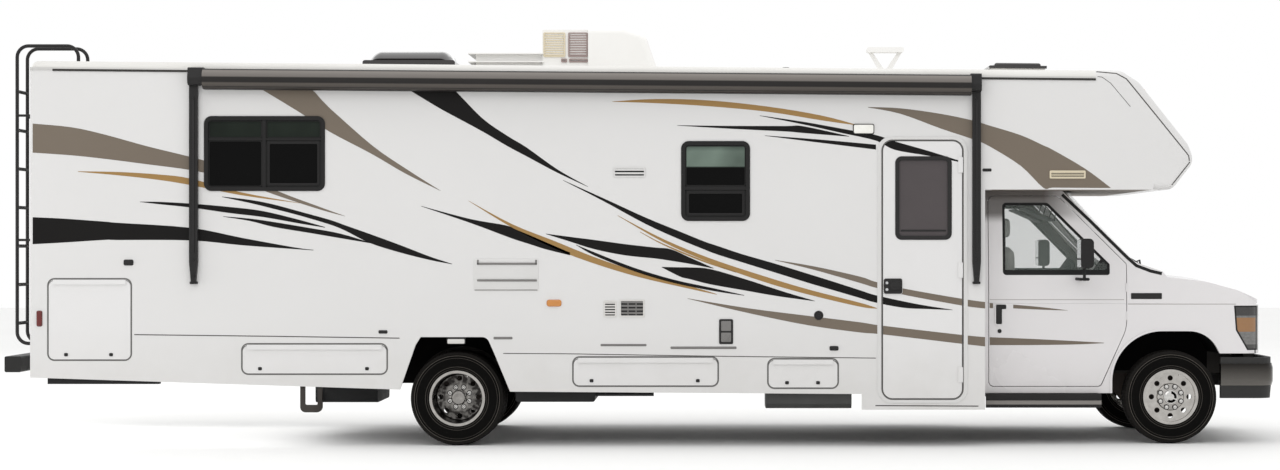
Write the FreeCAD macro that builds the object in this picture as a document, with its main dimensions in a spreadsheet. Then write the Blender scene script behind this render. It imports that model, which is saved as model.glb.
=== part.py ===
"""A class C motorhome: a coach body with a bunk over the cab, on a cutaway van chassis with twin rear wheels.

A parametric FreeCAD document in millimetres. +X points forward, +Y to the driver's left and +Z up.
The origin is on the ground, midway between the bumpers. The sheet Size holds every driving dimension.
Each sub-part is one object whose Label is its name, and is written to parts/NAME.step.
"""
import FreeCAD, Part
import math
import os
from types import SimpleNamespace

import Sketcher

Vec = FreeCAD.Vector
doc = FreeCAD.newDocument("Motorhome")
sheet = doc.addObject("Spreadsheet::Sheet", "Size")

# ---------------------------------------------------------------- driving dimensions

SIZES = {
    # overall
    "half_length": 5037, "half_width": 1290,
    # wheels and tyres
    "front_axle_x": 4205, "rear_axle_x": -1459,
    "tyre_radius": 372, "tyre_width": 223, "tyre_crown": 196, "bead_radius": 206, "bead_width": 176,
    "rim_wall": 8, "rim_lip": 14, "disc_thick": 12, "spindle_radius": 34, "hub_wall": 15,
    "front_hub_radius": 110, "front_hub_nose": 25, "rear_hub_radius": 62, "rear_hub_nose": 118,
    "hand_hole_radius": 21, "hand_hole_ring": 150, "hand_holes": 8,
    "front_wheel_y": 881, "front_disc_out": 70, "rear_track_inset": 202, "dual_spacing": 245,
    "bead_gap": 0.5, "flange_thick": 7, "dish_edge": 47, "disc_turn": 32, "well_drop": 18,
    "front_hub_deep": 20, "rear_hub_deep": 60, "hub_flare": 6, "running_gap": 0.3,
    # steering knuckles, axles, springs and engine
    "kingpin_y": 740, "kingpin_radius": 18, "kingpin_high": 96, "boss_radius": 34, "boss_high": 46,
    "ear_out": 60, "ear_in": 30, "brake_radius": 165, "brake_thick": 28, "beam_half": 35,
    "coil_radius": 52, "leaf_half": 700, "leaf_thick": 36, "leaf_width": 60, "seat_half": 60,
    "axle_tube": 48, "diff_radius": 150, "pinion_radius": 55, "pinion_length": 230,
    "shaft_radius": 38, "shaft_rise": 48, "gearbox_x": 2900,
    # ladder frame
    "rail_y": 432, "rail_width": 70, "rail_low": 540, "rail_high": 720, "rail_thick": 7,
    "cross_width": 60, "cross_low": 600, "cross_high": 660, "joist_width": 50, "joist_inset": 5,
    "guard_x0": -2815, "guard_x1": -2635, "guard_low": 215, "guard_bar": 60, "guard_leg": 38,
    # tanks, exhaust, generator, bumper and hitch
    "fuel_x0": -2700, "fuel_x1": -2190, "fuel_half": 385, "fuel_low": 292,
    "waste_x0": -1000, "waste_x1": -373, "waste_step_x": -556, "waste_low": 343, "waste_step_z": 460,
    "waste_out": 1150, "drain_radius": 15, "drain_x1": 90,
    "hose_low": 486, "hose_high": 546, "hose_out": 1190, "hose_in": 1110, "hose_strap": 40,
    "hose_over_rear": 30, "hose_over_front": 196,
    "pipe_radius": 30, "pipe_z": 560, "pipe_x0": -4300, "pipe_x1": 3300, "pipe_inset": 65,
    "silencer_x0": 1200, "silencer_length": 750, "silencer_radius": 95,
    "generator_low": 295, "generator_back": 760, "generator_front": 1225, "generator_box_x0": 974,
    "generator_box_x1": 1649,
    "bumper_tube": 130, "bumper_low": 577, "bumper_high": 703, "bumper_standoff": 110,
    "rear_bumper_y": 1150, "receiver_out": 63.5, "receiver_in": 51.5, "receiver_z": 508,
    "receiver_length": 420, "receiver_inset": 30, "pin_hole_radius": 8.2, "pin_hole_in": 45,
    "hitch_bar": 64, "hitch_bar_in": 247,
    # coach body
    "wall_thick": 45, "skirt_thick": 25, "house_front_x": 2692, "floor_low": 870, "floor_high": 930,
    "belt_rear": 887, "rear_arch_rise": 124, "belt_middle": 736, "belt_front": 701,
    "arch_rear_x": -1755, "arch_front_x": -1214, "arch_corner": 60, "arch_step": 55, "arch_back": 20,
    "arch_drop": 63,
    "arch_foot_rear_x": -1896, "arch_foot_front_x": -1033,
    "skirt_rear_z": 542, "skirt_arch_z": 448, "skirt_middle_z": 432, "skirt_front_z": 413,
    "step_panel_x": 1727, "step_panel_low": 290,
    "well_low": 340, "tread_rise": 285, "tread_edge": 1040, "well_back": 825, "riser": 12,
    "gutter_rear": 2966, "gutter_front": 2890, "roof_rise": 64, "roof_edge": 55,
    "over_low": 2017, "over_floor": 45, "seam_top_x": 3560, "seam_low_x": 4010,
    "seam_mid_x": 4080, "seam_mid_z": 2405, "seam_high_x": 3633, "seam_high_z": 2870,
    "brow_x": 3760, "slope_top_x": 3905, "slope_top_z": 2862, "slope_low_x": 4293, "slope_low_z": 2372,
    "nose_x": 4340, "nose_z": 2240, "chin_x": 4165, "cap_thick": 30,
    # windows of the coach: frames stand a little proud of the wall
    "frame_proud": 8, "frame_width": 32, "mullion": 28, "bar_high": 16, "glass_in": 8, "glass_thick": 5,
    "window_corner": 60,
    "bed_x0": -3433, "bed_x1": -2484, "bed_z0": 2005, "bed_z1": 2593,
    "bed_mullion_x": -2976, "bed_bar_z": 2404, "galley_bar_z": 2014,
    "galley_x0": 308, "galley_x1": 849, "galley_z0": 1770, "galley_z1": 2397,
    # entry door
    "door_gap": 5, "entry_x0": 1887, "entry_x1": 2516, "entry_z0": 375, "entry_z1": 2400,
    "entry_corner": 80, "entry_thick": 40, "entry_glass_x0": 2001, "entry_glass_x1": 2417,
    "entry_glass_z0": 1636, "entry_glass_z1": 2264, "entry_glass_corner": 40,
    "hinge_radius": 6, "hinge_leaf": 30, "hinge_length": 120,
    "latch_z0": 1197, "latch_high": 125, "latch_wide": 150, "latch_proud": 14,
    # baggage doors
    "bag_thick": 22, "bag_corner": 50, "box_wall": 8, "box_depth": 560,
    "trunk_in": 141, "trunk_long": 651, "trunk_z0": 680, "trunk_z1": 1307,
    "long_x0": -3135, "long_x1": -1998, "long_z0": 570, "long_z1": 797,
    "middle_x0": -539, "middle_x1": 598, "middle_z0": 476, "middle_z1": 694,
    "generator_x0": 990, "generator_x1": 1539, "generator_z0": 460, "generator_z1": 680,
    # roof gear
    "cooler_x0": -1453, "cooler_x1": 92, "cooler_y": 350, "cooler_top": 3378, "cooler_low_top": 3161,
    "coil_x0": -843, "coil_x1": -467, "coil_inset": 25,
    "skylight_x0": -2321, "skylight_x1": -1561, "skylight_y": 340, "skylight_curb": 3103,
    "skylight_top": 3207, "dome_fall": 90, "vent_x0": 2880, "vent_x1": 3280, "vent_y": 200,
    "curb_rise": 84, "curb_wall": 20, "lid_skirt": 16, "lid_thick": 22, "lid_dome": 26, "lid_barrel": 6,
    "lid_margin": 45,
    "plate_thick": 9, "plate_step": 67, "pan_high": 48, "core_in": 60, "shroud_round": 55,
    "antenna_foot": 70,
    "mast_x": 1995, "mast_high": 170, "wing_half": 155, "wing_high": 42,
    # awning
    "awning_x0": -3425, "awning_x1": 2574, "awning_rear_z0": 2800, "awning_front_z0": 2752,
    "awning_high": 160, "awning_deep": 135, "awning_round": 62,
    "arm_width": 66, "arm_deep": 40, "arm_foot_z": 1290, "arm_taper": 160, "arm_foot_in": 14,
    # ladder
    "ladder_out": 153, "ladder_y0": -1100, "ladder_y1": -800, "ladder_tube": 14, "ladder_low": 803,
    "ladder_top": 3158, "ladder_reach": 332, "ladder_bend": 90, "rung_first": 962,
    "rung_step": 306, "rungs": 7, "standoff_low": 1622, "standoff_high": 2607, "foot_radius": 30,
    "foot_thick": 6,
    # cab
    "cab_half": 1000, "cab_side": 50, "cab_floor_low": 720, "cab_floor_high": 760, "crease_z": 1116,
    "crease_in": 4, "shoulder_in": 8, "shoulder_z": 1330, "cab_top_in": 70,
    "sill_low": 404, "cab_back_frame": 48, "doorway_in": 70, "doorway_top": 1960,
    "firewall_x": 3960, "firewall_thick": 30,
    "wheel_arch_back": 471, "arch_flat": 295, "arch_toe": 385, "front_arch_rise": 177,
    "front_arch_corner": 400, "front_arch_nose": 250, "lip_wide": 18, "lip_proud": 7, "liner_thick": 8,
    "liner_low": 560,
    "pillar_x": 3917, "pillar_z": 1447, "pillar_top_x": 3344,
    "cowl_side_x": 4140, "cowl_x": 4126, "cowl_z": 1372, "cowl_back_x": 3880, "cowl_deep": 110,
    "hood_rear_x": 4175, "hood_rear_z": 1352, "hood_mid_x": 4480, "hood_mid_z": 1318,
    "brow_back": 160, "brow_z": 1240, "hood_thick": 32, "hood_gap": 6, "hood_fall": 28,
    "hood_hinge_y": 700, "hood_hinge_long": 60, "hood_barrel": 6,
    "hood_hinge_in": 12, "hood_lip_drop": 1,
    "nose_setback": 112, "clip_high": 1108, "clip_low": 720, "clip_wall": 40, "clip_corner": 140,
    "clip_tail": 54,
    "cab_door_x0": 2755, "cab_door_x1": 3848, "cab_door_low_x": 3640, "cab_door_z0": 460,
    "cab_door_z1": 1972, "cab_door_bend_z": 920, "cab_door_belt_z": 1430, "cab_door_top_x": 3310,
    "cab_door_thick": 45, "cab_glass_x0": 2866, "cab_glass_x1": 3718, "cab_glass_z0": 1343,
    "cab_glass_z1": 1920, "cab_glass_top_x": 3228, "cab_glass_bend_z": 1430, "cab_glass_in": 16,
    "cab_hinge_radius": 5.5, "cab_hinge_low": 985, "cab_hinge_high": 1210, "cab_hinge_long": 70,
    "handle_x": 2800, "handle_z0": 945, "handle_z1": 1105, "handle_wide": 52, "handle_proud": 10,
    "shield_side_x": 3925, "shield_mid_x": 4118, "shield_top_side_x": 3360, "shield_top_mid_x": 3500,
    "shield_inset": 85, "shield_top_inset": 132, "shield_thick": 8,
    "grille_half": 600, "grille_z0": 760, "grille_z1": 1070, "grille_border": 24, "slats": 6, "slat_high": 20,
    "lamp_back": 221, "lamp_y0": 640, "lamp_z0": 746, "lamp_z1": 1100, "lamp_bend_z": 905,
    "front_bumper_over": 27, "front_bumper_z0": 364, "front_bumper_z1": 690, "chrome_z0": 465,
    "chrome_z1": 640,
    "front_bumper_deep": 60, "front_bumper_corner": 150, "front_bumper_wrap": 442, "chrome_bulge": 10,
    "board_x0": 2723, "board_x1": 3638, "board_low": 292, "board_over": 75, "board_plate": 25,
    "board_in": 900,
    "mirror_x0": 3430, "mirror_x1": 3530, "mirror_out0": 190, "mirror_out1": 400,
    "mirror_z0": 1400, "mirror_z1": 1632, "mirror_arm": 12, "mirror_arm_z": 1312, "mirror_post": 40,
    # inside the cab
    "dash_x0": 3700, "dash_low": 1060, "wheel_x": 3500, "wheel_y": 400, "wheel_z": 1190, "wheel_radius": 185,
    "wheel_rim": 14, "column_radius": 26, "wheel_rake": 62,
    "seat_x0": 2870, "seat_x1": 3400, "seat_high": 1125, "seat_top": 1820, "seat_y0": 240, "seat_y1": 720,
}


class Measure:
    """A size: the formula that the document keeps, and its present value in millimetres."""

    def __init__(self, formula, value):
        self.formula = formula
        self.value = value

    def __add__(self, other):
        other = measure(other)
        return Measure("(%s + %s)" % (self.formula, other.formula), self.value + other.value)

    def __sub__(self, other):
        other = measure(other)
        return Measure("(%s - %s)" % (self.formula, other.formula), self.value - other.value)

    def __mul__(self, other):
        other = measure(other)
        return Measure("(%s * %s)" % (self.formula, other.formula), self.value * other.value)

    def __truediv__(self, other):
        other = measure(other)
        return Measure("(%s / %s)" % (self.formula, other.formula), self.value / other.value)

    def __neg__(self):
        return Measure("(0 - %s)" % self.formula, -self.value)

    __radd__ = __add__
    __rmul__ = __mul__

    def __rsub__(self, other):
        return measure(other) - self


def measure(amount):
    return amount if isinstance(amount, Measure) else Measure(repr(amount), amount)


for row, (name, amount) in enumerate(SIZES.items(), 1):
    sheet.set("A%d" % row, name)
    sheet.set("B%d" % row, str(amount))
    sheet.setAlias("B%d" % row, name)
doc.recompute()
size = SimpleNamespace(**{name: Measure("Size." + name, amount) for name, amount in SIZES.items()})

# ---------------------------------------------------------------- ways of making a shape


def tie(thing, path, amount):
    """Bind one property to its formula."""
    thing.setExpression(path, measure(amount).formula)


def place(thing, x, y, z):
    for axis, amount in (("x", x), ("y", y), ("z", z)):
        tie(thing, "Placement.Base." + axis, amount)
    return thing


def box(name, x, y, z):
    """A block between two coordinates along each axis."""
    block = doc.addObject("Part::Box", name)
    tie(block, "Length", x[1] - measure(x[0]))
    tie(block, "Width", y[1] - measure(y[0]))
    tie(block, "Height", z[1] - measure(z[0]))
    return place(block, x[0], y[0], z[0])


TURNS = {
    "x": FreeCAD.Rotation(Vec(0, 1, 0), 90),
    "y": FreeCAD.Rotation(Vec(1, 0, 0), -90),
    "z": FreeCAD.Rotation(),
}


def rod(name, axis, start, radius, length):
    """A round bar that runs from start along a positive axis."""
    bar = doc.addObject("Part::Cylinder", name)
    tie(bar, "Radius", radius)
    tie(bar, "Height", length)
    bar.Placement = FreeCAD.Placement(Vec(), TURNS[axis])
    return place(bar, *start)


def join(name, pieces):
    whole = doc.addObject("Part::MultiFuse", name)
    whole.Shapes = pieces
    return whole


def group(name, pieces):
    """Separate solids that share one node."""
    whole = doc.addObject("Part::Compound", name)
    whole.Links = pieces
    return whole


def cut(name, base, tool):
    rest = doc.addObject("Part::Cut", name)
    rest.Base = base
    rest.Tool = tool
    return rest


def common(name, base, tool):
    """What two solids share."""
    shared = doc.addObject("Part::Common", name)
    shared.Base = base
    shared.Tool = tool
    return shared


def mirrored(name, source):
    """The same piece on the other side of the vehicle's centre plane."""
    copy = doc.addObject("Part::Mirroring", name)
    copy.Source = source
    copy.Normal = Vec(0, 1, 0)
    return copy


def new_body(name):
    body = doc.addObject("PartDesign::Body", name)
    body.AllowCompound = True
    return body


def sketch_on(body, plane, offset=0):
    """A sketch on one of the body's own planes, moved along that plane's normal."""
    sketch = body.newObject("Sketcher::SketchObject", "Outline")
    base = [feature for feature in body.Origin.OriginFeatures if feature.Role == plane][0]
    sketch.AttachmentSupport = [(base, "")]
    sketch.MapMode = "FlatFace"
    tie(sketch, "AttachmentOffset.Base.z", offset)
    return sketch


def datum(sketch, kind, geometry, point, amount):
    """Set a point's distance from the sketch's origin and bind it."""
    amount = measure(amount)
    number = sketch.addConstraint(Sketcher.Constraint(kind, -1, 1, geometry, point, amount.value))
    sketch.setExpression("Constraints[%d]" % number, amount.formula)


def draw(sketch, points, closed=True):
    """Lines through (u, v) points; a third number rounds that corner with a tangent arc."""
    corners = [[measure(part) for part in point] for point in points]
    spots = [Vec(corner[0].value, corner[1].value, 0) for corner in corners]
    count = len(corners)
    leave, arrive, centres = list(spots), list(spots), {}
    for k, corner in enumerate(corners):
        if len(corner) < 3:
            continue
        radius = corner[2].value
        back = (spots[k - 1] - spots[k]).normalize()
        ahead = (spots[(k + 1) % count] - spots[k]).normalize()
        half = back.getAngle(ahead) / 2
        leave[k] = spots[k] + ahead * (radius / math.tan(half))
        arrive[k] = spots[k] + back * (radius / math.tan(half))
        centres[k] = spots[k] + (back + ahead).normalize() * (radius / math.sin(half))
    sides = count if closed else count - 1
    lines = []
    for k in range(sides):
        lines.append(sketch.addGeometry(Part.LineSegment(leave[k], arrive[(k + 1) % count]), False))
    for k, corner in enumerate(corners):
        if not closed and k in (0, count - 1):
            line, end = (lines[0], 1) if k == 0 else (lines[-1], 2)
            datum(sketch, "DistanceX", line, end, corner[0])
            datum(sketch, "DistanceY", line, end, corner[1])
            continue
        before, after = lines[k - 1], lines[k]
        if k not in centres:
            sketch.addConstraint(Sketcher.Constraint("Coincident", before, 2, after, 1))
            datum(sketch, "DistanceX", after, 1, corner[0])
            datum(sketch, "DistanceY", after, 1, corner[1])
            continue
        first, last = arrive[k] - centres[k], leave[k] - centres[k]
        left_turn = first.cross(last).z > 0
        if not left_turn:
            first, last = last, first
        circle = Part.Circle(centres[k], Vec(0, 0, 1), corner[2].value)
        arc = Part.ArcOfCircle(circle, math.atan2(first.y, first.x), math.atan2(last.y, last.x))
        number = sketch.addGeometry(arc, False)
        enter, leaving = (1, 2) if left_turn else (2, 1)
        sketch.addConstraint(Sketcher.Constraint("Tangent", before, 2, number, enter))
        sketch.addConstraint(Sketcher.Constraint("Tangent", number, leaving, after, 1))
        limit = sketch.addConstraint(Sketcher.Constraint("Radius", number, corner[2].value))
        sketch.setExpression("Constraints[%d]" % limit, corner[2].formula)
        apex = sketch.addGeometry(Part.Point(spots[k]), True)
        datum(sketch, "DistanceX", apex, 1, corner[0])
        datum(sketch, "DistanceY", apex, 1, corner[1])
        sketch.addConstraint(Sketcher.Constraint("PointOnObject", apex, 1, before))
        sketch.addConstraint(Sketcher.Constraint("PointOnObject", apex, 1, after))


def ring(sketch, u, v, radius):
    """A full circle."""
    u, v, radius = measure(u), measure(v), measure(radius)
    circle = Part.Circle(Vec(u.value, v.value, 0), Vec(0, 0, 1), radius.value)
    number = sketch.addGeometry(circle, False)
    datum(sketch, "DistanceX", number, 3, u)
    datum(sketch, "DistanceY", number, 3, v)
    limit = sketch.addConstraint(Sketcher.Constraint("Radius", number, radius.value))
    sketch.setExpression("Constraints[%d]" % limit, radius.formula)


def rectangle(u, v, corner=None):
    """Four corners, rounded when a corner radius is given."""
    spots = [(u[0], v[0]), (u[1], v[0]), (u[1], v[1]), (u[0], v[1])]
    return [spot + (corner,) for spot in spots] if corner is not None else spots


# The sketch on XZ_Plane looks along +Y, so its normal is -Y; the other two normals are positive.
NORMAL = {"XY_Plane": 1, "XZ_Plane": -1, "YZ_Plane": 1}


def slab(name, plane, loops, low, high):
    """Pad closed outlines between two coordinates along the plane's axis."""
    body = new_body(name)
    add_slab(body, plane, loops, low, high)
    return body


def add_slab(body, plane, loops, low, high):
    low, high = measure(low), measure(high)
    sketch = sketch_on(body, plane, low if NORMAL[plane] > 0 else -high)
    for loop in loops:
        draw(sketch, loop)
    pad = body.newObject("PartDesign::Pad", "Pad")
    pad.Profile = sketch
    tie(pad, "Length", high - low)
    return pad


def add_opening(body, plane, loops, low, high):
    """Pocket closed outlines between two coordinates along the plane's axis."""
    low, high = measure(low), measure(high)
    sketch = sketch_on(body, plane, high if NORMAL[plane] > 0 else -low)
    for loop in loops:
        draw(sketch, loop)
    pocket = body.newObject("PartDesign::Pocket", "Pocket")
    pocket.Profile = sketch
    tie(pocket, "Length", high - low)
    return pocket


def round_edges(body, radius, wanted):
    """Fillet the edges of the body's last feature whose centre passes the test."""
    doc.recompute()
    base = body.Tip
    names = ["Edge%d" % number for number, edge in enumerate(base.Shape.Edges, 1) if wanted(edge)]
    fillet = body.newObject("PartDesign::Fillet", "Fillet")
    fillet.Base = (base, names)
    tie(fillet, "Radius", radius)
    return fillet


def turned(name, loops, x, y, z):
    """Revolve (y, radius) outlines about a line along Y through the given point."""
    body = new_body(name)
    sketch = sketch_on(body, "YZ_Plane")
    for loop in loops:
        draw(sketch, loop)
    turn = body.newObject("PartDesign::Revolution", "Revolution")
    turn.Profile = sketch
    turn.ReferenceAxis = (sketch, ["H_Axis"])
    turn.Angle = 360
    place(body, x, y, z)
    return body


def crowned(name, outline, half, fall, level):
    """Turn an (x, z) outline about a deep fore-and-aft line: at the half width it lies lower by the fall."""
    body = new_body(name)
    sketch = sketch_on(body, "XZ_Plane")
    draw(sketch, outline)
    half, fall, level = measure(half), measure(fall), measure(level)
    radius = (half * half + fall * fall) / (fall * 2)
    depth = level - radius
    line = sketch.addGeometry(Part.LineSegment(Vec(0, depth.value, 0), Vec(100, depth.value, 0)), True)
    sketch.addConstraint(Sketcher.Constraint("Horizontal", line))
    datum(sketch, "DistanceY", line, 1, depth)
    turn = body.newObject("PartDesign::Revolution", "Revolution")
    turn.Profile = sketch
    turn.ReferenceAxis = (sketch, ["Axis0"])
    turn.Midplane = True
    turn.setExpression("Angle", "2 * asin(%s / %s)" % (half.formula, radius.formula))
    return body


def swept(name, plane, route, level, start_plane, start, section):
    """Sweep a closed section along a flat route; the section stands at the route's first point."""
    body = new_body(name)
    path = sketch_on(body, plane, level)
    draw(path, route, closed=False)
    profile = sketch_on(body, start_plane, start)
    section(profile)
    pipe = body.newObject("PartDesign::AdditivePipe", "Pipe")
    pipe.Profile = profile
    pipe.Spine = path
    return body


nodes = []


def node(thing, name):
    """Name the finished piece and keep it for export."""
    thing.Label = name
    nodes.append(thing)
    return thing


def pair(right, name):
    """Keep the right-hand piece and its mirror image as two nodes."""
    node(right, "right_" + name)
    node(mirrored("Mirror", right), "left_" + name)


# ---------------------------------------------------------------- wheels

AXLE_Z = size.tyre_radius
RIM = size.bead_radius - size.bead_gap
RIM_IN = RIM - size.rim_wall
FLANGE_IN = size.bead_width / 2 + size.bead_gap
FLANGE_OUT = FLANGE_IN + size.flange_thick
BORE = size.spindle_radius + size.running_gap
section_high = size.tyre_radius - size.bead_radius


def tyre_outline(middle):
    """Half-section of a tyre as (y, radius): beads, bulged sidewalls, shoulders and a flat crown."""
    bead, side, crown = size.bead_width / 2, size.tyre_width / 2, size.tyre_crown / 2
    half = [(bead, size.bead_radius), (bead, size.bead_radius + size.rim_lip + 6, 12),
        (side, size.bead_radius + section_high * 0.37, 40),
        (side, size.tyre_radius - section_high * 0.36, 45), (crown, size.tyre_radius, 22)]
    near = [(middle - spot[0],) + spot[1:] for spot in half]
    far = [(middle + spot[0],) + spot[1:] for spot in reversed(half)]
    return near + far


def barrel_top(middle):
    """The rim's outer surface from its far flange to its near one."""
    return [(middle + FLANGE_OUT, RIM + size.rim_lip), (middle + FLANGE_IN, RIM + size.rim_lip),
        (middle + FLANGE_IN, RIM), (middle - FLANGE_IN, RIM),
        (middle - FLANGE_IN, RIM + size.rim_lip), (middle - FLANGE_OUT, RIM + size.rim_lip)]


def hand_hole_ring(body, low, high):
    """Round holes through the wheel disc, evenly spaced about the axle."""
    sketch = sketch_on(body, "XZ_Plane", -low)
    ring(sketch, 0, size.hand_hole_ring, size.hand_hole_radius)
    hole = body.newObject("PartDesign::Pocket", "Hand_hole")
    hole.Profile = sketch
    tie(hole, "Length", high - low)
    axis = [feature for feature in body.Origin.OriginFeatures if feature.Role == "Y_Axis"][0]
    turn = body.newObject("PartDesign::PolarPattern", "Hand_holes")
    turn.Originals = [hole]
    turn.Axis = (axis, [""])
    turn.Angle = 360
    tie(turn, "Occurrences", size.hand_holes)
    body.Tip = turn


# The front disc bulges outward; y runs inboard from the wheel's middle, so outboard is negative.
front_disc = -size.front_disc_out
front_nose = front_disc - size.front_hub_nose
front_hub = size.front_hub_radius
disc_back = front_disc + size.disc_thick
front_rim = turned("Front_rim", [[
    (-FLANGE_OUT, RIM_IN), (front_disc, RIM_IN), (front_disc, front_hub),
    (front_disc - 14, front_hub - 6, 10),
    (front_nose, front_hub - 50, 40), (front_nose, 0), (front_nose + size.hub_wall, 0),
    (front_nose + size.hub_wall, BORE), (size.front_hub_deep, BORE), (size.front_hub_deep, front_hub),
    (disc_back, front_hub), (disc_back, RIM_IN), (FLANGE_OUT, RIM_IN)] + barrel_top(0)],
    size.front_axle_x, -size.front_wheel_y, AXLE_Z)
hand_hole_ring(front_rim, front_disc - 2, disc_back + 2)
pair(front_rim, "front_rim")
front_tyre = turned("Front_tyre", [tyre_outline(measure(0))], size.front_axle_x, -size.front_wheel_y, AXLE_Z)
pair(front_tyre, "front_tyre")

# The twin rear rims meet back to back at their discs, y = 0 in their own frame.
half_gap = size.dual_spacing / 2
dual_y = half_gap - (size.half_width - size.rear_track_inset)
disc_edge = size.hand_hole_ring + size.disc_turn
rear_hub = size.rear_hub_radius
rear_rims = turned("Rear_rims", [[
    (-half_gap - FLANGE_OUT, RIM_IN), (-half_gap + size.dish_edge, RIM_IN), (-size.disc_thick, disc_edge, 12),
    (-size.disc_thick, rear_hub), (-size.rear_hub_nose, rear_hub - size.hub_flare, 12),
    (-size.rear_hub_nose, 0),
    (size.hub_wall - size.rear_hub_nose, 0), (size.hub_wall - size.rear_hub_nose, BORE),
    (size.rear_hub_deep, BORE), (size.rear_hub_deep, rear_hub), (size.disc_thick, rear_hub),
    (size.disc_thick, disc_edge, 12), (half_gap - size.dish_edge, RIM_IN), (half_gap + FLANGE_OUT, RIM_IN)]
    + barrel_top(half_gap) + [(0, RIM - size.well_drop, 8)] + barrel_top(-half_gap)],
    size.rear_axle_x, dual_y, AXLE_Z)
hand_hole_ring(rear_rims, -size.disc_thick - 2, size.disc_thick + 2)
pair(rear_rims, "rear_rims")
rear_tyres = turned("Rear_tyres", [tyre_outline(-half_gap), tyre_outline(half_gap)],
    size.rear_axle_x, dual_y, AXLE_Z)
pair(rear_tyres, "rear_tyres")

# ---------------------------------------------------------------- axles, steering, engine

spindle_end = -size.front_wheel_y + front_nose + size.hub_wall + size.running_gap
kingpin = (size.front_axle_x, -size.kingpin_y)
knuckle_x = (size.front_axle_x - size.boss_radius, size.front_axle_x + size.boss_radius)
ear_y = (-size.kingpin_y - size.ear_out, -size.kingpin_y + size.ear_in)
ear_web = size.boss_radius + 2
pin_hole = rod("Kingpin_hole", "z", kingpin + (AXLE_Z - size.kingpin_high * 1.5,),
    size.kingpin_radius + size.running_gap, size.kingpin_high * 3)
knuckle = join("Knuckle", [
    box("Upper_ear", knuckle_x, ear_y, (AXLE_Z + size.boss_high, AXLE_Z + size.kingpin_high)),
    box("Lower_ear", knuckle_x, ear_y, (AXLE_Z - size.kingpin_high, AXLE_Z - size.boss_high)),
    box("Ear_web", knuckle_x, (ear_y[0], -size.kingpin_y - ear_web),
    (AXLE_Z - size.kingpin_high, AXLE_Z + size.kingpin_high)),
    rod("Spindle", "y", (size.front_axle_x, spindle_end, AXLE_Z), size.spindle_radius,
    -size.kingpin_y - ear_web - 12 - spindle_end),
    rod("Brake", "y", (size.front_axle_x, size.front_hub_deep + 5 - size.front_wheel_y, AXLE_Z),
    size.brake_radius, size.brake_thick)])
pair(cut("Steering_knuckle", knuckle, pin_hole), "steering_knuckle")

front_half = join("Front_axle_half", [
    box("Beam", (size.front_axle_x - size.beam_half, size.front_axle_x + size.beam_half),
    (-size.kingpin_y + 20, 0), (AXLE_Z - size.boss_radius, AXLE_Z + size.boss_radius / 2)),
    rod("Kingpin_boss", "z", kingpin + (AXLE_Z - size.boss_high + size.running_gap,), size.boss_radius,
    2 * (size.boss_high - size.running_gap)),
    rod("Kingpin", "z", kingpin + (AXLE_Z - size.kingpin_high,), size.kingpin_radius, 2 * size.kingpin_high),
    rod("Coil_spring", "z", (size.front_axle_x, -size.rail_y, AXLE_Z), size.coil_radius,
    size.rail_low - AXLE_Z)])
node(join("Front_axle", [front_half, mirrored("Mirror", front_half)]), "front_axle")

spring_half, eye_in, spring_top = size.leaf_half, size.leaf_half - 80, AXLE_Z + 92
leaf = slab("Leaf_spring", "XZ_Plane", [[
    (size.rear_axle_x - spring_half, size.rail_low),
    (size.rear_axle_x - spring_half, size.rail_low - size.leaf_thick),
    (size.rear_axle_x, spring_top - 44, 900),
    (size.rear_axle_x + spring_half, size.rail_low - size.leaf_thick),
    (size.rear_axle_x + spring_half, size.rail_low), (size.rear_axle_x + eye_in, size.rail_low),
    (size.rear_axle_x, spring_top, 900), (size.rear_axle_x - eye_in, size.rail_low)]],
    -size.rail_y - size.leaf_width / 2, -size.rail_y + size.leaf_width / 2)
inner_hub_y = dual_y + size.rear_hub_deep + size.running_gap
rear_spindle_y = dual_y - size.rear_hub_nose + size.hub_wall + size.running_gap
rear_half = join("Rear_axle_half", [
    rod("Axle_tube", "y", (size.rear_axle_x, inner_hub_y, AXLE_Z), size.axle_tube, -inner_hub_y),
    rod("Axle_spindle", "y", (size.rear_axle_x, rear_spindle_y, AXLE_Z), size.spindle_radius,
    inner_hub_y + 100 - rear_spindle_y),
    box("Spring_seat", (size.rear_axle_x - size.seat_half, size.rear_axle_x + size.seat_half),
    (-size.rail_y - size.leaf_width / 2 - 2, -size.rail_y + size.leaf_width / 2 + 2),
    (AXLE_Z - 20, AXLE_Z + 70)),
    leaf])
differential = doc.addObject("Part::Sphere", "Differential")
tie(differential, "Radius", size.diff_radius)
place(differential, size.rear_axle_x, 0, AXLE_Z)
shaft_z = AXLE_Z + size.shaft_rise
nose_end = size.rear_axle_x + size.pinion_length
pinion_nose = rod("Pinion_nose", "x", (size.rear_axle_x, 0, shaft_z), size.pinion_radius, size.pinion_length)
rear_axle = join("Rear_axle", [rear_half, mirrored("Mirror", rear_half), differential, pinion_nose])
drive_shaft = rod("Drive_shaft", "x", (nose_end, 0, shaft_z), size.shaft_radius, size.gearbox_x - nose_end)
node(group("Driveline", [rear_axle, drive_shaft]), "rear_axle")

# name, rear x, front x, half width, bottom and top of each casing
CASINGS = (
    ("Gearbox", size.gearbox_x, measure(4000), 140, shaft_z - 60, shaft_z + 150),
    ("Bell_housing", measure(3990), measure(4100), 160, shaft_z - 60, size.cross_high + 40),
    ("Engine_block", measure(4010), measure(4640), 230, size.cross_high, measure(960)),
    ("Inlet_cover", measure(4060), measure(4560), 300, measure(940), measure(1120)),
)
casings = [box(name, (x0, x1), (-half, half), (z0, z1)) for name, x0, x1, half, z0, z1 in CASINGS]
node(join("Engine", casings), "engine_block")

# ---------------------------------------------------------------- ladder frame and what hangs on it

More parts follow.
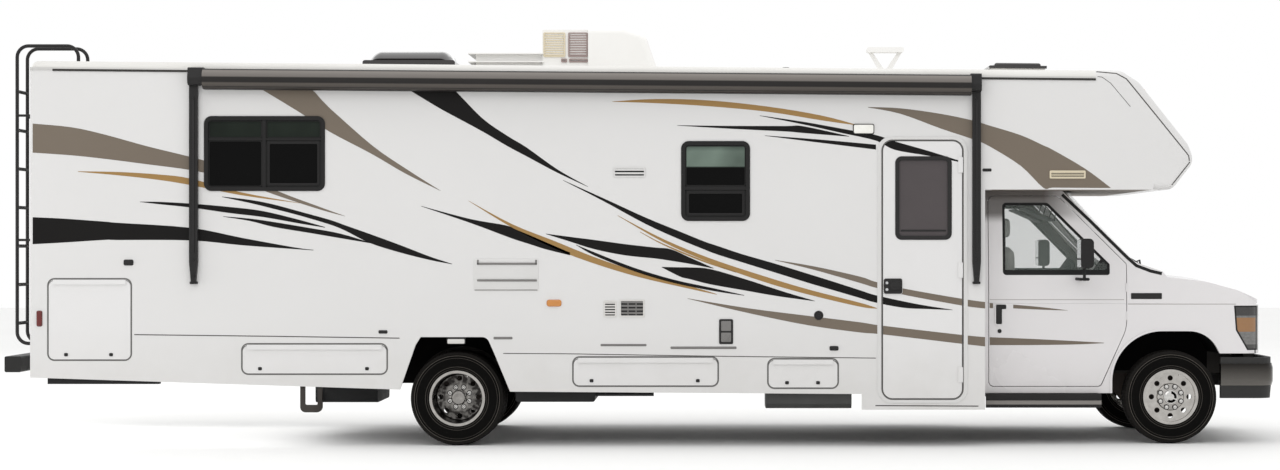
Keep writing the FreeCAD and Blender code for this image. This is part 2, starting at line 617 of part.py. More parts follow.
rear_x = size.bumper_tube + size.bumper_standoff - size.half_length
skirt_in = size.skirt_thick - size.half_width
rail_out, rail_in = -size.rail_y - size.rail_width / 2, -size.rail_y + size.rail_width / 2
rail_x0, rail_x1 = size.bumper_tube - size.half_length, size.half_length - size.front_bumper_deep
web_in = -rail_out - size.rail_thick
inner_half = size.half_width - size.wall_thick
joist_reach = inner_half - size.joist_inset
rail = slab("Rail", "YZ_Plane", [[
    (rail_out, size.rail_low), (rail_in, size.rail_low), (rail_in, size.rail_low + size.rail_thick),
    (rail_out + size.rail_thick, size.rail_low + size.rail_thick),
    (rail_out + size.rail_thick, size.rail_high - size.rail_thick),
    (rail_in, size.rail_high - size.rail_thick),
    (rail_in, size.rail_high), (rail_out, size.rail_high)]], rail_x0, rail_x1)
CROSS_MEMBERS = (-4560, -3600, -2450, -2000, -640, 900, 2400, 3700, 4300, 4830)
JOISTS = (-3860, -3250, -1930, -960, -620, 700, 1640, 2580)
members = [box("Cross_member", (x, x + size.cross_width), (-web_in, web_in),
    (size.cross_low, size.cross_high))
    for x in CROSS_MEMBERS]
joists = [box("Joist", (x, x + size.joist_width), (-joist_reach, joist_reach),
    (size.rail_high, size.floor_low))
    for x in JOISTS]
guard = slab("Guard_hoop", "XZ_Plane", [[
    (size.guard_x0, size.rail_low), (size.guard_x0, size.guard_low, 45), (size.guard_x1, size.guard_low, 45),
    (size.guard_x1, size.rail_low), (size.guard_x1 - size.guard_leg, size.rail_low),
    (size.guard_x1 - size.guard_leg, size.guard_low + size.guard_bar, 12),
    (size.guard_x0 + size.guard_leg, size.guard_low + size.guard_bar, 12),
    (size.guard_x0 + size.guard_leg, size.rail_low)]], -size.rail_y - 20, -size.rail_y + 20)
node(join("Frame", [rail, mirrored("Mirror", rail), guard] + members + joists), "chassis_frame")

fuel_tank = slab("Fuel_tank", "YZ_Plane", [
    rectangle((-size.fuel_half, size.fuel_half), (size.fuel_low, size.cross_low), 36)], size.fuel_x0,
    size.fuel_x1)
waste_tank = slab("Waste_tank", "XZ_Plane", [[
    (size.waste_x0, size.waste_low, 20), (size.waste_x1, size.waste_low, 20),
    (size.waste_x1, size.waste_step_z, 20),
    (size.waste_step_x, size.waste_step_z), (size.waste_step_x, size.cross_low, 20),
    (size.waste_x0, size.cross_low, 20)]], -size.waste_out, rail_out)
drain_z = (size.waste_low + size.waste_step_z) / 2
drain = rod("Drain_pipe", "x", (size.waste_x1 - 10, -size.waste_out + 3 * size.drain_radius, drain_z),
    size.drain_radius, size.drain_x1 - size.waste_x1 + 10)

# A square tube under the rear compartment holds the drain hose.
trunk_x0 = rear_x + size.trunk_in
trunk_x1 = trunk_x0 + size.trunk_long
tray_low = size.trunk_z0 - size.box_wall
hose_tube = box("Hose_tube", (trunk_x0 - size.hose_over_rear, trunk_x1 + size.hose_over_front),
    (-size.hose_out, -size.hose_in), (size.hose_low, size.hose_high))
straps = [box("Hose_strap", (x, x + size.hose_strap), (-size.hose_out, -size.hose_in),
    (size.hose_low, tray_low))
    for x in (trunk_x0 + size.hose_strap, trunk_x1 - 2 * size.hose_strap)]
node(group("Tanks", [fuel_tank, join("Waste", [waste_tank, drain]),
    join("Hose_carrier", [hose_tube] + straps)]),
    "tanks")

pipe_y = size.half_width - size.skirt_thick - size.box_depth - size.pipe_inset
HANGERS = (-3860, -3250, -960, 700, 2580)
hangers = [box("Pipe_hanger", (x + 20, x + 28), (pipe_y - 12, pipe_y + 12), (size.pipe_z, size.rail_high))
    for x in HANGERS]
node(join("Exhaust", [
    rod("Pipe", "x", (size.pipe_x0, pipe_y, size.pipe_z), size.pipe_radius, size.pipe_x1 - size.pipe_x0),
    rod("Silencer", "x", (size.silencer_x0, pipe_y, size.pipe_z), size.silencer_radius, size.silencer_length)]
    + hangers), "exhaust_pipe")


def square(side, corner):
    """A square centred on the receiver's axis, as (y, z)."""
    return rectangle((-side / 2, side / 2), (size.receiver_z - side / 2, size.receiver_z + side / 2), corner)


receiver_x = size.receiver_inset - size.half_length
receiver = slab("Receiver_tube", "YZ_Plane", [square(size.receiver_out, 6), square(size.receiver_in, 2)],
    receiver_x, receiver_x + size.receiver_length)
hitch_x = size.hitch_bar_in - size.half_length
hitch_bar = slab("Hitch_bar", "XZ_Plane", [
    rectangle((hitch_x, hitch_x + size.hitch_bar), (size.rail_low - size.hitch_bar, size.rail_low), 6)],
    rail_out, -rail_out)
add_opening(hitch_bar, "YZ_Plane", [square(size.receiver_out, 6)], hitch_x - 1, hitch_x + size.hitch_bar + 1)
pin_hole_at = (receiver_x + size.pin_hole_in, -size.receiver_out, size.receiver_z)
hitch_pin_hole = rod("Pin_hole", "y", pin_hole_at, size.pin_hole_radius, 2 * size.receiver_out)
hitch = cut("Hitch", join("Receiver", [receiver, hitch_bar]), hitch_pin_hole)
rear_bumper = slab("Rear_bumper", "XZ_Plane", [
    rectangle((-size.half_length, rail_x0), (size.bumper_low, size.bumper_high), 14)],
    -size.rear_bumper_y, size.rear_bumper_y)
node(group("Rear_steel", [rear_bumper, hitch]), "rear_bumper")

generator_top = size.generator_z0 - size.box_wall
generator_bend = size.generator_low + 35
node(slab("Generator", "YZ_Plane", [[
    (-size.generator_front, generator_top), (-size.generator_front, generator_bend, 20),
    (45 - size.generator_front, size.generator_low, 20), (-size.generator_back - 40, size.generator_low, 20),
    (-size.generator_back, generator_bend, 20), (-size.generator_back, generator_top)]],
    size.generator_box_x0, size.generator_box_x1), "generator")

# ---------------------------------------------------------------- coach floor, walls and skirts

gutter_slope = (size.gutter_rear - size.gutter_front) / (size.seam_top_x - rear_x)


def gutter_z(x):
    """Top of the side wall: the coach sits a little nose-down."""
    return size.gutter_rear - gutter_slope * (x - rear_x)


def roof_z(x):
    return gutter_z(x) + size.roof_rise


notch_y = size.half_width - size.skirt_thick - size.box_depth - size.box_wall - 2
notch_x = trunk_x1 + size.box_wall + 10
well_x0, well_x1, well_y = size.entry_x0 - 20, size.entry_x1 + 20, -size.well_back
tread_z = size.well_low + size.tread_rise
floor_x0, floor_x1 = rear_x + size.wall_thick, size.house_front_x - size.wall_thick
house_floor = slab("House_floor", "XY_Plane", [[
    (floor_x0, -notch_y), (notch_x, -notch_y), (notch_x, -inner_half), (well_x0, -inner_half),
    (well_x0, well_y),
    (well_x1, well_y), (well_x1, -inner_half), (floor_x1, -inner_half), (floor_x1, inner_half),
    (notch_x, inner_half), (notch_x, notch_y), (floor_x0, notch_y)]], size.floor_low, size.floor_high)
step_well = slab("Step_well", "YZ_Plane", [[
    (-inner_half, size.well_low), (-size.tread_edge, size.well_low), (-size.tread_edge, tread_z),
    (well_y, tread_z),
    (well_y, size.floor_high), (well_y - size.riser, size.floor_high),
    (well_y - size.riser, tread_z + size.riser),
    (-size.tread_edge - size.riser, tread_z + size.riser),
    (-size.tread_edge - size.riser, size.well_low + size.riser),
    (-inner_half, size.well_low + size.riser)]], well_x0, well_x1)
node(join("Floor", [house_floor, step_well]), "house_floor")

# name, x0, x1, z0, z1 of each baggage door opening, and the depth of the panel that it is cut in
BAGGAGE = {
    "trunk": (trunk_x0, trunk_x1, size.trunk_z0, size.trunk_z1, size.wall_thick),
    "long": (size.long_x0, size.long_x1, size.long_z0, size.long_z1, size.skirt_thick),
    "middle": (size.middle_x0, size.middle_x1, size.middle_z0, size.middle_z1, size.skirt_thick),
    "generator": (size.generator_x0, size.generator_x1, size.generator_z0, size.generator_z1,
    size.skirt_thick),
}
RIGHT_DOORS = ("trunk", "long", "middle", "generator")
LEFT_DOORS = ("trunk", "long")
# (x0, x1), (z0, z1) of each window, and the (x0, x1), (z0, z1) of the bars across it
WINDOWS = (
    ((size.bed_x0, size.bed_x1), (size.bed_z0, size.bed_z1), (
    ((size.bed_mullion_x, size.bed_mullion_x + size.mullion), (size.bed_z0, size.bed_z1)),
    ((size.bed_x0, size.bed_x1), (size.bed_bar_z, size.bed_bar_z + size.bar_high)))),
    ((size.galley_x0, size.galley_x1), (size.galley_z0, size.galley_z1), (
    ((size.galley_x0, size.galley_x1), (size.galley_bar_z, size.galley_bar_z + size.mullion)),)),
)


def baggage_hole(name):
    x0, x1, z0, z1, depth = BAGGAGE[name]
    return rectangle((x0, x1), (z0, z1), size.bag_corner)


rear_arch_top = size.belt_middle + size.rear_arch_rise
arch_step_x = size.arch_front_x + size.arch_step


def side_wall(name, with_entry):
    holes = [rectangle(x, z, size.window_corner) for x, z, bars in WINDOWS]
    if with_entry:
        holes.append(rectangle((size.entry_x0, size.entry_x1), (size.entry_z0, size.entry_z1),
            size.entry_corner))
    outline = [
        (rear_x, size.belt_rear), (size.arch_rear_x, rear_arch_top),
        (size.arch_front_x, rear_arch_top, size.arch_corner), (arch_step_x, size.belt_middle),
        (size.step_panel_x, size.belt_front), (size.step_panel_x, size.step_panel_low),
        (size.house_front_x, size.step_panel_low), (size.house_front_x, size.over_low),
        (size.seam_low_x, size.over_low), (size.seam_mid_x, size.seam_mid_z, 80),
        (size.seam_high_x, size.seam_high_z, 60), (size.seam_top_x, size.gutter_front),
        (rear_x, size.gutter_rear)]
    wall = slab(name, "XZ_Plane", [outline] + holes, -size.half_width, -inner_half)
    add_opening(wall, "XZ_Plane", [baggage_hole("trunk")], -size.half_width, -inner_half)
    return wall


node(side_wall("Right_wall", True), "right_side_wall")
node(mirrored("Left_wall", side_wall("Left_wall_source", False)), "left_side_wall")


def skirt(name, doors):
    rear = [(rear_x, size.skirt_rear_z), (size.arch_foot_rear_x, size.skirt_arch_z),
        (size.arch_rear_x - size.arch_back, rear_arch_top - size.arch_drop, size.arch_drop),
        (size.arch_rear_x + size.arch_back, rear_arch_top), (size.arch_rear_x, rear_arch_top),
        (rear_x, size.belt_rear)]
    front = [(size.arch_foot_front_x, size.skirt_middle_z), (size.step_panel_x, size.skirt_front_z),
        (size.step_panel_x, size.belt_front), (arch_step_x, size.belt_middle)]
    panel = slab(name, "XZ_Plane", [rear, front], -size.half_width, skirt_in)
    for door in doors:
        add_opening(panel, "XZ_Plane", [baggage_hole(door)], -size.half_width, skirt_in)
    return panel


left_skirt = mirrored("Left_skirt", skirt("Left_skirt_source", LEFT_DOORS))
node(group("Skirts", [skirt("Right_skirt", RIGHT_DOORS), left_skirt]), "skirts")


def tray(name):
    """An open-fronted compartment behind one baggage door."""
    x0, x1, z0, z1, depth = BAGGAGE[name]
    wall, face, back = size.box_wall, depth - size.half_width, skirt_in + size.box_depth
    shell = slab("Compartment", "XZ_Plane", [rectangle((x0 - wall, x1 + wall), (z0 - wall, z1 + wall))],
        face, back + wall)
    add_opening(shell, "XZ_Plane", [rectangle((x0, x1), (z0, z1))], face, back)
    return shell


right_trays = [tray(name) for name in RIGHT_DOORS]
left_trays = [mirrored("Left_tray", shell) for shell in right_trays[:len(LEFT_DOORS)]]
node(group("Compartments", right_trays + left_trays), "storage_boxes")

rear_low, skirt_low = size.belt_rear - 5, size.skirt_rear_z + 20
rear_wall = slab("Rear_wall", "YZ_Plane", [
    rectangle((-inner_half, inner_half), (rear_low, size.gutter_rear - 2))], rear_x, rear_x + size.wall_thick)
rail_clear = -rail_out + 8
rear_skirt = slab("Rear_skirt", "YZ_Plane", [[
    (skirt_in, skirt_low), (-rail_clear, skirt_low), (-rail_clear, size.rail_high + 5),
    (rail_clear, size.rail_high + 5), (rail_clear, skirt_low), (-skirt_in, skirt_low),
    (-skirt_in, rear_low), (skirt_in, rear_low)]], rear_x, rear_x + size.skirt_thick)
node(join("Rear", [rear_wall, rear_skirt]), "rear_wall")

# ---------------------------------------------------------------- roof, vent, cab-over cap and bunk

long_edge, roof_side = 2 * SIZES["roof_rise"], SIZES["gutter_front"] + SIZES["roof_rise"] + 1
roof = slab("Roof", "XZ_Plane", [[
    (rear_x, size.gutter_rear), (size.seam_top_x, size.gutter_front),
    (size.seam_top_x, roof_z(size.seam_top_x)),
    (rear_x, roof_z(rear_x), size.roof_edge + 5)]], -size.half_width, size.half_width)
roof_flank = SIZES["half_width"] - 1
round_edges(roof, size.roof_edge, lambda edge: edge.Length > long_edge and edge.CenterOfMass.z > roof_side
    and abs(edge.CenterOfMass.y) > roof_flank)
curb_x0, curb_x1 = size.vent_x0 - size.curb_wall, size.vent_x1 + size.curb_wall
curb_y = size.vent_y + size.curb_wall
add_slab(roof, "XZ_Plane", [[
    (curb_x0, roof_z(curb_x0) - 20), (curb_x1, roof_z(curb_x1) - 20),
    (curb_x1, roof_z(curb_x1) + size.curb_rise),
    (curb_x0, roof_z(curb_x0) + size.curb_rise)]], -curb_y, curb_y)
add_opening(roof, "XY_Plane", [rectangle((size.vent_x0, size.vent_x1), (-size.vent_y, size.vent_y), 20)],
    size.gutter_front - 100, size.gutter_rear + 200)
node(roof, "roof")

lid_x0, lid_x1, lid_y = curb_x0 - size.lid_skirt, curb_x1 + size.lid_skirt, curb_y + size.lid_skirt


def lid_z(x):
    return roof_z(x) + size.curb_rise + size.running_gap


pan_x0, pan_x1, pan_y = lid_x0 + size.lid_margin, lid_x1 - size.lid_margin, lid_y - size.lid_margin
lid = slab("Vent_lid", "XZ_Plane", [[
    (lid_x0, lid_z(lid_x0)), (lid_x1, lid_z(lid_x1)), (lid_x1, lid_z(lid_x1) + size.lid_thick),
    (lid_x0, lid_z(lid_x0) + size.lid_thick)]], -lid_y, lid_y)
add_slab(lid, "XZ_Plane", [[
    (pan_x0, lid_z(pan_x0) + 5), (pan_x1, lid_z(pan_x1) + 5),
    (pan_x1, lid_z(pan_x1) + size.lid_thick + size.lid_dome),
    (pan_x0, lid_z(pan_x0) + size.lid_thick + size.lid_dome)]], -pan_y, pan_y)
lid_crest = (lid_z(pan_x0) + size.lid_thick + size.lid_dome / 2).value
round_edges(lid, size.lid_dome - 6, lambda edge: edge.CenterOfMass.z > lid_crest)
lid_barrel = rod("Lid_barrel", "y", (lid_x0, -curb_y, lid_z(lid_x0) + size.lid_thick / 2), size.lid_barrel,
    2 * curb_y)
node(join("Vent", [lid, lid_barrel]), "vent_lid")

cap_top = roof_z(size.seam_top_x)
cap = slab("Cap", "XZ_Plane", [[
    (size.seam_top_x, size.gutter_front), (size.seam_high_x, size.seam_high_z, 60),
    (size.seam_mid_x, size.seam_mid_z, 80), (size.seam_low_x, size.over_low),
    (size.chin_x, size.over_low, 90),
    (size.nose_x, size.nose_z, 110), (size.slope_low_x, size.slope_low_z, 160),
    (size.slope_top_x, size.slope_top_z, 120), (size.brow_x, cap_top, 120), (size.seam_top_x, cap_top)]],
    -size.half_width, size.half_width)
cap_side, cap_high, cap_ahead = SIZES["half_width"] - 1, cap_top.value - 1, SIZES["seam_mid_x"] + 10


def outer_edge(edge):
    middle = edge.CenterOfMass
    return abs(middle.y) > cap_side and (middle.z > cap_high or middle.x > cap_ahead)


round_edges(cap, size.roof_edge, outer_edge)
skin = size.cap_thick
add_opening(cap, "XZ_Plane", [[
    (size.seam_top_x - 40, size.over_low + skin), (size.chin_x - 14, size.over_low + skin, 70),
    (size.nose_x - skin - 3, size.nose_z, 90), (size.slope_low_x - skin - 1, size.slope_low_z - 8, 140),
    (size.slope_top_x - 26, size.slope_top_z - 20, 100), (size.brow_x - 10, cap_top - skin, 100),
    (size.seam_top_x - 40, cap_top - skin)]], -inner_half, inner_half)
node(cap, "front_cap")

strip_in = size.cab_half - size.doorway_in
bulkhead = [slab("Bulkhead", "YZ_Plane", [rectangle((low, high), (size.step_panel_low, size.over_low))],
    floor_x1, size.house_front_x) 
    for low, high in ((-inner_half, -strip_in), (strip_in, inner_half))]
bunk = box("Bunk_floor", (floor_x1, size.seam_low_x), (-inner_half, inner_half),
    (size.over_low, size.over_low + size.over_floor))
node(join("Bunk", bulkhead + [bunk]), "bunk_and_bulkhead")

# ---------------------------------------------------------------- windows and coach doors

inner_corner = size.window_corner - size.frame_width


def daylight(x, z):
    """The clear opening inside a window's frame."""
    return rectangle((x[0] + size.frame_width, x[1] - size.frame_width),
        (z[0] + size.frame_width, z[1] - size.frame_width), inner_corner)


def window_frame(x, z, bars):
    ring_part = slab("Window_ring", "XZ_Plane", [rectangle(x, z, size.window_corner), daylight(x, z)],
        -size.half_width - size.frame_proud, -inner_half)
    half = size.frame_width / 2
    strips = [box("Window_bar", (bx[0] + half * (bx == x), bx[1] - half * (bx == x)),
        (-size.half_width - size.frame_proud / 2, size.glass_in - size.half_width),
        (bz[0] + half * (bz == z), bz[1] - half * (bz == z))) for bx, bz in bars]
    return join("Window_frame", [ring_part] + strips)


def window_pane(x, z):
    face = size.glass_in - size.half_width
    return slab("Window_pane", "XZ_Plane", [daylight(x, z)], face, face + size.glass_thick)


frames = [window_frame(x, z, bars) for x, z, bars in WINDOWS]
panes = [window_pane(x, z) for x, z, bars in WINDOWS]
node(group("Frames", frames + [mirrored("Mirror", frame) for frame in frames]), "window_frames")
node(group("Panes", panes + [mirrored("Mirror", pane) for pane in panes]), "window_glass")

gap = size.door_gap
hinge_y = -size.half_width - size.hinge_radius - size.running_gap
leaf_y = (-size.half_width - 2 * size.hinge_radius, -size.half_width)
entry_leaf_x = size.entry_x1 - gap
entry_light = rectangle((size.entry_glass_x0, size.entry_glass_x1),
    (size.entry_glass_z0, size.entry_glass_z1),
    size.entry_glass_corner)
entry_panel = slab("Entry_panel", "XZ_Plane", [
    rectangle((size.entry_x0 + gap, entry_leaf_x), (size.entry_z0 + gap, size.entry_z1 - gap),
    size.entry_corner - gap),
    entry_light], -size.half_width, size.entry_thick - size.half_width)
entry_hinges = []
for z in (size.entry_z0 + 130, size.entry_z0 + 950, size.entry_z1 - 250):
    entry_hinges.append(rod("Barrel", "z", (entry_leaf_x + gap / 2, hinge_y, z), size.hinge_radius,
        size.hinge_length))
    entry_hinges.append(box("Leaf", (entry_leaf_x - size.hinge_leaf, entry_leaf_x), leaf_y,
        (z, z + size.hinge_length)))
latch_x0 = size.entry_x0 + gap + 2
latch = slab("Latch_bezel", "XZ_Plane", [
    rectangle((latch_x0, latch_x0 + size.latch_wide), (size.latch_z0, size.latch_z0 + size.latch_high), 18)],
    -size.half_width - size.latch_proud, 2 - size.half_width)
node(join("Entry_door", [entry_panel, latch] + entry_hinges), "entry_door")
node(slab("Entry_pane", "XZ_Plane", [entry_light], 10 - size.half_width,
    10 + size.glass_thick - size.half_width),
    "entry_door_glass")


def baggage_door(name):
    x0, x1, z0, z1, depth = BAGGAGE[name]
    top, inset = z1 - gap, size.bag_corner - 10
    panel = slab("Baggage_panel", "XZ_Plane", [
        rectangle((x0 + gap, x1 - gap), (z0 + gap, top), size.bag_corner - gap)],
        -size.half_width, size.bag_thick - size.half_width)
    barrel = rod("Barrel", "x", (x0 + inset, hinge_y, top + gap / 2), size.hinge_radius, x1 - x0 - 2 * inset)
    leaf = box("Leaf", (x0 + inset, x1 - inset), leaf_y, (top - size.hinge_leaf, top))
    return join(name.capitalize() + "_door", [panel, barrel, leaf])


for name in LEFT_DOORS:
    pair(baggage_door(name), name + "_door")
node(baggage_door("middle"), "middle_door")
node(baggage_door("generator"), "generator_door")

# ---------------------------------------------------------------- roof gear, awning and ladder

cooler_z0, cooler_z1 = roof_z(size.cooler_x0), roof_z(size.cooler_x1)
shroud = slab("Shroud", "XZ_Plane", [[
    (size.coil_x1, roof_z(size.coil_x1)), (size.cooler_x1, cooler_z1), (size.cooler_x1, cooler_z1 + 70, 30),
    (size.cooler_x1 - 90, size.cooler_top - 60, 120), (size.cooler_x1 - 260, size.cooler_top, 120),
    (size.coil_x1, size.cooler_top)]], -size.cooler_y, size.cooler_y)
shroud_side, shroud_high = SIZES["cooler_y"] - 1, SIZES["cooler_top"] - 1


def shroud_edge(edge):
    middle = edge.CenterOfMass
    return abs(middle.y) > shroud_side and middle.z > shroud_high


round_edges(shroud, size.shroud_round, shroud_edge)
pan = slab("Cooler_pan", "XZ_Plane", [[
    (size.cooler_x0, cooler_z0), (size.coil_x1 + 10, roof_z(size.coil_x1 + 10)),
    (size.coil_x1 + 10, cooler_z0 + size.pan_high), (size.cooler_x0, cooler_z0 + size.pan_high, 15)]],
    -size.cooler_y, size.cooler_y)
plate_y = (-size.cooler_y, size.cooler_y)
plate_x = (size.cooler_x0, size.coil_x0 + 10)
core_y = size.cooler_y - size.core_in
cooler_parts = [
    shroud, pan,
    box("Upper_plate", plate_x, plate_y, (size.cooler_low_top - size.plate_thick, size.cooler_low_top)),
    box("Lower_plate", plate_x, plate_y, (size.cooler_low_top - size.plate_thick - size.plate_step,
    size.cooler_low_top - size.plate_step)),
    box("Low_core", (size.cooler_x0 + size.core_in, size.coil_x0 + 10), (-core_y, core_y),
    (cooler_z0, size.cooler_low_top - 2)),
    box("Coil_block", (size.coil_x0, size.coil_x1 + 10),
    (-size.cooler_y + size.coil_inset, size.cooler_y - size.coil_inset),
    (cooler_z0, size.cooler_top - size.coil_inset))]
node(join("Cooler", cooler_parts), "air_conditioner")

skylight_curb = slab("Skylight_curb", "XZ_Plane", [[
    (size.skylight_x0, roof_z(size.skylight_x0)), (size.skylight_x1, roof_z(size.skylight_x1)),
    (size.skylight_x1, size.skylight_curb, 20), (size.skylight_x0, size.skylight_curb, 20)]],
    -size.skylight_y, size.skylight_y)
dome_x0, dome_x1, dome_low = size.skylight_x0 + 18, size.skylight_x1 - 18, size.skylight_curb - 6
skylight_dome = crowned("Skylight_dome", [
    (dome_x0, dome_low), (dome_x1, dome_low), (dome_x1 - 45, size.skylight_top, 110),
    (dome_x0 + 45, size.skylight_top, 110)], size.skylight_y - 18, size.dome_fall, size.skylight_top)
node(join("Skylight", [skylight_curb, skylight_dome]), "skylight")

# The aerial folds down on a V of two struts.
foot_z = roof_z(size.mast_x - size.antenna_foot)
wing_low = foot_z + size.mast_high + 50
wing_top = wing_low + size.wing_high
struts = slab("Aerial_struts", "XZ_Plane", [[
    (size.mast_x - 16, foot_z + 10), (size.mast_x + 16, foot_z + 10),
    (size.mast_x + size.wing_half - 10, wing_low + 10),
    (size.mast_x + size.wing_half - 46, wing_low + 10), (size.mast_x, foot_z + 70, 12),
    (size.mast_x - size.wing_half + 46, wing_low + 10),
    (size.mast_x - size.wing_half + 10, wing_low + 10)]], -9, 9)
wing = slab("Aerial_wing", "XZ_Plane", [
    rectangle((size.mast_x - size.wing_half, size.mast_x + size.wing_half), (wing_low, wing_top), 18)], -60,
    60)
antenna_foot = rod("Aerial_foot", "z", (size.mast_x, 0, foot_z), size.antenna_foot, 24)
node(join("Aerial", [antenna_foot, struts, wing]), "tv_antenna")

awning_out = -size.half_width - size.awning_deep
awning_face = awning_out.value + 1
awning = slab("Awning", "XZ_Plane", [[
    (size.awning_x0, size.awning_rear_z0), (size.awning_x1, size.awning_front_z0),
    (size.awning_x1, size.awning_front_z0 + size.awning_high),
    (size.awning_x0, size.awning_rear_z0 + size.awning_high)]],
    awning_out, -size.half_width)
round_edges(awning, size.awning_round,
    lambda edge: edge.CenterOfMass.y < awning_face and edge.Length > long_edge * 2)
node(awning, "awning_roller")
ARMS = ((size.awning_x0 - 118, size.awning_x0, size.awning_rear_z0),
    (size.awning_x1 + 16, size.awning_x1, size.awning_front_z0))
arms = []
for x, end, z in ARMS:
    arm_top = z + size.awning_high
    arm = slab("Arm", "XZ_Plane", [[
        (x + size.arm_foot_in, size.arm_foot_z, 10),
        (x + size.arm_width - size.arm_foot_in, size.arm_foot_z, 10),
        (x + size.arm_width, size.arm_foot_z + size.arm_taper), (x + size.arm_width, arm_top),
        (x, arm_top), (x, size.arm_foot_z + size.arm_taper)]], -size.half_width - size.arm_deep,
        -size.half_width)
    span = (x, end) if x.value < end.value else (end, x + size.arm_width)
    head = slab("Bracket", "YZ_Plane", [[
        (-size.half_width, z + 30), (awning_out + 40, z + 30, 30),
        (awning_out + 20, z + size.awning_high / 2, 40),
        (awning_out + 40, arm_top + 10, 20), (-size.half_width, arm_top + 10)]], span[0], span[1])
    arms.append(join("Awning_arm", [arm, head]))
node(group("Arms", arms), "awning_arms")

ladder_x, ladder_foot_x = rear_x - size.ladder_out, rear_x + size.ladder_reach
ladder_foot_z = roof_z(ladder_foot_x - size.foot_radius)
ladder_pieces = []
for y in (size.ladder_y0, size.ladder_y1):
    route = [(rear_x, size.ladder_low), (ladder_x, size.ladder_low, size.ladder_bend),
        (ladder_x, size.ladder_top, size.ladder_bend),
        (ladder_foot_x, size.ladder_top, size.ladder_bend),
        (ladder_foot_x, ladder_foot_z + 2)]
    ladder_pieces.append(swept("Ladder_rail", "XZ_Plane", route, -y, "YZ_Plane", rear_x,
        lambda sketch: ring(sketch, y, size.ladder_low, size.ladder_tube)))
    ladder_pieces.append(rod("Ladder_foot", "z", (ladder_foot_x, y, ladder_foot_z), size.foot_radius,
        size.foot_thick))
    for z in (size.standoff_low, size.standoff_high):
        ladder_pieces.append(rod("Standoff", "x", (ladder_x, y, z), size.ladder_tube - 4, size.ladder_out))
    for z in (size.ladder_low, size.standoff_low, size.standoff_high):
        ladder_pieces.append(rod("Wall_plate", "x", (rear_x - size.foot_thick, y, z), size.foot_radius - 4,
            size.foot_thick))
for k in range(SIZES["rungs"]):
    rung_at = (ladder_x, size.ladder_y0, size.rung_first + k * size.rung_step)
    ladder_pieces.append(rod("Rung", "y", rung_at, size.ladder_tube - 2, size.ladder_y1 - size.ladder_y0))
node(join("Ladder", ladder_pieces), "ladder")

# ---------------------------------------------------------------- cab sides, wheel arches and doors

side_in = size.cab_side - size.cab_half
front_x = size.half_length - size.nose_setback
lamp_x, brow_x = front_x - size.lamp_back, front_x - size.brow_back
arch_x0, arch_flat_x = size.front_axle_x - size.wheel_arch_back, size.front_axle_x + size.arch_flat
arch_toe_x = size.front_axle_x + size.arch_toe
front_arch_top = size.clip_low + size.front_arch_rise
side_fall = size.hood_fall - 2
lean_in = size.cab_top_in - size.cab_half


def leaning_band(name, outer, thick):
    """The cab's side seen from the front: upright to the crease, then leaning in towards the roof."""
    face = outer - size.cab_half
    chain = [(face, size.sill_low), (face, size.crease_z),
        (face + size.crease_in, size.crease_z + size.crease_in),
        (face + size.shoulder_in, size.shoulder_z, 500), (face + size.cab_top_in, size.over_low)]
    back = [(spot[0] + thick,) + spot[1:] for spot in reversed(chain)]
    return slab(name, "YZ_Plane", [chain + back], size.house_front_x, front_x)


door_outline = [
    (size.cab_door_x0, size.cab_door_z0, 40), (size.cab_door_low_x, size.cab_door_z0, 40),
    (size.cab_door_x1, size.cab_door_bend_z, 300), (size.cab_door_x1, size.cab_door_belt_z, 30),
    (size.cab_door_top_x, size.cab_door_z1, 70), (size.cab_door_x0, size.cab_door_z1, 50)]


def grown(points, gap):
    """The door outline moved outward by the shut gap."""
    moves = ((-1, -1), (1, -1), (1, 0), (1, 0.42), (0.42, 1), (-1, 1))
    return [(spot[0] + move[0] * gap, spot[1] + move[1] * gap, spot[2]) for spot, move in zip(points, moves)]


def arch_line(grow):
    """The front wheel arch from its rear foot over the top to its toe, moved outward by the growth."""
    return [(arch_x0 - grow, size.sill_low),
        (arch_x0 - grow, front_arch_top + grow, size.front_arch_corner + grow),
        (arch_flat_x + grow * 0.62, front_arch_top + grow, size.front_arch_nose + grow),
        (arch_toe_x + grow * 1.12, size.clip_low)]


side_outline = slab("Side_outline", "XZ_Plane", [
    [(size.house_front_x, size.sill_low)] + arch_line(measure(0)) + [
    (front_x, size.clip_low), (front_x, size.clip_high), (front_x - 20, size.clip_high),
    (brow_x, size.brow_z - side_fall, 250), (size.hood_mid_x, size.hood_mid_z - side_fall, 600),
    (size.hood_rear_x, size.hood_rear_z - side_fall), (size.cowl_side_x, size.cowl_z),
    (size.pillar_x, size.pillar_z, 150), (size.pillar_top_x, size.over_low),
    (size.house_front_x, size.over_low)],
    grown(door_outline, gap)], -size.cab_half, size.cab_side + lean_in)
side_panel = common("Side_panel", side_outline, leaning_band("Side_band", measure(0), size.cab_side))
plan = slab("Cab_plan", "XY_Plane", [[
    (size.house_front_x, -size.cab_half), (front_x, -size.cab_half, size.clip_corner),
    (front_x, size.cab_half, size.clip_corner), (size.house_front_x, size.cab_half)]], size.sill_low,
    size.over_low)
arch_lip = slab("Arch_lip", "XZ_Plane", [arch_line(size.lip_wide) + list(reversed(arch_line(measure(0))))],
    -size.cab_half - size.lip_proud, 5 - size.cab_half)
liner = slab("Wheel_liner", "XZ_Plane", [arch_line(size.liner_thick) + list(reversed(arch_line(measure(0))))],
    side_in, rail_out)
inner_plate = slab("Liner_plate", "XZ_Plane", [
    [(arch_x0, size.liner_low)] + arch_line(measure(0))[1:] + [(arch_toe_x, size.liner_low)]],
    rail_out - size.liner_thick, rail_out)
right_side = join("Right_side", [common("Rounded_side", side_panel, plan), arch_lip, liner, inner_plate])
